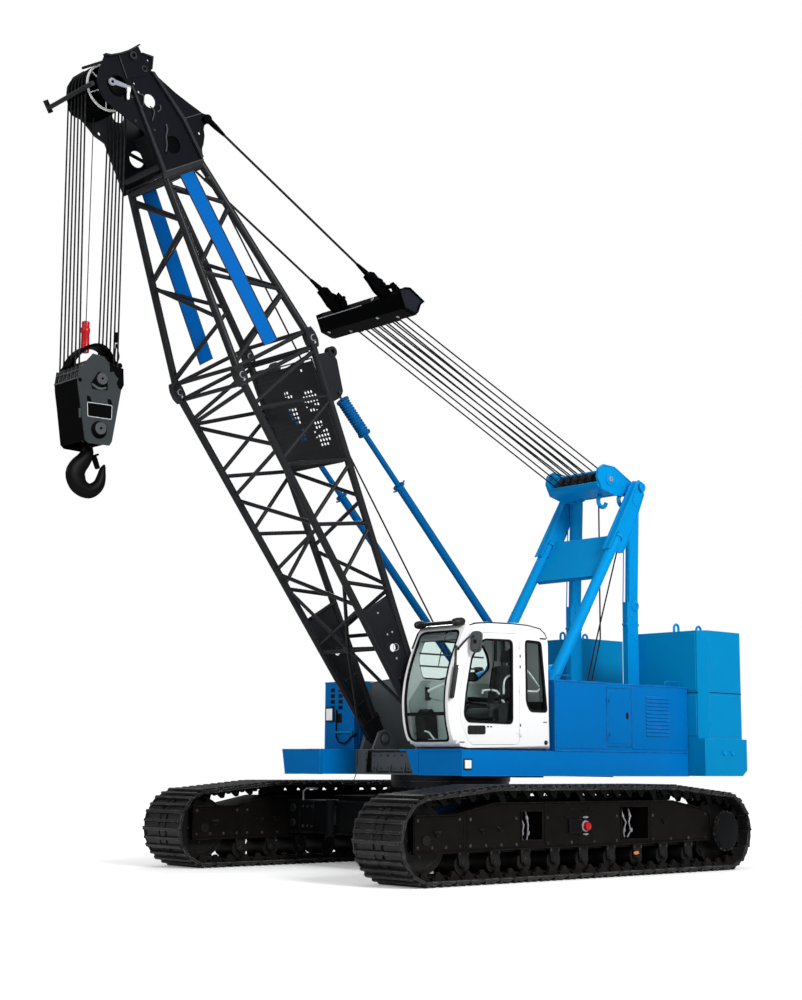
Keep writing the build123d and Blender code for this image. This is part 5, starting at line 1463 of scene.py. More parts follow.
def gantry():
    flanges, ends, pins = Solid(), Solid(), Solid()
    front_edge = [(2.64, 4.80), (3.33, 5.90), (3.40, 5.96)]
    rear_edge = [(3.54, 5.76), (3.29, 5.23), (3.00, 4.76)]
    for side in SIDES:
        x = side * 0.72
        for face in SIDES:
            low, high = sorted((x + face * 0.033, x + face * 0.075))
            strip(flanges, front_edge, 0.018, low, high)
            strip(flanges, rear_edge, 0.014, *sorted((x + face * 0.033, x + face * 0.048)))
            outline = arc_points((3.45, 5.85), 0.105, -60, 150, 12)
            flanges.prism(outline + [(3.25, 5.60), (3.36, 5.52)],
                          *sorted((x + face * 0.034, x + face * 0.046)))
            start = along_leg(x + face * 0.03, 3.80)
            ends.lathe([(0, 0.083), (0.035, 0.078), (0.07, 0.062), (0.095, 0.036), (0.105, 0)], start,
                       LEG_RUN, 20)
            pin_cap(pins, x + face * 0.08 if face == side else x + face * 0.082, 3.45, 5.85, face, 0.068)
        ends.lathe([(0.22, 0.06), (0.225, 0.092), (0.245, 0.096), (0.265, 0.092), (0.28, 0.086)],
                   along_leg(x, 0), LEG_RUN, 28)
        for reach in (1.2, 2.4):
            ends.lathe([(0, 0.085), (0.004, 0.088), (0.020, 0.088), (0.024, 0.085)], along_leg(x, reach),
                       LEG_RUN, 28)
        for z in (1.80,):
            pin_cap(pins, side * 0.82, 0.82, z, side, 0.055)
        pin_cap(pins, side * 0.68, 3.34, 1.86, side, 0.055)
    flanges.piece("gantry_head_flanges", "upper", GANTRY_BLUE, "house_blue", bevel=0.003)
    ends.piece("gantry_tube_ends", "upper", GANTRY_BLUE, "house_blue")
    pins.piece("gantry_pin_caps", "upper", GANTRY_BLUE, "house_blue")
    braces = Solid()
    for side in SIDES:
        x = side * 0.60
        for low, high in ((-0.055, -0.040), (0.040, 0.055)):
            braces.box(x + low, x + high, 3.225, 3.475, 1.93, 4.02)
        braces.box(x - 0.052, x + 0.052, 3.222, 3.240, 1.95, 4.0)
        for face in SIDES:
            braces.lathe([(0, 0.085), (0.012, 0.085), (0.016, 0.075), (0.016, 0.038), (0, 0.038)],
                         (x + face * 0.055, 3.40, 3.96), (face, 0, 0), 24, ring=True)
            braces.rod((x + face * 0.03, 3.20, 3.66), (x + face * 0.03, 3.50, 3.66), 0.022, 12)
            strip(braces, [(3.23, 4.02), (3.29, 5.60)], 0.012, *sorted((x + face * 0.038, x + face * 0.052)))
    braces.piece("gantry_link_sleeves", "upper", GANTRY_BLUE, "house_blue", bevel=0.003)
    cross = Solid()
    for reach, depth in ((3.075, 0.085), (3.865, 0.06)):
        centre = along_leg(0, reach)
        up, out = LEG_RUN * 0.008, LEG_OUT * depth
        corners = [centre - up, centre + up, centre + up + out, centre - up + out]
        cross.prism([(corner.y, corner.z) for corner in corners], -0.63, 0.63)
    for side in SIDES:
        for reach in (3.18, 3.38, 3.56, 3.76):
            centre = along_leg(side * 0.60, reach)
            up, out = LEG_RUN * 0.045, LEG_OUT * 0.055
            corners = [centre - up, centre + up, centre + up + out, centre - up + out]
            cross.prism([(corner.y, corner.z) for corner in corners], *side_span(side, 0.615, 0.655))
    cross.piece("gantry_cross_plate_edges", "upper", GANTRY_BLUE, "house_blue", bevel=0.003)
    heads = []
    for side in SIDES:
        for reach in (3.18, 3.38, 3.56, 3.76):
            heads.append((along_leg(side * 0.585, reach, -0.001), -LEG_OUT))
            heads.append((along_leg(side * 0.585, reach, 0.021), LEG_OUT))
        for x, z in ((side * 0.656, 3.80), (side * 0.656, 3.52)):
            heads.append(((x, 3.30, z), Vector((side, 0, 0))))
            heads.append(((x, 3.42, z - 0.1), Vector((side, 0, 0))))
    bolts("gantry_bolts", heads, 0.026, 0.010, "upper", GANTRY_BLUE, "house_blue")


def derrick_housing():
    """Boat-shaped housing of the derricking sheaves, with its guard bars, pins and hooks."""
    shell = Solid()
    for side in SIDES:
        x = side * 0.555
        rim = [(2.66, 5.96), (2.69, 6.10), (2.80, 6.17), (3.06, 6.16), (3.33, 6.03), (3.54, 5.93)]
        strip(shell, rim, 0.016, *side_span(side, 0.515, 0.565))
        keel = [(2.66, 5.96), (2.76, 5.785), (3.06, 5.715), (3.40, 5.73), (3.56, 5.80)]
        strip(shell, keel, 0.016, *side_span(side, 0.515, 0.565))
        shell.lathe([(0, 0.095), (0.014, 0.095), (0.018, 0.085), (0.018, 0.042), (0, 0.042)],
                    (x, GANTRY_AXLE.y, GANTRY_AXLE.z),
                    (side, 0, 0), 28, ring=True)
    bowl = [(2.672, 5.885), (2.70, 5.85), (2.77, 5.80), (2.90, 5.765), (3.06, 5.735)]
    strip(shell, bowl, 0.014, -0.53, 0.53)
    for x in (-0.32, 0.0, 0.32):
        shell.prism([(2.70, 5.85), (2.80, 5.79), (3.02, 5.75), (2.96, 5.80), (2.80, 5.85), (2.72, 5.90)],
                    x - 0.006, x + 0.006)
    for y, z in ((2.735, 6.06), (3.10, 6.13), (3.22, 5.86)):
        shell.rod((-0.54, y, z), (0.54, y, z), 0.018, 12)
    shell.rod((-0.60, 3.33, 5.80), (0.60, 3.33, 5.80), 0.046, 18)
    shell.piece("derrick_housing", "upper", GANTRY_BLUE, "house_blue", bevel=0.002)
    hooks = Solid()
    for x, y, z in ((0.30, 3.00, 5.70), (0.50, 3.26, 5.72)):
        bend = arc_points((y + 0.055, z - 0.06), 0.095, 150, 345, 9)
        hooks.pipe([(x, y + 0.05, z + 0.06), *[(x, *point) for point in bend]], 0.034, 10)
    hooks.piece("housing_hooks", "upper", GANTRY_BLUE, "house_blue")
    pins = Solid()
    for side in SIDES:
        pin_cap(pins, side * 0.572, GANTRY_AXLE.y, GANTRY_AXLE.z, side, 0.045)
    pins.piece("derrick_pin_caps", "upper", GREY_CASTING, "pin_steel")


def grooved_sheave(solid, centre, radius, half, hub, sides=32):
    """A rope sheave: flanges with rounded rims, a groove, a thin web and a hub."""
    rim = radius
    groove = radius - 0.017
    profile = [(-half, hub), (-half, hub - 0.012), (half, hub - 0.012), (half, hub),
               (half * 0.35, hub + 0.012),
               (half * 0.35, rim - 0.055), (half * 0.95, rim - 0.045), (half, rim - 0.004), (half * 0.8, rim),
               (half * 0.45, groove + 0.004), (0, groove), (-half * 0.45, groove + 0.004), (-half * 0.8, rim),
               (-half, rim - 0.004), (-half * 0.95, rim - 0.045), (-half * 0.35, rim - 0.055),
               (-half * 0.35, hub + 0.012)]
    solid.lathe(profile, centre, (1, 0, 0), sides, ring=True)
    return solid


HEAD_AXLE = HEAD_PIN + Vector((0, -0.03, 0.03))
FALL_PARTS = 6
HEAD_PITCH, BLOCK_PITCH, DERRICK_PITCH = 0.083, 0.092, 0.16     # from groove to groove
SHEAVE_HALF = 0.034


def from_middle(number):
    """How many grooves this one stands from the middle of its row."""
    return number - (FALL_PARTS - 1) / 2


def sheave_rows():
    """Sheaves with real grooves in place of the plain discs."""
    for name, body, centre, pitch, radius, pin, pin_half, sides in (
        ("derrick_sheaves", "upper", GANTRY_AXLE, DERRICK_PITCH, 0.145, 0.04, 0.545, 28),
        ("bridle_sheaves", "bridle", Vector((0, -1.498, 7.822)), DERRICK_PITCH, 0.102, 0.04, 0.735, 28),
        ("boom_head_sheaves", "boom", HEAD_AXLE, HEAD_PITCH, 0.31, 0.07, 0.500, 44),
        ("hook_block_sheaves", "hook_block", Vector((0, HOOK_Y, HOOK_AXLE_Z)), BLOCK_PITCH, 0.275, 0.045,
         0.327, 44),
    ):
        row = Solid()
        for number in range(FALL_PARTS):
            shift = Vector((from_middle(number) * pitch, 0, 0))
            grooved_sheave(row, centre + shift, radius, SHEAVE_HALF, pin + 0.03, sides)
        row.rod(centre - Vector((pin_half, 0, 0)), centre + Vector((pin_half, 0, 0)), pin, 24)
        iron = DEEP_BLACK if body == "boom" else DARK_STEEL
        row.piece(f"{name}_grooved", body, iron, "sheave_iron", replaces=(name,), smooth=40)


gantry()
derrick_housing()
sheave_rows()


# ------------------------------------------------------------------ outlines and carving
def rounded(points, radius, steps=5):
    """A closed outline with its corners rounded."""
    found = []
    count = len(points)
    for number, point in enumerate(points):
        corner = Vector(point)
        before, after = Vector(points[number - 1]) - corner, Vector(points[(number + 1) % count]) - corner
        reach = min(radius, 0.45 * before.length, 0.45 * after.length)
        start, end = corner + before.normalized() * reach, corner + after.normalized() * reach
        for step in range(steps + 1):
            share = step / steps
            found.append(tuple(start * (1 - share) ** 2 + corner * 2 * share * (1 - share)
                               + end * share ** 2))
    return found


def inset(points, amount):
    """A closed outline moved inwards by an amount, or outwards where it is negative."""
    points = [Vector(point) for point in points]
    area = sum(a.x * b.y - b.x * a.y for a, b in zip(points, points[1:] + points[:1]))
    hand = 1 if area > 0 else -1
    found = []
    for number, point in enumerate(points):
        before = (point - points[number - 1]).normalized()
        after = (points[(number + 1) % len(points)] - point).normalized()
        first, second = Vector((-before.y, before.x)) * hand, Vector((-after.y, after.x)) * hand
        found.append(tuple(point + (first + second) * (amount / max(0.3, 1 + first.dot(second)))))
    return found


def smooth_line(points, steps=4):
    """A line through the points, curved between them."""
    points = [Vector(point) for point in points]
    found = []
    for number in range(len(points) - 1):
        p0 = points[max(0, number - 1)]
        p1, p2 = points[number], points[number + 1]
        p3 = points[min(len(points) - 1, number + 2)]
        for step in range(steps):
            t = step / steps
            found.append(tuple(0.5 * (2 * p1 + (p2 - p0) * t + (2 * p0 - 5 * p1 + 4 * p2 - p3) * t ** 2
                                      + (3 * p1 - p0 - 3 * p2 + p3) * t ** 3)))
    found.append(tuple(points[-1]))
    return found


def band(solid, outer, inner, low, high, axis="x"):
    """A flat ring between two closed outlines with as many points each."""
    turn = AXIS_ORDER[axis]
    count = len(outer)
    points = [turn(a, b, level) for level in (low, high) for line in (outer, inner) for a, b in line]
    faces = []
    for number in range(count):
        after = (number + 1) % count
        o0, i0, o1, i1 = 0, count, 2 * count, 3 * count
        faces += [(o0 + number, o0 + after, i0 + after, i0 + number),
                  (o1 + number, i1 + number, i1 + after, o1 + after),
                  (o0 + number, o1 + number, o1 + after, o0 + after),
                  (i0 + number, i0 + after, i1 + after, i1 + number)]
    return solid.shell(points, faces)


def carved(solid, *cuts):
    """The solid after each (operation, cutter)."""
    base = pattern(solid, "carving")
    for operation, cutter in cuts:
        tool = pattern(cutter, "cutter")
        cut = base.modifiers.new("cut", "BOOLEAN")
        cut.operation = operation
        cut.object = tool
        cut.solver = "EXACT"
        evaluated = base.evaluated_get(bpy.context.evaluated_depsgraph_get())
        mesh = bpy.data.meshes.new_from_object(evaluated)
        base.modifiers.clear()
        base.data = mesh
        done_with(tool)
    result = Solid()
    result.mesh.from_mesh(base.data)
    done_with(base)
    return result


# ------------------------------------------------------------------ cab
CAB_X0, CAB_X1 = 0.69, 1.594
CAB_FRONT = [(-1.20, 1.682), (-1.385, 1.715), (-1.485, 1.80), (-1.545, 1.97), (-1.574, 2.16), (-1.576, 2.36),
             (-1.545, 2.58),
             (-1.475, 2.82), (-1.375, 3.06), (-1.275, 3.265), (-1.205, 3.335), (-1.10, 3.368)]
CAB_PROFILE = [(0.42, 1.682)] + smooth_line(CAB_FRONT) + smooth_line(
    [(-0.84, 3.385), (-0.17, 3.404), (0.17, 3.393), (0.285, 3.345), (0.345, 3.24), (0.365, 3.12)])
DOOR_SHAPE = rounded([(-0.215, 1.735), (-1.165, 1.72), (-1.34, 2.02), (-1.365, 2.40), (-1.25, 2.83),
                      (-0.985, 3.235),
                      (-0.215, 3.262)], 0.09)
DOOR_WINDOW = rounded([(-0.345, 2.012), (-1.215, 2.02), (-1.282, 2.115), (-1.245, 2.42), (-1.14, 2.90),
                       (-0.925, 3.15),
                       (-0.345, 3.165)], 0.085)
REAR_SIDE_WINDOW = rounded([(-0.098, 3.178), (0.225, 3.168), (0.345, 2.19), (0.0, 2.187), (-0.082, 2.31)],
                           0.06)
FAR_WINDOW = rounded([(-1.235, 2.62), (-1.315, 2.90), (-1.19, 3.17), (-0.05, 3.17), (0.065, 3.00),
                      (0.095, 2.82), (-0.18, 2.62)],
                     0.07)
SCREEN = rounded([(0.745, 1.765), (1.535, 1.765), (1.535, 3.255), (0.745, 3.255)], 0.10)
BACK_WINDOW = rounded([(0.80, 2.80), (1.05, 2.80), (1.05, 3.12), (0.80, 3.12)], 0.07)


def cab_body(depth, soft):
    """The cab's outside moved in by a depth, with softened edges."""
    outline = inset(CAB_PROFILE, depth) if depth else CAB_PROFILE
    solid = Solid()
    solid.prism(outline, CAB_X0 + depth, CAB_X1 - depth)
    if soft:
        sides = [edge for edge in solid.mesh.edges if abs(edge.verts[0].co.x - edge.verts[1].co.x) < 1e-6]
        bmesh.ops.bevel(solid.mesh, geom=sides, offset=soft, segments=4, profile=0.5, affect="EDGES",
                        clamp_overlap=True)
    return solid


def plug(outline, low, high, axis="x"):
    return Solid().prism(outline, low, high, axis)


def window_trim(solid, outline, x0, x1, wide=0.022, lap=0.006):
    band(solid, inset(outline, -lap), inset(outline, wide), x0, x1)


def cab_shell():
    shell = carved(
        cab_body(0, 0.045), ("DIFFERENCE", cab_body(0.042, 0)), ("DIFFERENCE", plug(DOOR_SHAPE, 1.54, 1.70)),
        ("DIFFERENCE", plug(REAR_SIDE_WINDOW, 1.54, 1.70)), ("DIFFERENCE", plug(FAR_WINDOW, 0.60, 0.76)),
        ("DIFFERENCE", plug(SCREEN, -1.80, -1.20, "y")), ("DIFFERENCE", plug(BACK_WINDOW, 0.25, 0.60, "y")),
    )
    shell.piece("cab_shell_panels", "upper", CAB_WHITE, "cab_white", replaces=("cab_shell",), smooth=28)
    door = carved(cab_body(0, 0.045), ("INTERSECT", plug(inset(DOOR_SHAPE, 0.005), 1.552, 1.70)),
                  ("DIFFERENCE", plug(DOOR_WINDOW, 1.50, 1.70)))
    door.box(CAB_X1 - 0.02, CAB_X1 + 0.004, -1.16, -0.26, 1.765, 1.773)
    door.piece("cab_door_panel", "cab_door", CAB_WHITE, "cab_white", replaces=("cab_door",), smooth=28)


def cab_windows():
    curved = carved(cab_body(0.012, 0), ("DIFFERENCE", cab_body(0.020, 0)),
                    ("INTERSECT", plug(inset(SCREEN, -0.012), -1.80, -1.15, "y")))
    curved.prism(inset(REAR_SIDE_WINDOW, -0.01), 1.570, 1.578)
    curved.prism(inset(FAR_WINDOW, -0.01), 0.706, 0.714)
    curved.prism(inset(BACK_WINDOW, -0.01), 0.372, 0.380, "y")
    curved.piece("cab_windows", "upper", CAB_GLASS, "cab_glazing", replaces=("cab_glass",), smooth=40)
    glass = plug(inset(DOOR_WINDOW, -0.01), 1.570, 1.578)
    glass.piece("cab_door_window", "cab_door", CAB_GLASS, "cab_glazing", replaces=("cab_door_glass",))
    trims = Solid()
    window_trim(trims, REAR_SIDE_WINDOW, 1.566, 1.5985, 0.030)
    window_trim(trims, FAR_WINDOW, 0.6865, 0.716)
    band(trims, inset(BACK_WINDOW, -0.006), inset(BACK_WINDOW, 0.022), 0.366, 0.402, "y")
    trims.piece("cab_window_rubbers", "upper", RUBBER, "interior_black")
    screen_trim = carved(cab_body(-0.003, 0), ("DIFFERENCE", cab_body(0.024, 0)),
                         ("INTERSECT",
                          band(Solid(), inset(SCREEN, -0.008), inset(SCREEN, 0.022), -1.80, -1.15, "y")))
    screen_trim.piece("windscreen_rubber", "upper", RUBBER, "interior_black")
    bar = carved(cab_body(-0.008, 0), ("DIFFERENCE", cab_body(0.030, 0)),
                 ("INTERSECT", Solid().box(0.74, 1.54, -1.80, -1.30, 2.103, 2.150)))
    bar.piece("windscreen_bar", "upper", RUBBER, "interior_black", bevel=0.002)
    door_trim = Solid()
    window_trim(door_trim, DOOR_WINDOW, 1.566, 1.5985, 0.024)
    door_trim.prism([(-0.775, 2.50), (-0.742, 2.50), (-0.700, 2.86), (-0.650, 2.86), (-0.650, 3.16),
                     (-0.684, 3.16), (-0.700, 2.86)],
                    1.574, 1.592)
    door_trim.piece("cab_door_rubber", "cab_door", RUBBER, "interior_black")


def cab_fittings():
    """Door handle, latches, roof visor with lamps, mirrors, wiper box and roof edge."""
    handle = Solid()
    face = CAB_X1
    handle.prism(rounded([(-1.212, 1.858), (-0.876, 1.864), (-0.876, 1.984), (-1.212, 1.978)], 0.035, 4),
                 face - 0.004, face + 0.006)
    for y0, y1 in ((-1.185, -1.095), (-1.075, -1.010), (-0.985, -0.905)):
        handle.prism(rounded([(y0, 1.886), (y1, 1.887), (y1, 1.958), (y0, 1.957)], 0.02, 3), face + 0.006,
                     face + 0.012)
    for y in (-0.828, -0.768):
        handle.box(face - 0.002, face + 0.005, y - 0.018, y + 0.018, 1.959, 1.977)
    handle.piece("cab_door_handle", "cab_door", BLACK_PLASTIC, "interior_black", bevel=0.002)
    dark = Solid()
    for z in (1.86, 2.00, 2.80, 2.95):
        dark.box(face - 0.003, face + 0.008, -0.206, -0.190, z - 0.02, z + 0.02)
    dark.prism(hexagon(0.31, 1.77, 0.035), face - 0.004, face + 0.012)
    dark.box(face - 0.003, face + 0.008, 0.26, 0.33, 2.045, 2.058)
    dark.box(face - 0.003, face + 0.008, 0.20, 0.32, 3.205, 3.225)
    dark.box(face - 0.003, face + 0.006, -1.36, -1.27, 1.748, 1.762)
    dark.box(CAB_X0 + 0.03, CAB_X1 - 0.03, -1.30, 0.38, 1.662, 1.684)
    dark.piece("cab_latches", "upper", BLACK_PLASTIC, "interior_black", bevel=0.002)
    edge = Solid()
    roof = [(-1.18, 3.322), (-1.064, 3.352), (-0.81, 3.376), (-0.391, 3.388), (-0.045, 3.384), (0.203, 3.352),
            (0.30, 3.29),
            (0.345, 3.22)]
    for x in (CAB_X0 + 0.008, CAB_X1 - 0.008):
        edge.pipe([(x, *point) for point in roof], 0.013, 6)
    edge.pipe([(CAB_X0 + 0.005, y, z) for y, z in ((-1.215, 3.325), (-1.30, 3.235), (-1.40, 3.03))], 0.012, 6)
    edge.piece("cab_roof_gutter", "upper", RUBBER, "interior_black")
    visor = Solid()
    visor.prism([(-1.37, 3.325), (-1.18, 3.35), (-1.15, 3.385), (-1.20, 3.402), (-1.36, 3.378)], 0.74, 1.50)
    for x in (0.76, 1.50):
        visor.lathe([(-0.02, 0), (-0.018, 0.036), (0.0, 0.048), (0.05, 0.058), (0.12, 0.060), (0.16, 0.048),
                     (0.175, 0)],
                    (x - 0.02, -1.36, 3.355), (0.15 if x > 1 else -0.15, 1.0, 0.10), 20)
    visor.piece("roof_visor", "upper", BLACK_PLASTIC, "interior_black", bevel=0.008)
    lamps = Solid()
    for x in (0.74, 1.48):
        lamps.lathe([(-0.028, 0), (-0.026, 0.020), (-0.018, 0.030), (-0.010, 0.030), (-0.010, 0)],
                    (x, -1.36, 3.355), (0, 1, 0.1), 18)
    lamps.piece("roof_lamp_lenses", "upper", DARK_GLASS, "cab_glazing")
    mirror = Solid()
    shell_place = Matrix.Translation((1.695, -1.145, 3.09)) @ Matrix.Rotation(math.radians(24), 4,
                                                                              "Z") @ Matrix.Rotation(
        math.radians(-8), 4, "X")
    oval = Solid(shell_place)
    profile = rounded([(-0.078, -0.145), (0.078, -0.145), (0.085, 0.145), (-0.085, 0.145)], 0.07, 5)
    oval.prism(profile, -0.030, 0.018, "y")
    oval.prism(inset(profile, 0.022), -0.052, -0.030, "y")
    oval.piece("oval_mirror_shell", "upper", DARK_PLASTIC, "interior_black", bevel=0.008)
    Solid(shell_place).prism(rounded([(-0.022, -0.03), (0.022, -0.03), (0.022, 0.02), (-0.022, 0.02)], 0.01,
                                     2), -0.066, -0.05, "y").piece(
        "oval_mirror_clamp", "upper", RUBBER, "interior_black", bevel=0.004)
    Solid(shell_place).prism(inset(profile, 0.010), 0.018, 0.021, "y").piece(
        "oval_mirror_face", "upper", MIRROR_GLASS, "cab_glazing")
    mirror.pipe([(1.585, -1.385, 2.99), (1.615, -1.385, 3.01), (1.665, -1.29, 3.13), (1.685, -1.215, 3.175),
                 (1.695, -1.16, 3.15)],
                0.014, 8)
    mirror.pipe([(1.575, -1.40, 3.03), (1.590, -1.43, 2.93), (1.605, -1.45, 2.80), (1.62, -1.47, 2.72)],
                0.018, 8)
    mirror.rod((1.56, -1.38, 2.99), (1.60, -1.39, 2.99), 0.022, 12)
    mirror.piece("mirror_arms", "upper", BLACK_PLASTIC, "interior_black")
    long_place = Matrix.Translation((1.64, -1.502, 2.55)) @ Matrix.Rotation(math.radians(-11), 4,
                                                                            "X") @ Matrix.Rotation(
        math.radians(-30), 4, "Z")
    long_profile = rounded([(-0.060, -0.23), (0.060, -0.23), (0.065, 0.22), (-0.065, 0.22)], 0.035, 4)
    Solid(long_place).prism(long_profile, -0.028, 0.016, "y").piece(
        "long_mirror_shell", "upper", BLACK_PLASTIC, "interior_black", bevel=0.006)
    Solid(long_place).prism(inset(long_profile, 0.008), 0.016, 0.019, "y").piece(
        "long_mirror_face", "upper", MIRROR_GLASS, "cab_glazing")
    wiper = Solid()
    wiper.pipe([(1.12, -1.592, 2.05), (1.10, -1.604, 1.98), (0.98, -1.592, 1.86)], 0.008, 6)
    wiper.rod((1.12, -1.574, 2.05), (1.12, -1.60, 2.05), 0.022, 12)
    wiper.pipe([(1.26, -1.275, 3.22), (1.28, -1.385, 3.05), (1.33, -1.50, 2.77)], 0.007, 6)
    wiper.rod((1.26, -1.25, 3.22), (1.26, -1.29, 3.22), 0.020, 12)
    wiper.piece("screen_wipers", "upper", BLACK_PLASTIC, "interior_black")
    hinges = Solid()
    for z in (1.90, 2.50, 3.10):
        hinges.rod((1.606, -0.218, z - 0.055), (1.606, -0.218, z - 0.021), 0.011, 12)
        hinges.rod((1.606, -0.218, z + 0.021), (1.606, -0.218, z + 0.055), 0.011, 12)
        hinges.box(1.592, 1.600, -0.210, -0.165, z - 0.055, z + 0.055)
    hinges.piece("cab_door_hinge_halves", "upper", CAB_WHITE, "cab_white", bevel=0.001)
    knuckles = Solid()
    for z in (1.90, 2.50, 3.10):
        knuckles.rod((1.606, -0.218, z - 0.0195), (1.606, -0.218, z + 0.0195), 0.011, 12)
        knuckles.box(1.592, 1.600, -0.275, -0.226, z - 0.0195, z + 0.0195)
    knuckles.piece("cab_door_hinge_knuckles", "cab_door", CAB_WHITE, "cab_white", bevel=0.001)


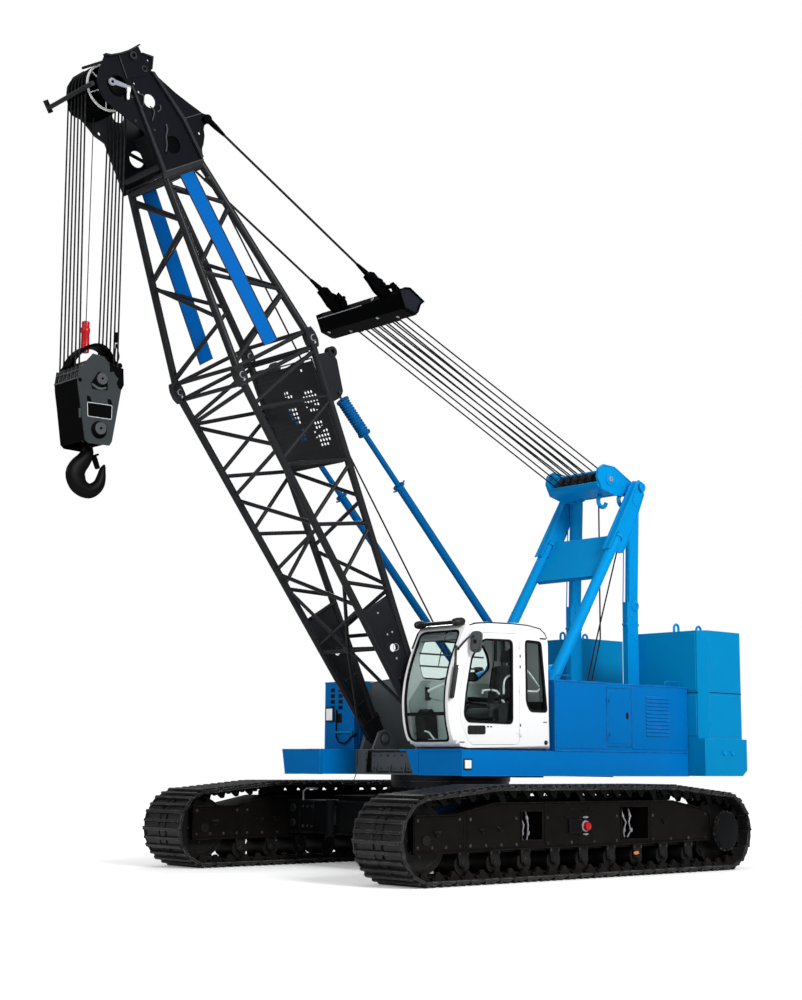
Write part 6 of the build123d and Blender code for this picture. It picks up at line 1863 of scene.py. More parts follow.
def cab_inside():
    seat = Solid()
    seat.prism(rounded([(-0.62, 2.10), (-0.08, 2.08), (-0.06, 2.20), (-0.58, 2.24)], 0.06, 4), 0.93, 1.39)
    seat.prism(rounded([(-0.19, 2.17), (-0.06, 2.15), (0.06, 2.82), (-0.05, 2.86)], 0.05, 4), 0.94, 1.38)
    seat.prism(rounded([(-0.03, 2.90), (0.06, 2.88), (0.085, 3.05), (0.0, 3.07)], 0.04, 4), 1.03, 1.29)
    for x0, x1 in ((0.935, 0.985), (1.335, 1.385)):
        seat.prism(rounded([(-0.61, 2.22), (-0.10, 2.20), (-0.10, 2.26), (-0.60, 2.29)], 0.03, 3), x0, x1)
        seat.prism(rounded([(-0.21, 2.22), (-0.14, 2.20), (-0.03, 2.80), (-0.10, 2.83)], 0.03, 3), x0, x1)
    seat.piece("operator_seat", "upper", SEAT_CLOTH, "interior_black", bevel=0.02)
    base = Solid()
    base.box(0.98, 1.34, -0.54, -0.14, 1.95, 2.09)
    base.prism([(-0.56, 1.74), (-0.14, 1.74), (-0.20, 1.96), (-0.50, 1.96)], 1.02, 1.30)
    for x in (1.10, 1.22):
        base.rod((x, 0.0, 2.80), (x, 0.025, 2.92), 0.010, 8)
    for x0, x1 in ((0.86, 0.93), (1.39, 1.46)):
        base.prism(rounded([(-0.50, 2.33), (-0.10, 2.33), (-0.10, 2.39), (-0.50, 2.40)], 0.03, 3), x0, x1)
    for x0, x1, y0, y1, top in ((0.765, 0.895, -0.70, 0.05, 2.30), (1.425, 1.535, -0.56, -0.06, 2.28)):
        base.prism(rounded([(y0, 1.73), (y1, 1.73), (y1, top), (y0 + 0.12, top + 0.03), (y0, top - 0.08)],
                           0.04, 3), x0, x1)
    base.prism(rounded([(-1.36, 1.73), (-1.16, 1.73), (-1.20, 2.12), (-1.30, 2.22), (-1.41, 2.10)], 0.04, 3),
               0.765, 0.98)
    base.box(0.74, 1.54, -1.30, 0.30, 1.722, 1.735)
    base.box(0.75, 1.53, 0.28, 0.345, 1.74, 2.34)
    base.piece("cab_seat_base_and_consoles", "upper", BLACK_PLASTIC, "interior_black", bevel=0.008,
               replaces=("cab_interior",))
    sticks = Solid()
    for x, y in ((0.83, -0.60), (0.83, -0.48), (1.48, -0.46), (1.48, -0.36)):
        sticks.pipe([(x, y, 2.28), (x, y - 0.01, 2.38), (x, y - 0.03, 2.46)], 0.008, 8)
        sticks.lathe([(0, 0), (0.0, 0.015), (0.02, 0.024), (0.06, 0.022), (0.085, 0.012), (0.09, 0)],
                     (x, y - 0.025, 2.43),
                     (0, -0.2, 1), 14)
    for x in (1.02, 1.24):
        sticks.pipe([(x, -1.08, 1.735), (x, -1.06, 1.86), (x, -1.02, 1.98)], 0.010, 8)
        sticks.box(x - 0.05, x + 0.05, -1.20, -1.04, 1.76, 1.775)
    sticks.piece("cab_levers", "upper", BLACK_PLASTIC, "interior_black", bevel=0.002)
    screen = Solid(Matrix.Translation((0.86, -1.13, 2.42)) @ Matrix.Rotation(math.radians(30), 4, "Z"))
    screen.box(-0.13, 0.13, -0.02, 0.02, -0.09, 0.09)
    screen.rod((0.0, 0.0, -0.20), (0.0, 0.0, -0.08), 0.014, 10)
    screen.piece("operator_screen", "upper", BLACK_PLASTIC, "interior_black", bevel=0.008)
    trim = Solid()
    header = [(-1.27, 3.24), (-1.18, 3.30), (-0.60, 3.345), (0.16, 3.355), (0.27, 3.28), (0.27, 3.24),
              (-0.60, 3.30), (-1.16, 3.22),
              (-1.25, 3.12)]
    trim.prism(header, 0.735, 1.549)
    trim.prism([(-1.335, 3.13), (-1.27, 3.24), (-1.245, 3.23), (-1.31, 3.12)], 0.75, 1.54)
    trim.prism([(0.29, 2.34), (0.345, 2.34), (0.315, 3.24), (0.27, 3.24)], 0.735, 0.80)
    trim.prism([(0.29, 2.34), (0.345, 2.34), (0.315, 3.24), (0.27, 3.24)], 1.49, 1.549)
    for z in (2.80, 2.97):
        trim.box(0.733, 0.745, -1.30, -0.06, z - 0.012, z + 0.012)
    trim.piece("cab_lining", "upper", GREY_PLASTIC, "interior_black", bevel=0.004)
    pale = Solid()
    pale.prism(rounded([(-1.40, 1.80), (0.30, 1.80), (0.32, 2.60), (-1.26, 2.60), (-1.50, 2.30)], 0.04, 3),
               0.733, 0.752)
    pale.prism(rounded([(0.11, 2.60), (0.31, 2.60), (0.28, 3.24), (0.11, 3.24)], 0.02, 3), 0.733, 0.752)
    cover = [(0.752, 2.40), (0.752, 2.54), (0.845, 2.592), (1.11, 2.60), (1.15, 2.651), (1.29, 2.708),
             (1.43, 2.75), (1.43, 2.28),
             (0.888, 2.342)]
    pale.prism(rounded(cover, 0.05, 4), -1.18, -1.15, "y")
    pale.prism(rounded([(0.752, 1.80), (0.752, 2.39), (0.888, 2.33), (1.43, 2.27), (1.43, 1.80)], 0.04, 3),
               -1.17, -1.14, "y")
    pale.prism(rounded([(0.752, 1.735), (0.752, 1.80), (1.53, 1.80), (1.53, 1.735)], 0.01, 2), -1.36, -1.15,
               "y")
    pale.piece("cab_pale_lining", "upper", PALE_PLASTIC, "interior_black", bevel=0.004)
    tubes = Solid()
    tubes.pipe(smooth_line([(1.50, -0.24, 2.69), (1.50, -0.34, 2.67), (1.50, -0.41, 2.61),
                            (1.50, -0.43, 2.52), (1.50, -0.43, 2.42)]),
               0.014, 10)
    tubes.pipe(smooth_line([(1.50, -0.46, 2.34), (1.50, -0.39, 2.27), (1.50, -0.37, 2.19),
                            (1.50, -0.43, 2.04)]), 0.014, 10)
    for radius, *points in (
        (0.014, (1.50, -0.844, 2.41), (1.50, -0.825, 2.46), (1.50, -0.70, 2.47)),
        (0.014, (1.50, -0.65, 2.47), (1.50, -0.57, 2.46), (1.50, -0.515, 2.42)),
        (0.012, (1.50, 0.0, 2.80), (1.50, 0.13, 2.69), (1.50, 0.286, 2.545)),
        (0.014, (1.50, 0.03, 2.475), (1.50, 0.234, 2.48), (1.50, 0.32, 2.53)),
        (0.020, (1.03, -1.40, 2.44), (1.20, -1.40, 2.49), (1.36, -1.38, 2.54)),
        (0.012, (0.95, -1.39, 1.905), (1.03, -1.39, 1.89), (1.155, -1.38, 1.77)),
    ):
        tubes.pipe(points, radius, 10)
    tubes.piece("cab_grab_tubes", "upper", PLATE_WHITE, "cab_white")


cab_shell()
cab_windows()
cab_fittings()
cab_inside()


# ------------------------------------------------------------------ boom
# Drawn lying flat: x, down the boom, across it.
def flat(*places):
    """Outline points from (along, across) pairs of the boom."""
    return [(-along, across) for along, across in places]


def spot(x, along, across):
    return (x, -along, across)


PLATE_X = 0.479
HEAD_BACK = [(9.84, 0.26), (9.71, 0.16), (9.356, 0.386), (9.17, 0.53), (9.00, 0.668), (8.96, 0.73),
             (8.90, 0.742), (8.86, 0.70),
             (8.84, 0.62), (8.80, 0.585), (8.716, 0.554), (8.62, 0.48), (8.576, 0.429), (8.405, 0.36)]
NEAR_HEAD = [(8.405, -0.345), (8.80, -0.325), (9.03, -0.335), (9.22, -0.47), (9.43, -0.635), (9.58, -0.715),
             (9.70, -0.725),
             (9.81, -0.695), (9.92, -0.60), (10.065, -0.43), (10.03, -0.20), (10.055, 0.12), (9.95, 0.13),
             *HEAD_BACK]
FAR_HEAD = [(8.405, -0.345), (8.70, -0.315), (9.124, -0.285), (9.265, -0.393), (9.45, -0.45), (9.60, -0.53),
            (9.72, -0.57),
            (9.84, -0.545), (9.96, -0.46), (10.05, -0.31), (10.08, -0.13), (10.03, 0.05), *HEAD_BACK]


def hole(along, across, radius, x0, x1):
    return Solid(BOOM).rod(spot(x0, along, across), spot(x1, along, across), radius, 28, 0.0005)


def head_plates():
    near = carved(
        Solid(BOOM).prism(flat(*NEAR_HEAD), 0.455, PLATE_X),
        *[("DIFFERENCE", hole(*at, 0.40, 0.55)) for at in (
            (8.753, 0.003, 0.118), (9.363, -0.057, 0.092), (9.769, 0.04, 0.022), (9.628, -0.173, 0.016),
            (8.688, -0.161, 0.018),
            (8.769, 0.491, 0.020), (9.845, 0.175, 0.022), (9.51, -0.161, 0.018), (9.953, -0.036, 0.026))])
    near.piece("head_plate_near", "boom", HEAD_BLACK, "boom_black", bevel=0.004, replaces=("boom_head",))
    far = carved(
        Solid(BOOM).prism(flat(*FAR_HEAD), -PLATE_X, -0.455),
        *[("DIFFERENCE", hole(*at, -0.55, -0.40)) for at in (
            (8.793, 0.096, 0.115), (9.40, 0.10, 0.095), (9.266, -0.304, 0.022))])
    far.piece("head_plate_far", "boom", BOOM_BLACK, "boom_black", bevel=0.004)
    stiff = Solid(BOOM)
    stiff.prism(flat((10.025, -0.232), (10.045, 0.115), (9.945, 0.12), (9.84, 0.25), (9.715, 0.155),
                     (9.672, 0.023),
                     (9.705, -0.263)), PLATE_X, 0.492)
    stiff = carved(stiff, ("DIFFERENCE", hole(9.769, 0.04, 0.020, 0.40, 0.55)),
                   ("DIFFERENCE", hole(9.844, 0.178, 0.020, 0.40, 0.55)))
    stiff.piece("head_stiffener", "boom", HEAD_BLACK, "boom_black", bevel=0.004)
    trim = Solid(BOOM)
    for sharp in (((10.085, -0.435), (10.05, -0.36), (10.035, -0.22), (10.035, -0.08), (10.065, 0.125),
                   (10.045, 0.13),
                   (10.015, -0.08), (10.015, -0.22), (10.03, -0.36), (10.05, -0.42)),):
        trim.prism(flat(*sharp), 0.445, 0.525)
    trim.prism(flat((9.94, 0.115), (9.955, 0.12), (9.865, 0.265), (9.72, 0.165), (9.725, 0.148),
                    (9.855, 0.24)), 0.455, 0.515)
    trim.prism(flat((9.60, -0.262), (9.60, -0.235), (8.47, -0.29), (8.47, -0.335)), PLATE_X, 0.520)
    trim.prism(flat((9.70, 0.135), (9.68, 0.175), (9.01, 0.345), (8.47, 0.372), (8.47, 0.330), (8.99, 0.30)),
               PLATE_X, 0.520)
    trim.prism(flat((8.48, -0.335), (8.395, -0.345), (8.395, 0.36), (8.45, 0.37)), PLATE_X, 0.486)
    for x0, x1 in ((-0.455, -0.40), (0.40, 0.455)):
        trim.prism(flat((8.405, -0.30), (8.445, -0.30), (8.445, 0.40), (8.405, 0.40)), x0, x1)
    trim.piece("head_ribs_near", "boom", BOOM_BLACK, "boom_black", bevel=0.003)
    lines = Solid(BOOM)
    # Thin light grey rods: a seam line, and along the lower cross edges of both head plates a painted
    # highlight.
    for low, high, radius in (
        ((0.484, 9.012, 0.341), (0.484, 8.998, 0.645), 0.007),
        ((0.489, 8.475, -0.31), (0.489, 8.445, 0.37), 0.009),
        ((-0.45, 8.455, -0.28), (-0.45, 8.425, 0.31), 0.012),
        ((0.494, 10.02, -0.234), (0.494, 9.71, -0.262), 0.005),
    ):
        lines.rod(spot(*low), spot(*high), radius, 6)
    lines.piece("head_seam_beads", "boom", BEAD_AND_HIGHLIGHT_GREY, "boom_black")
    cap = Solid(BOOM)
    # The first disc sits just inside the near plate's large hole and keeps it black: painted shade of the
    # head's inside.
    cap.rod(spot(0.442, 8.753, 0.003), spot(0.4545, 8.753, 0.003), 0.130, 32, 0.0005)
    boss = Solid(BOOM)
    for side in SIDES:
        boss.lathe([(0, 0.058), (0.028, 0.056), (0.034, 0.05), (0.034, 0.028), (0.0, 0.028)],
                   spot(side * (0.478 if side < 0 else 0.490), 9.953, -0.036), (side, 0, 0), 24, ring=True)
        cap.lathe([(0, 0.135), (0.016, 0.135), (0.022, 0.125), (0.022, 0)], spot(side * 0.478, 9.665, -0.440),
                  (side, 0, 0), 32)
    boss.lathe([(0, 0.046), (0.014, 0.043), (0.014, 0.024), (0, 0.024)], spot(0.490, 9.755, 0.055), (1, 0, 0),
               20, ring=True)
    for along, across in ((9.48, -0.30), (9.33, -0.22), (9.19, -0.40), (9.004, -0.18)):
        boss.lathe([(0, 0.018), (0.010, 0.018), (0.012, 0)], spot(0.478, along, across), (1, 0, 0), 10)
    cap.piece("head_pin_caps", "boom", DEEP_BLACK, "boom_black")
    boss.piece("head_bosses", "boom", BOOM_BLACK, "boom_black")


def head_fittings():
    """Sheave guards, cross bars, pin lever, hanging link and hoses of the boom head."""
    lever = Solid(BOOM)
    lever.lathe([(0.026, 0.050), (0.048, 0.050), (0.054, 0.044), (0.054, 0.022), (0.026, 0.022)],
                spot(0.478, 9.729, -0.520),
                (1, 0, 0), 24, ring=True)
    lever.prism(flat((9.690, -0.540), (9.684, -0.500), (9.572, -0.298), (9.600, -0.272), (9.770, -0.500),
                     (9.742, -0.478), (9.716, -0.478)), 0.503, 0.522)
    lever.piece("head_pin_lever", "boom", LEVER_GREY, "pin_steel", bevel=0.003)
    link = Solid(BOOM)
    link.lathe([(0, 0.016), (0.004, 0.026), (0.05, 0.026), (0.055, 0.016)], spot(0.515, 9.595, -0.315),
               (0, 0.854, -0.52), 12)
    link.lathe([(0, 0.010), (0.01, 0.019), (0.10, 0.019), (0.11, 0.010)], spot(0.525, 9.555, -0.350),
               (0, 0.854, -0.52), 12)
    link.piece("head_hanging_link", "boom", PLATE_WHITE, "pin_steel")
    hose = Solid(BOOM)
    # Light grey hose loops; their colour also stands for the small highlights round the head's holes: painted
    # highlight.
    hose.pipe(smooth([spot(0.49, 9.02, 0.03), spot(0.50, 8.95, 0.0), spot(0.50, 8.88, -0.06),
                      spot(0.50, 8.78, -0.10),
                      spot(0.495, 8.70, -0.16)]), 0.010, 8)
    hose.pipe(smooth([spot(0.49, 9.50, -0.20), spot(0.505, 9.45, -0.14), spot(0.505, 9.41, -0.155),
                      spot(0.495, 9.34, -0.19)]),
              0.008, 8)
    hose.pipe(smooth([spot(0.49, 9.30, -0.10), spot(0.505, 9.24, -0.075), spot(0.505, 9.19, -0.10),
                      spot(0.49, 9.12, -0.16)]),
              0.008, 8)
    hose.pipe(smooth([spot(0.49, 9.27, 0.06), spot(0.505, 9.22, 0.03), spot(0.49, 9.20, -0.02)]), 0.008, 8)
    hose.piece("head_cables", "boom", BEAD_AND_HIGHLIGHT_GREY, "boom_black")
    bars = Solid(BOOM)
    # the rope guard stands just ahead of the front falls
    bars.rod(spot(-0.60, 9.793, -0.773), spot(0.470, 9.793, -0.773), 0.030, 20)
    bars.box(-0.615, -0.588, -9.898, -9.728, -0.803, -0.738)
    bars.rod(spot(0.46, 10.000, -0.425), spot(0.0, 10.060, -0.470), 0.018, 14)
    for along, across in ((8.56, -0.26), (8.56, 0.38), (9.93, -0.13)):
        bars.rod(spot(-0.452, along, across), spot(0.452, along, across), 0.045, 18)
    bars.rod(spot(-0.40, 8.88, -0.02), spot(-0.44, 8.70, 0.20), 0.024, 10)
    bars.piece("head_cross_bars", "boom", BOOM_BLACK, "boom_black")
    inside = Solid(BOOM)
    # Sheets inside the head, behind its holes, that keep the view through them dark: painted shade.
    inside.box(-0.452, 0.452, -9.16, -8.62, 0.36, 0.372)
    inside.box(-0.30, 0.452, -9.02, -8.62, 0.06, 0.072)
    inside.box(-0.452, 0.452, -8.46, -8.44, -0.26, 0.30)
    for x in (-0.20, 0.0, 0.20):
        inside.lathe([(-0.03, 0.03), (-0.03, 0.15), (-0.02, 0.155), (0, 0.135), (0.02, 0.155), (0.03, 0.15),
                      (0.03, 0.03)],
                     spot(x, 8.93, 0.53), (1, 0, 0), 28, ring=True)
    inside.rod(spot(-0.452, 8.93, 0.53), spot(0.452, 8.93, 0.53), 0.032, 16)
    inside.piece("head_lead_rollers", "boom", BOOM_BLACK, "boom_black", bevel=0.002)
    frame = Solid(BOOM)
    for side in SIDES:
        frame.rod(spot(side * 0.405, 8.385, -0.26), spot(side * 0.405, 8.385, 0.36), 0.050, 16)
    frame.rod(spot(-0.39, 8.385, -0.262), spot(0.39, 8.385, -0.262), 0.045, 16)
    frame.rod(spot(-0.39, 8.385, 0.345), spot(0.39, 8.385, 0.345), 0.045, 16)
    frame.piece("head_end_frame", "boom", BOOM_BLACK, "boom_black")
    # A light ring and spokes on the near sheave's face: painted highlight of its rim and web.
    rim = Solid()
    near = HEAD_AXLE + Vector((0.243, 0, 0))
    rim.lathe([(-0.002, 0.312), (0.006, 0.311), (0.006, 0.282), (-0.002, 0.280)], near, (1, 0, 0), 56,
              ring=True)
    for number in range(6):
        turn = math.radians(25 + 60 * number)
        inner = near + Vector((-0.004, 0.11 * math.cos(turn), 0.11 * math.sin(turn)))
        outer = near + Vector((-0.004, 0.280 * math.cos(turn + 0.05), 0.280 * math.sin(turn + 0.05)))
        rim.rod(inner, outer, 0.008, 6)
    rim.piece("head_sheave_rim", "boom", PLATE_WHITE, "sheave_iron")


def smooth(points):
    return smooth_line(points, 3)


def joint_fittings():
    """Collars, pin heads and bolts where the boom sections join, and at the boom's ends."""
    collars, heads = Solid(BOOM), Solid(BOOM)
    glints = []
    for side in SIDES:
        for across, half in ((-0.674, 0.702), (0.677, 0.702)):
            x = side * half
            for along in (5.625, 5.885):
                collars.lathe([(-0.012, 0.05), (-0.012, 0.072), (0.012, 0.072), (0.012, 0.05)],
                              spot(x, along, across), (0, 1, 0), 20)
            collars.prism(flat((5.63, across - 0.058), (5.63, across + 0.058), (5.70, across + 0.082),
                               (5.80, across + 0.082),
                               (5.88, across + 0.058), (5.88, across - 0.058), (5.80, across - 0.082),
                               (5.70, across - 0.082)),
                          x - 0.052, x + 0.052)
            for out in SIDES:
                heads.lathe([(0, 0.046), (0.016, 0.046), (0.022, 0.040), (0.022, 0)],
                            spot(x + out * 0.052, 5.75, across),
                            (out, 0, 0), 20)
                glints.append((BOOM @ Vector(spot(x + out * 0.053, 5.685, across)), Vector((out, 0, 0))))
    collars.piece("chord_joint_collars", "boom", BOOM_BLACK, "boom_black", bevel=0.004)
    heads.piece("chord_joint_pins", "boom", GREY_CASTING, "pin_steel")
    bolts("chord_joint_bolts", glints, 0.030, 0.014, "boom", PALE_STEEL, "pin_steel")
    rings = Solid(BOOM)
    for side in SIDES:
        for across in (-0.26, 0.372):
            rings.lathe([(-0.02, 0.05), (-0.02, 0.060), (0.02, 0.060), (0.02, 0.05)],
                        spot(side * (0.411 if across < 0 else 0.411), 8.20, across), (0, 1, 0), 20)
    rings.piece("chord_end_rings", "boom", BOOM_BLACK, "boom_black", bevel=0.002)


def boards():
    """Blank side boards with turned edges."""
    plates, edges = Solid(BOOM), Solid(BOOM)
    for side in SIDES:
        x0, x1 = 0.690, 0.405
        mid0, mid1 = 0.0005, 0.058
        points = [(side * (x0 + 0.036), -5.945, mid0 - 0.118), (side * (x0 + 0.036), -5.945, mid0 + 0.118),
                  (side * (x1 + 0.036), -8.41, mid1 + 0.118), (side * (x1 + 0.036), -8.41, mid1 - 0.118)]
        deep = [(x - side * 0.012, y, z) for x, y, z in points]
        plates.shell(points + deep,
                     [(0, 1, 2, 3), (7, 6, 5, 4), (0, 4, 5, 1), (1, 5, 6, 2), (2, 6, 7, 3), (3, 7, 4, 0)])
        for low, high in ((0, 3), (1, 2)):
            edges.rod(points[low], points[high], 0.009, 8)
    plates.piece("side_boards", "boom", BOARD_BLUE, "board_blue", bevel=0.003, replaces=("boom_boards",))
    edges.piece("side_board_edges", "boom", BOOM_BLACK, "boom_black")


def walkway():
    """A sheet with turned edges on the back of the butt section; four patches of it are punched."""
    pitch, wide = 0.062, 0.62
    centre0, centre1 = Vector(spot(0.0, 4.05, 0.462)), Vector(spot(0.0, 5.50, 0.628))
    run = (centre1 - centre0).normalized()
    normal = Vector((1, 0, 0)).cross(run).normalized()
    if normal.z > 0:
        normal = -normal
    count_along = int((centre1 - centre0).length / pitch)
    count_wide = int(2 * wide / pitch)
    punched, plain = [], Solid(BOOM)
    turn = BOOM.to_3x3()
    patches = ((0.35, 4.94, 0.16, 0.15), (0.36, 4.48, 0.16, 0.20), (-0.10, 5.08, 0.08, 0.08),
               (-0.08, 4.80, 0.11, 0.14),
               (-0.05, 4.50, 0.08, 0.08), (0.36, 5.356, 0.04, 0.04), (-0.17, 5.30, 0.04, 0.04))
    runs = {}

    def sheet(first, last, start, end):
        """One plain part of the sheet, between two rows and two columns."""
        low, high = centre0 + run * first * pitch, centre0 + run * last * pitch
        left, right = Vector((-wide + start * pitch, 0, 0)), Vector((-wide + end * pitch, 0, 0))
        top = [low + left, low + right, high + right, high + left]
        under = [point + normal * 0.006 for point in top]
        plain.shell(top + under,
                    [(0, 1, 2, 3), (7, 6, 5, 4), (0, 4, 5, 1), (1, 5, 6, 2), (2, 6, 7, 3), (3, 7, 4, 0)])

    for row in range(count_along + 1):
        found, start = set(), None
        for column in range(count_wide + 1 if row < count_along else 0):
            x = -wide + (column + 0.5) * pitch
            along = 4.05 + (row + 0.5) * pitch * 0.9935
            open_cell = column < count_wide and any(((x - cx) / rx) ** 2 + ((along - cs) / rs) ** 2 < 1.0
                                                    for cx, cs, rx, rs in patches)
            if open_cell:
                punched.append((BOOM @ (centre0 + run * (row + 0.5) * pitch + Vector((x, 0, 0))),
                                turn @ normal, turn @ run))
            if open_cell or column == count_wide:
                if start is not None:
                    found.add((start, column))
                start = None
            elif start is None:
                start = column
        for span in [span for span in runs if span not in found]:
            sheet(runs.pop(span), row, *span)
        for span in found:
            runs.setdefault(span, row)
    plain.piece("walkway_sheet", "boom", BOOM_BLACK, "walkway_black", replaces=("boom_walkway",))
    repeat("walkway_punched_patches", punched_tree(), punched, "boom", BOOM_BLACK, "walkway_black",
           cell=pitch, hole=0.042,
           thickness=0.006)
    rails = Solid(BOOM)
    for side in SIDES:
        low = centre0 + Vector((side * (wide + 0.004), 0, 0))
        high = centre1 + Vector((side * (wide - 0.004), 0, 0))
        rails.pipe([low, high], 0.012, 6)
        for share in (0.12, 0.5, 0.88):
            at = low.lerp(high, share)
            rails.box(*sorted((at.x, at.x + side * 0.07)), at.y - 0.02, at.y + 0.02, at.z - 0.008,
                      at.z + 0.004)
    for at in (centre0, centre1):
        rails.box(-wide, wide, at.y - 0.006, at.y + 0.006, at.z - 0.045, at.z + 0.006)
    rails.box(-0.60, 0.60, -5.615, -5.585, 0.628, 0.652)
    rails.piece("walkway_edges", "boom", BOOM_BLACK, "walkway_black")


def foot_section():
    """Ribs and holes of the plated foot, the spread of tubes between its sides, and the foot lugs."""
    frame, marks = Solid(BOOM), Solid(BOOM)
    node = spot(-0.02, 1.59, -0.285)
    for end in (spot(0.60, 2.60, -0.385), spot(0.575, 1.57, -0.285), spot(0.56, 0.62, -0.215),
                spot(-0.60, 2.60, -0.385),
                spot(-0.575, 1.59, -0.285), spot(-0.56, 0.45, -0.205)):
        frame.rod(node, end, 0.026, 14)
    frame.rod(spot(0.565, 1.80, -0.24), spot(0.565, 1.15, -0.20), 0.022, 12)
    frame.lathe([(-0.05, 0.0), (-0.045, 0.05), (0.045, 0.05), (0.05, 0)], node, (0, 0, 1), 18)
    for side in SIDES:
        x = side * 0.592
        for along, low, high in ((2.085, -0.25, 0.25), (0.60, -0.12, 0.09), (1.02, -0.16, 0.13)):
            frame.rod(spot(x - side * 0.02, along, low), spot(x - side * 0.02, along, high), 0.026, 12)
        frame.prism(flat((0.34, 0.17), (0.24, 0.175), (0.16, 0.075), (0.10, 0.10), (0.30, -0.02),
                         (0.40, 0.05)),
                    *side_span(side, 0.575, 0.600))
        frame.lathe([(0, 0.085), (0.015, 0.085), (0.02, 0.075), (0.02, 0.055), (0, 0.055)],
                    spot(side * 0.603, 0.0, 0.0),
                    (side, 0, 0), 28, ring=True)
        for along, across, radius in ((1.991, -0.059, 0.014), (1.658, -0.053, 0.014), (1.646, 0.040, 0.014),
                                      (1.297, -0.071, 0.014)):
            marks.lathe([(0, radius), (0.004, radius), (0.004, 0)], spot(side * 0.6165, along, across),
                        (side, 0, 0), 12)
        marks.lathe([(0, 0.052), (0.006, 0.050), (0.006, 0.044), (0, 0.044)],
                    spot(side * 0.614, 1.434, -0.002), (side, 0, 0), 20, ring=True)
    frame.piece("foot_section_frame", "boom", BOOM_BLACK, "boom_black")
    marks.piece("foot_section_marks", "boom", PALE_STEEL, "pin_steel")


def backstop_ears():
    eyes, webs = Solid(BOOM), Solid(BOOM)
    for side in SIDES:
        x = side * 0.622
        webs.lathe([(-0.048, 0.034), (-0.048, 0.075), (0.048, 0.075), (0.048, 0.034)], spot(x, 5.446, 0.985),
                   (1, 0, 0), 26, ring=True)
        webs.prism(flat((5.15, 0.80), (5.10, 0.93), (5.38, 1.035), (5.42, 0.92), (5.40, 0.80)), x - 0.008,
                   x + 0.008)
        eyes.lathe([(0, 0.030), (0.012, 0.030), (0.016, 0.024), (0.016, 0)],
                   spot(x + side * 0.050, 4.90, 0.815), (side, 0, 0), 18)
    webs.piece("backstop_ear_webs", "boom", BOOM_BLACK, "boom_black", bevel=0.003)
    eyes.piece("backstop_pin_heads", "boom", BOOM_BLACK, "pin_steel")


def backstop_details():
    """Spring coils, caps and collars along the backstops."""
    across = Vector((1, 0, 0)).cross(STOP_RUN).normalized()
    foot = Vector((0.0, 0.94, 2.70))
    coils, caps, collars = Solid(), Solid(), Solid()
    head = Vector(on_boom(0.0, 4.90, 0.815))
    reach = (head - foot).length
    for side in SIDES:
        x = Vector((side * 0.622, 0, 0))
        start, end, turns = reach - 0.66, reach - 0.12, 13
        points = []
        for number in range(turns * 10 + 1):
            turn = math.tau * number / 10
            place = foot + x + STOP_RUN * (start + (end - start) * number / (turns * 10))
            points.append(place + Vector((1, 0, 0)) * 0.080 * math.cos(turn)
                          + across * 0.080 * math.sin(turn))
        coils.pipe(points, 0.010, 6)
        for along in (reach - 0.685, reach - 0.125):
            caps.lathe([(-0.014, 0.04), (-0.014, 0.094), (0.014, 0.094), (0.014, 0.04)],
                       foot + x + STOP_RUN * along, STOP_RUN, 26)
        collars.lathe([(-0.012, 0.058), (-0.012, 0.086), (0.012, 0.086), (0.012, 0.058)],
                      foot + x + STOP_RUN * 3.63, STOP_RUN, 26,
                      ring=True)
        for out in SIDES:
            collars.rod(foot + x + STOP_RUN * 3.60 + across * out * 0.075,
                        foot + x + STOP_RUN * 3.63 + across * out * 0.135, 0.012, 8)
        collars.lathe([(-0.02, 0.058), (-0.02, 0.070), (0.05, 0.070), (0.06, 0.058)],
                      foot + x + STOP_RUN * 0.18, STOP_RUN, 24, ring=True)
    coils.piece("backstop_springs", "backstop_rods", STOP_BLUE, "house_blue")
    caps.piece("backstop_spring_caps", "backstop_rods", STOP_BLUE, "house_blue", bevel=0.003)
    collars.piece("backstop_collars", "backstop_tubes", STOP_BLUE, "house_blue", bevel=0.003)


head_plates()
head_fittings()
joint_fittings()
boards()
walkway()
foot_section()
backstop_ears()
backstop_details()


# ------------------------------------------------------------------ ropes, bridle, hook block and hook
BRIDLE_AXLE = Vector((0, -1.45, 7.78))
FALL_UP = Vector((0, FALL_RUN.z, -FALL_RUN.y))
PENDANT_X = 0.515


def from_bridle(x, ahead, above):
    """A point measured from the bridle's sheave pin, along the ropes and above them."""
    return BRIDLE_AXLE + FALL_RUN * ahead + FALL_UP * above + Vector((x, 0, 0))


def bridle_outline(*places):
    return [tuple(from_bridle(0, ahead, above))[1:] for ahead, above in places]


def by_hook(*places):
    """Outline points of the hook block: level from the head pin's plumb line, and height."""
    return [(HOOK_Y + level, height) for level, height in places]


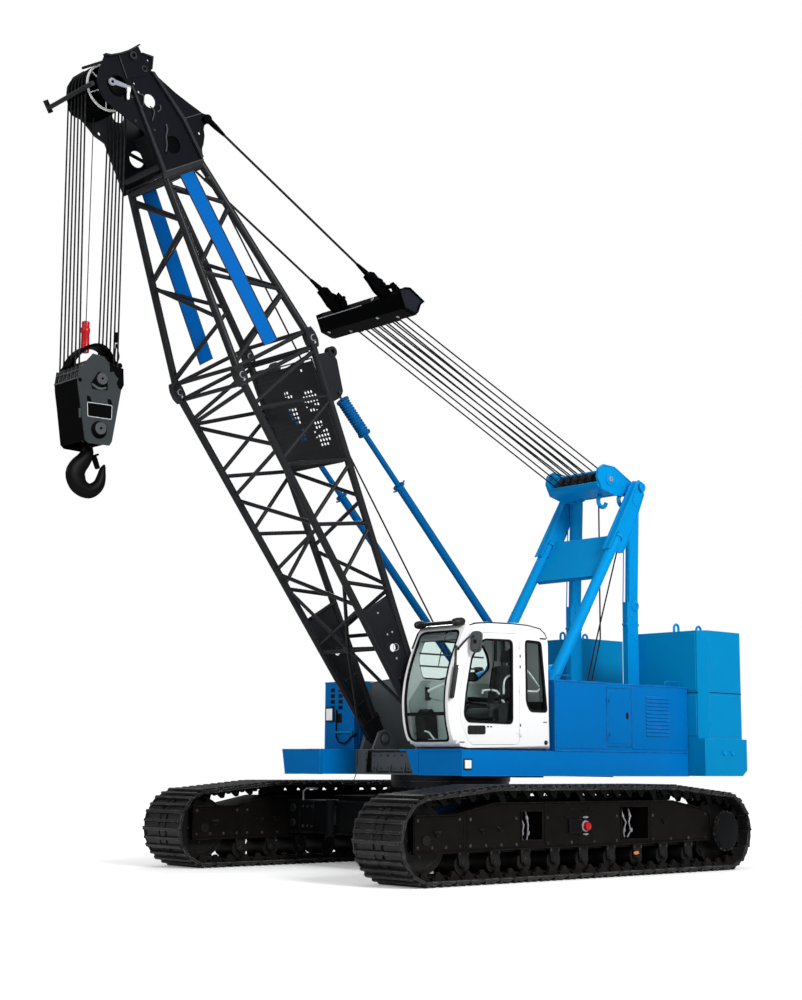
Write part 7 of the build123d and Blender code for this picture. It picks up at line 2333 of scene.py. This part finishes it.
def ropes(name, runs, radius, body=None, between=None, span=None, replaces=(), step=0.25,
          sides=8):
    """Wire ropes along the runs, with a UV map that carries the lay of their strands."""
    mesh = bmesh.new()
    uv = mesh.loops.layers.uv.new("lay")
    for run in runs:
        points = [Vector(run[0])]
        for low, high in zip(run, run[1:]):
            low, high = Vector(low), Vector(high)
            count = max(1, int((high - low).length / step))
            points += [low.lerp(high, (number + 1) / count) for number in range(count)]
        rows = [[mesh.verts.new(corner) for corner in ring] for ring in rings_along(points, radius, sides)]
        along = [0.0]
        for before, after in zip(points, points[1:]):
            along.append(along[-1] + (after - before).length)
        for number, (low, high) in enumerate(zip(rows, rows[1:])):
            for corner in range(sides):
                after = (corner + 1) % sides
                face = mesh.faces.new((low[corner], low[after], high[after], high[corner]))
                marks = ((corner, number), (corner + 1, number), (corner + 1, number + 1),
                         (corner, number + 1))
                for loop, (round_step, row) in zip(face.loops, marks):
                    loop[uv].uv = (along[row], round_step / sides)
        mesh.faces.new(rows[0])
        mesh.faces.new(rows[-1])
    bmesh.ops.recalc_face_normals(mesh, faces=mesh.faces)
    data = bpy.data.meshes.new(name)
    mesh.to_mesh(data)
    mesh.free()
    smoothed(data, 60)
    made = in_scene(name, data)
    data.materials.append(ROPE)
    if between:
        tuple(span[0])
        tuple(span[1])
        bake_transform(made)
    else:
        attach(made, body)
    if replaces:
        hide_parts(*replaces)
    return made


HEAD_ROPE_REACH, BLOCK_ROPE_REACH = 0.297, 0.27                 # ropes from their sheave's axis
HEAD_WRAP_RADIUS = 0.303
HOOK_ROPE_RADIUS, DERRICK_ROPE_RADIUS, HOIST_ROPE_RADIUS = 0.011, 0.0115, 0.012


def fall_ropes():
    """Ropes of the hook, of the bridle and of the winches."""
    runs = []
    for number in range(FALL_PARTS):
        low_x, high_x = from_middle(number) * BLOCK_PITCH, from_middle(number) * HEAD_PITCH
        for side in SIDES:
            runs.append([(low_x, HOOK_Y + side * BLOCK_ROPE_REACH, HOOK_AXLE_Z),
                         HEAD_AXLE + Vector((high_x, side * HEAD_ROPE_REACH, 0))])
    ropes("hook_falls", runs, HOOK_ROPE_RADIUS, between=("hook_fall", "hook_block"),
          span=((0, HOOK_Y, HEAD_PIN.z), (0, HOOK_Y, HOOK_AXLE_Z)), replaces=("hoist_falls",))
    runs = []
    for number in range(FALL_PARTS):
        x = from_middle(number) * DERRICK_PITCH
        for side in SIDES:
            start = GANTRY_AXLE + FALL_UP * side * 0.128 + Vector((x, 0, 0))
            runs.append([start, from_bridle(x, 0.06, side * 0.088 + 0.02)])
    ropes("bridle_falls", runs, DERRICK_ROPE_RADIUS, between=("derrick_fall", "bridle"),
          span=(GANTRY_AXLE, BRIDLE_AXLE),
          replaces=("derrick_falls",))
    wraps = []
    for number in range(FALL_PARTS):
        centre = HEAD_AXLE + Vector((from_middle(number) * HEAD_PITCH, 0, 0))
        wraps.append([centre + Vector((0, -HEAD_WRAP_RADIUS * math.cos(turn),
                                       HEAD_WRAP_RADIUS * math.sin(turn)))
                      for turn in (math.pi * step / 20 for step in range(21))])
    ropes("head_rope_wraps", wraps, HOOK_ROPE_RADIUS, body="boom", step=1.0)
    head_lead = on_boom(0.0, 8.93, 0.70)
    drum_lead = (0.0, 0.33, 2.55)
    # one long straight length from the drum to the boom head
    ropes("hoist_rope", [[drum_lead, head_lead]], HOIST_ROPE_RADIUS, between=("upper", "boom"),
          span=(drum_lead, head_lead), step=100.0)
    ropes("derrick_winch_ropes", [
        [(0.30, 2.97, 5.78), (0.30, 2.97, 3.44), (0.30, 2.56, 2.12)],
        [(0.24, 3.475, 4.892), (0.24, 2.914, 3.333), (0.24, 2.54, 2.18)],
    ], HOIST_ROPE_RADIUS, body="upper")


def bridle_beam():
    """The sheave cover between the two flared end plates, and the eye plates of the pendants."""
    cover = Solid()
    sheet = bridle_outline((0.050, -0.075), (0.085, -0.118), (0.31, -0.150), (0.47, -0.02), (0.415, 0.125),
                           (0.31, 0.165),
                           (0.03, 0.145))
    strip(cover, sheet, 0.014, -0.88, 0.88)
    for x in (-0.70, -0.48, 0.48, 0.70):
        cover.prism(bridle_outline((0.05, -0.08), (0.0, -0.03), (-0.01, 0.06), (0.04, 0.14), (0.31, 0.155),
                                   (0.41, 0.12), (0.46, -0.02),
                                   (0.31, -0.145), (0.09, -0.11)), x - 0.010, x + 0.010)
    plate = bridle_outline((0.50, 0.03), (0.42, 0.13), (0.335, 0.180), (0.02, 0.150), (0.065, 0.06),
                           (0.060, -0.06),
                           (0.085, -0.115), (0.31, -0.150))
    for side in SIDES:
        cover.prism(plate, *side_span(side, 0.880, 0.893))
        band(cover, plate, inset(plate, 0.018), *side_span(side, 0.893, 0.925))
        for eye in (-0.048, 0.028):
            x0 = side * PENDANT_X + eye
            cover.prism(bridle_outline((0.84, 0.125), (0.825, 0.215), (0.755, 0.250), (0.66, 0.225),
                                       (0.58, 0.245), (0.52, 0.195),
                                       (0.42, 0.185), (0.30, 0.155), (0.44, 0.02), (0.60, 0.035),
                                       (0.74, 0.095)), x0, x0 + 0.020)
        for ahead, above, radius in ((0.732, 0.172, 0.050), (0.545, 0.175, 0.038)):
            cover.rod(from_bridle(side * PENDANT_X - 0.085, ahead, above),
                      from_bridle(side * PENDANT_X + 0.085, ahead, above),
                      radius * 0.75, 20)
            cover.lathe([(0, radius), (0.020, radius), (0.026, radius - 0.008), (0.026, 0)],
                        from_bridle(side * PENDANT_X + side * 0.048, ahead, above), (side, 0, 0), 22)
        cover.prism(bridle_outline((0.43, 0.12), (0.60, 0.20), (0.58, 0.27), (0.40, 0.24), (0.33, 0.16)),
                    *side_span(side, 0.42, 0.44))
        cover.prism(bridle_outline((0.40, 0.12), (0.50, 0.20), (0.46, 0.26), (0.30, 0.24), (0.22, 0.16)),
                    *side_span(side, 0.64, 0.66))
        cover.rod(from_bridle(side * 0.36, 0.50, 0.215), from_bridle(side * 0.68, 0.40, 0.215), 0.030, 14)
    # The cover's near black is partly painted shade of its underside.
    cover.piece("bridle_cover", "bridle", DEEP_BLACK, "boom_black", bevel=0.003, replaces=("bridle",))
    panel = Solid()
    for side in SIDES:
        panel.prism(inset(plate, 0.020), *side_span(side, 0.893, 0.899))
    panel.piece("bridle_end_panels", "bridle", BRIDLE_GREY, "boom_black")
    marks = Solid()
    marks.rod(from_bridle(-0.86, 0.478, -0.028), from_bridle(0.12, 0.478, -0.028), 0.006, 8)
    for side in SIDES:
        for x, low in ((side * 0.50, 0.43), (side * 0.53, 0.43)):
            marks.prism(bridle_outline((low, 0.150), (0.70, 0.215), (0.69, 0.235), (low, 0.175)), x - 0.006,
                        x + 0.006)
    for x, ahead in ((0.30, 0.27), (-0.42, 0.15), (0.62, 0.16), (-0.78, 0.27)):
        marks.lathe([(0, 0.026), (0.008, 0.025), (0.012, 0.018), (0.012, 0)],
                    from_bridle(x, ahead, -0.152 + (0.31 - ahead) * 0.14), -FALL_UP, 16)
    marks.lathe([(0, 0.030), (0.008, 0.028), (0.012, 0.018), (0.012, 0)], from_bridle(0.30, 0.452, 0.05),
                FALL_RUN, 16)
    marks.piece("bridle_marks", "bridle", PALE_STEEL, "pin_steel")


def pendant_pair():
    """Thin pendants with a poured socket at each end."""
    runs, ends = [], Solid()
    head = on_boom(0.0, 8.90, 0.68)
    low = from_bridle(0, 0.732, 0.172)
    run = (head - low).normalized()
    for side in SIDES:
        x = Vector((side * PENDANT_X, 0, 0))
        runs.append([low + x + run * 0.12, head + x - run * 0.14])
        for centre, way in ((low, run), (head, -run)):
            ends.lathe([(0.03, 0.0), (0.03, 0.040), (0.15, 0.036), (0.30, 0.022), (0.32, 0.017), (0.32, 0)],
                       centre + x, way, 16)
            ends.lathe([(-0.024, 0.0), (-0.024, 0.060), (0.024, 0.060), (0.024, 0.0)], centre + x, (1, 0, 0),
                       24)
    made = ropes("pendant_ropes", runs, 0.0165, body="pendants", replaces=("pendants",))
    ends.piece("pendant_sockets", "pendants", DEEP_BLACK, "rope_steel", bevel=0.003)
    return made


CHEEK = [(-0.205, 6.315), (-0.128, 6.408), (0.028, 6.392), (0.085, 6.335), (0.112, 6.285), (0.117, 6.211),
         (0.174, 6.228),
         (0.205, 6.175), (0.244, 6.152), (0.218, 6.09), (0.245, 6.035), (0.288, 6.011), (0.182, 5.345),
         (0.150, 5.293),
         (-0.145, 5.286), (-0.195, 5.322), (-0.330, 6.024), (-0.330, 6.139), (-0.290, 6.206)]
FAR_CHEEK = [(-0.205, 6.315), (-0.128, 6.400), (0.028, 6.392), (0.20, 6.30), (0.33, 6.18), (0.33, 6.02),
             (0.20, 5.345),
             (0.150, 5.293), (-0.125, 5.300), (-0.175, 5.340), (-0.285, 6.024), (-0.285, 6.139),
             (-0.265, 6.206)]


def block_frame():
    """Cheeks, end covers, hoop and becket housing of the hook block."""
    near = Solid().prism(by_hook(*CHEEK), 0.290, 0.312)
    near.piece("block_cheek_near", "hook_block", CHEEK_GREY, "hook_paint", bevel=0.004,
               replaces=("hook_block_cheeks",))
    dark = Solid()
    dark.prism(by_hook(*FAR_CHEEK), -0.312, -0.290)
    strip(dark, by_hook((-0.300, 6.100), (-0.288, 5.98), (-0.165, 5.330)), 0.016, -0.290, 0.290)
    strip(dark, by_hook((0.270, 5.98), (0.160, 5.330)), 0.016, -0.290, 0.290)
    dark.prism(by_hook((0.10, 6.335), (0.20, 6.300), (0.325, 6.296), (0.340, 6.088), (0.305, 6.02),
                       (0.27, 5.98), (0.25, 6.0)),
               0.262, 0.286)
    dark.prism(by_hook((0.10, 6.335), (0.20, 6.300), (0.325, 6.296), (0.340, 6.088), (0.305, 6.02),
                       (0.27, 5.98), (0.25, 6.0)),
               -0.286, -0.262)
    strip(dark, by_hook((0.318, 6.290), (0.332, 6.090), (0.296, 6.02)), 0.014, -0.286, 0.286)
    hoop = smooth_line([(level, height, 0) for level, height in (
        (-0.300, 6.250), (-0.270, 6.330), (-0.205, 6.425), (-0.110, 6.515), (0.020, 6.580), (0.120, 6.590),
        (0.205, 6.555),
        (0.270, 6.480), (0.320, 6.390))], 2)
    strip(dark, by_hook(*[point[:2] for point in hoop]), 0.045, -0.10, 0.10)
    dark.prism(by_hook((0.20, 6.48), (0.375, 6.385), (0.36, 6.33), (0.28, 6.33), (0.22, 6.30), (0.10, 6.33),
                       (0.17, 6.40)), -0.12, 0.10)
    for x in (-0.285, 0.0, 0.285):
        dark.rod((x - 0.005, HOOK_Y + 0.05, 6.385), (x + 0.005, HOOK_Y + 0.05, 6.385), 0.02, 12)
    dark.piece("block_frame", "hook_block", DEEP_BLACK, "hook_paint", bevel=0.003)


def block_fittings():
    """Pins with keepers, blank plate, rope guards, rollers, weights and the becket of the hook block."""
    base, heads, pale, red = Solid(), Solid(), Solid(), Solid()
    base.prism(by_hook((-0.141, 6.037), (-0.050, 6.185), (0.045, 6.165), (0.082, 6.105), (0.089, 5.981),
                       (-0.122, 5.961)),
               0.312, 0.322)
    base.lathe([(0, 0.108), (0.008, 0.108), (0.012, 0.102), (0.012, 0)], (0.312, HOOK_Y - 0.01, 5.465),
               (1, 0, 0), 32)
    for level, height in ((-0.161, 5.832), (0.132, 5.838)):
        slot_shape = rounded(by_hook((level - 0.036, height + 0.035), (level + 0.012, height + 0.030),
                                     (level + 0.036, height - 0.035), (level - 0.030, height - 0.030)), 0.014,
                             3)
        base.prism(slot_shape, 0.312, 0.315)
    base.lathe([(0, 0.026), (0.003, 0.026), (0.003, 0)], (0.312, HOOK_Y - 0.300, 6.049), (1, 0, 0), 16)
    plate = rounded(by_hook((-0.192, 5.790), (0.165, 5.800), (0.164, 5.617), (-0.180, 5.610)), 0.022, 4)
    base.prism(inset(plate, 0.010), 0.312, 0.3165)
    for side in SIDES:
        start = (side * 0.312, HOOK_Y, HOOK_AXLE_Z)
        heads.lathe([(0, 0.072), (0.022, 0.072), (0.028, 0.066), (0.028, 0.018), (0.020, 0.018), (0.020, 0)],
                    start, (side, 0, 0), 32)
        heads.lathe([(0, 0.076), (0.022, 0.076), (0.028, 0.070), (0.028, 0.020), (0.020, 0.020), (0.020, 0)],
                    (side * 0.312, HOOK_Y + 0.005, 5.485), (side, 0, 0), 32)
    heads.prism(by_hook((-0.134, 6.030), (-0.075, 6.000), (-0.01, 5.990), (0.060, 6.012), (0.060, 5.990),
                        (-0.01, 5.965),
                        (-0.085, 5.975), (-0.140, 6.008)), 0.322, 0.331)
    band(pale, plate, inset(plate, 0.008), 0.312, 0.318)
    guards = Solid()
    for number in range(7):
        x = (number - FALL_PARTS / 2) * BLOCK_PITCH
        guards.prism(by_hook((-0.312, 6.075), (-0.292, 6.245), (-0.262, 6.245), (-0.292, 6.075)), x - 0.004,
                     x + 0.004)
    guards.rod((-0.28, HOOK_Y - 0.314, 6.080), (0.29, HOOK_Y - 0.314, 6.080), 0.009, 10)
    guards.rod((-0.28, HOOK_Y - 0.294, 6.190), (0.29, HOOK_Y - 0.294, 6.190), 0.007, 10)
    guards.rod((0.30, HOOK_Y - 0.330, 6.060), (0.30, HOOK_Y - 0.262, 6.255), 0.008, 8)
    guards.box(0.05, 0.24, HOOK_Y - 0.262, HOOK_Y - 0.246, 5.800, 5.808)
    guards.prism(by_hook((-0.248, 5.715), (-0.240, 5.700), (-0.222, 5.600), (-0.238, 5.600)), 0.215, 0.260)
    guards.box(-0.09, 0.02, HOOK_Y + 0.345, HOOK_Y + 0.385, 6.375, 6.390)
    guards.piece("block_rope_guards", "hook_block", GUARD_GREY, "pin_steel", bevel=0.002)
    x = 0.02
    red.lathe([(0, 0.050), (0.10, 0.054), (0.24, 0.050), (0.255, 0.058), (0.31, 0.058), (0.325, 0.048),
               (0.39, 0.050),
               (0.40, 0.030), (0.40, 0.0)], (x, HOOK_Y - 0.075, 6.48), (0, -0.01, 1), 20)
    red.piece("becket_sleeve", "hook_block", RED_PAINT, "hook_paint")
    heads.lathe([(0, 0.018), (0.02, 0.018), (0.025, 0.010), (0.025, 0)], (x + 0.05, HOOK_Y - 0.065, 6.53),
                (1, -0.2, 0), 12)
    line = [(x, HOOK_Y - 0.075, 6.86), (x, HOOK_Y - 0.080, 8.0), (x, HOOK_Y - 0.085, 9.55)]
    ropes("weight_cord", [line], 0.006, between=("hook_fall", "hook_block"), span=(line[2], line[0]),
          step=0.5, sides=6)
    level = 0.26
    becket = Solid()
    for height in (6.745, 6.700, 6.655):
        becket.lathe([(-0.018, 0.010), (-0.018, 0.026), (0.018, 0.026), (0.018, 0.010)],
                     (0.20, HOOK_Y + level + 0.004, height),
                     (0, 0, 1), 14)
        becket.rod((0.20, HOOK_Y + level - 0.012, height), (0.20, HOOK_Y + level + 0.030, height + 0.004),
                   0.014, 8)
    loop = [(0.20, HOOK_Y + a, z) for a,
            z in ((0.262, 6.62), (0.275, 6.57), (0.300, 6.50), (0.306, 6.45), (0.290, 6.40),
                                              (0.268, 6.385), (0.250, 6.41), (0.248, 6.48), (0.255, 6.57),
                  (0.258, 6.62))]
    becket.pipe(smooth_line(loop, 3), 0.008, 8)
    becket.lathe([(-0.02, 0.010), (-0.02, 0.034), (0.02, 0.034), (0.02, 0.010)],
                 (0.20, HOOK_Y + 0.315, 6.345), (1, 0, 0), 18)
    becket.piece("becket_end", "hook_block", DEEP_BLACK, "sheave_iron")
    for height in (HOOK_AXLE_Z, 5.485):
        base.lathe([(0, 0.017), (0.003, 0.017), (0.003, 0)], (0.338, HOOK_Y, height), (1, 0, 0), 6)
    base.piece("block_dark_plates", "hook_block", DEEP_BLACK, "hook_paint")
    heads.piece("block_pin_heads", "hook_block", PIN_GREY, "pin_steel")
    pale.piece("block_plate_border", "hook_block", PALE_STEEL, "hook_paint")


def forged_hook():
    """The hook as one forging: an oval section that swells at the back and thins to the point."""
    stations = [Vector(place) for place in (
        (0.020, 5.400, 0.050, 0.050), (0.021, 5.330, 0.056, 0.055), (0.024, 5.270, 0.080, 0.062),
        (0.018, 5.205, 0.090, 0.062),
        (-0.030, 5.120, 0.104, 0.060), (-0.095, 5.040, 0.120, 0.058), (-0.130, 4.945, 0.136, 0.058),
        (-0.098, 4.845, 0.130, 0.058),
        (-0.030, 4.780, 0.112, 0.058), (0.068, 4.756, 0.096, 0.058), (0.155, 4.795, 0.086, 0.056),
        (0.213, 4.865, 0.075, 0.052),
        (0.238, 4.950, 0.062, 0.046), (0.250, 5.030, 0.045, 0.038), (0.268, 5.085, 0.026, 0.026),
        (0.276, 5.110, 0.010, 0.012))]
    line = smooth_line(stations, 3)
    hook = Solid()
    rows, sides = [], 20
    for number, (level, height, half, depth) in enumerate(line):
        before, after = line[max(number - 1, 0)], line[min(number + 1, len(line) - 1)]
        heading = Vector((0, after[0] - before[0], after[1] - before[1])).normalized()
        across = Vector((0, heading.z, -heading.y))
        centre = Vector((0, HOOK_Y + level, height))
        row = []
        for step in range(sides):
            turn = math.tau * step / sides
            row.append(hook.mesh.verts.new(centre + across * half * math.cos(turn)
                                           + Vector((depth * math.sin(turn), 0, 0))))
        rows.append(row)
    for low, high in zip(rows, rows[1:]):
        for step in range(sides):
            after = (step + 1) % sides
            hook.mesh.faces.new((low[step], low[after], high[after], high[step]))
    hook.mesh.faces.new(rows[0])
    hook.mesh.faces.new(rows[-1])
    hook.rod((0, HOOK_Y, 5.36), (0, HOOK_Y, 5.64), 0.050, 24)
    hook.lathe([(0, 0.085), (0.055, 0.085), (0.060, 0.078), (0.060, 0)], (0, HOOK_Y, 5.579), (0, 0, 1), 8)
    hook.piece("forged_hook", "hook", HOOK_BLACK, "hook_paint", replaces=("hook",), smooth=50)
    latch = Solid()
    latch.prism(by_hook((0.118, 5.196), (0.150, 5.180), (0.196, 5.062), (0.186, 5.045), (0.164, 5.045),
                        (0.110, 5.165)), -0.034, 0.034)
    latch.rod((-0.05, HOOK_Y + 0.118, 5.195), (0.05, HOOK_Y + 0.118, 5.195), 0.020, 14)
    latch.rod((-0.03, HOOK_Y + 0.165, 5.222), (0.03, HOOK_Y + 0.165, 5.222), 0.013, 10)
    latch.prism(by_hook((0.09, 5.205), (0.175, 5.232), (0.172, 5.214), (0.10, 5.185)), -0.030, 0.030)
    latch.piece("hook_latch", "hook", DEEP_BLACK, "hook_paint", bevel=0.002)


fall_ropes()
bridle_beam()
pendant_pair()
block_frame()
block_fittings()
forged_hook()


# ------------------------------------------------------------------ camera, lights and floor
VIEW_TURN, VIEW_RISE, VIEW_ROLL = 48.078, 9.182, 0.447      # degrees
VIEW_PLACE = (17.335, -16.572, 1.466)
VIEW_LENS, VIEW_SENSOR, VIEW_REACH = 58.72, 36.0, 400.0


def camera():
    turn, rise, roll = math.radians(VIEW_TURN), math.radians(VIEW_RISE), math.radians(VIEW_ROLL)
    ahead = Vector((-math.sin(turn) * math.cos(rise), math.cos(turn) * math.cos(rise), math.sin(rise)))
    level = Vector((math.cos(turn), math.sin(turn), 0))
    upright = level.cross(ahead)
    right = level * math.cos(roll) + upright * math.sin(roll)
    upper = upright * math.cos(roll) - level * math.sin(roll)
    data = bpy.data.cameras.new("view")
    data.lens = VIEW_LENS
    data.sensor_width = VIEW_SENSOR
    data.clip_end = VIEW_REACH
    made = in_scene("view", data)
    turned = Matrix((right, upper, -ahead)).transposed().to_4x4()
    made.matrix_world = Matrix.Translation(VIEW_PLACE) @ turned
    bpy.context.scene.camera = made


def area_light(name, place, target, size, power, colour=(1, 1, 1)):
    data = bpy.data.lights.new(name, "AREA")
    data.shape = "DISK"
    data.size = size
    data.energy = power
    data.color = colour
    made = in_scene(name, data)
    aim = (Vector(target) - Vector(place)).to_track_quat("-Z", "Y").to_matrix().to_4x4()
    made.matrix_world = Matrix.Translation(place) @ aim
    return made


def white_surroundings(light_level):
    """White where the camera or glass looks past the crane; a soft even light elsewhere."""
    world = bpy.data.worlds.new("studio")
    bpy.context.scene.world = world
    world.use_nodes = True
    tree = world.node_tree
    sky = tree.nodes["Background"]
    rays = tree.nodes.new("ShaderNodeLightPath")
    seen = tree.nodes.new("ShaderNodeMath")
    seen.operation = "MAXIMUM"
    tree.links.new(rays.outputs["Is Camera Ray"], seen.inputs[0])
    tree.links.new(rays.outputs["Is Transmission Ray"], seen.inputs[1])
    level = tree.nodes.new("ShaderNodeMapRange")
    level.inputs["To Min"].default_value = light_level
    level.inputs["To Max"].default_value = 1.0
    tree.links.new(seen.outputs[0], level.inputs["Value"])
    sky.inputs["Color"].default_value = (1, 1, 1, 1)
    tree.links.new(level.outputs["Result"], sky.inputs["Strength"])


FLOOR_HALF, FLOOR_DROP = 120.0, -0.004
FLOOR_NEAR, FLOOR_FAR = 4.0, 9.0            # it brightens between these distances from the slewing axis


def pale_floor(level, near_level):
    """A pale floor that keeps the shadow under the crane and is white further out."""
    mesh = bmesh.new()
    bmesh.ops.create_grid(mesh, x_segments=2, y_segments=2, size=FLOOR_HALF)
    data = bpy.data.meshes.new("floor")
    mesh.to_mesh(data)
    mesh.free()
    made = in_scene("floor", data)
    made.location.z = FLOOR_DROP
    material = bpy.data.materials.new("studio_floor")
    material.use_nodes = True
    tree = material.node_tree
    shader = tree.nodes["Principled BSDF"]
    shader.inputs["Base Color"].default_value = (0.9, 0.9, 0.9, 1)
    shader.inputs["Roughness"].default_value = 0.9
    shader.inputs["Specular IOR Level"].default_value = 0.0
    rays = tree.nodes.new("ShaderNodeLightPath")
    place = tree.nodes.new("ShaderNodeTexCoord")
    reach = tree.nodes.new("ShaderNodeVectorMath")
    reach.operation = "LENGTH"
    tree.links.new(place.outputs["Object"], reach.inputs[0])
    away = tree.nodes.new("ShaderNodeMapRange")
    for label, value in (("From Min", FLOOR_NEAR), ("From Max", FLOOR_FAR), ("To Min", near_level),
                         ("To Max", level)):
        away.inputs[label].default_value = value
    tree.links.new(reach.outputs["Value"], away.inputs["Value"])
    glow = tree.nodes.new("ShaderNodeMath")
    glow.operation = "MULTIPLY"
    tree.links.new(away.outputs["Result"], glow.inputs[1])
    tree.links.new(rays.outputs["Is Camera Ray"], glow.inputs[0])
    shader.inputs["Emission Color"].default_value = (1, 1, 1, 1)
    tree.links.new(glow.outputs[0], shader.inputs["Emission Strength"])
    data.materials.append(material)


camera()
white_surroundings(0.42)
pale_floor(0.63, 0.22)
area_light("cab_side_key", (22.0, -2.0, 14.0), (0, 0, 3), 9.0, 4600)
area_light("front_fill", (3.0, -20.0, 12.0), (0, -2, 4), 9.0, 1100)
area_light("overhead", (4.0, -7.0, 24.0), (0, 0, 2), 10.0, 500)
area_light("back_rim", (-14.0, 12.0, 14.0), (0, 0, 5), 8.0, 1200)
bpy.context.scene.view_settings.view_transform = "Standard"
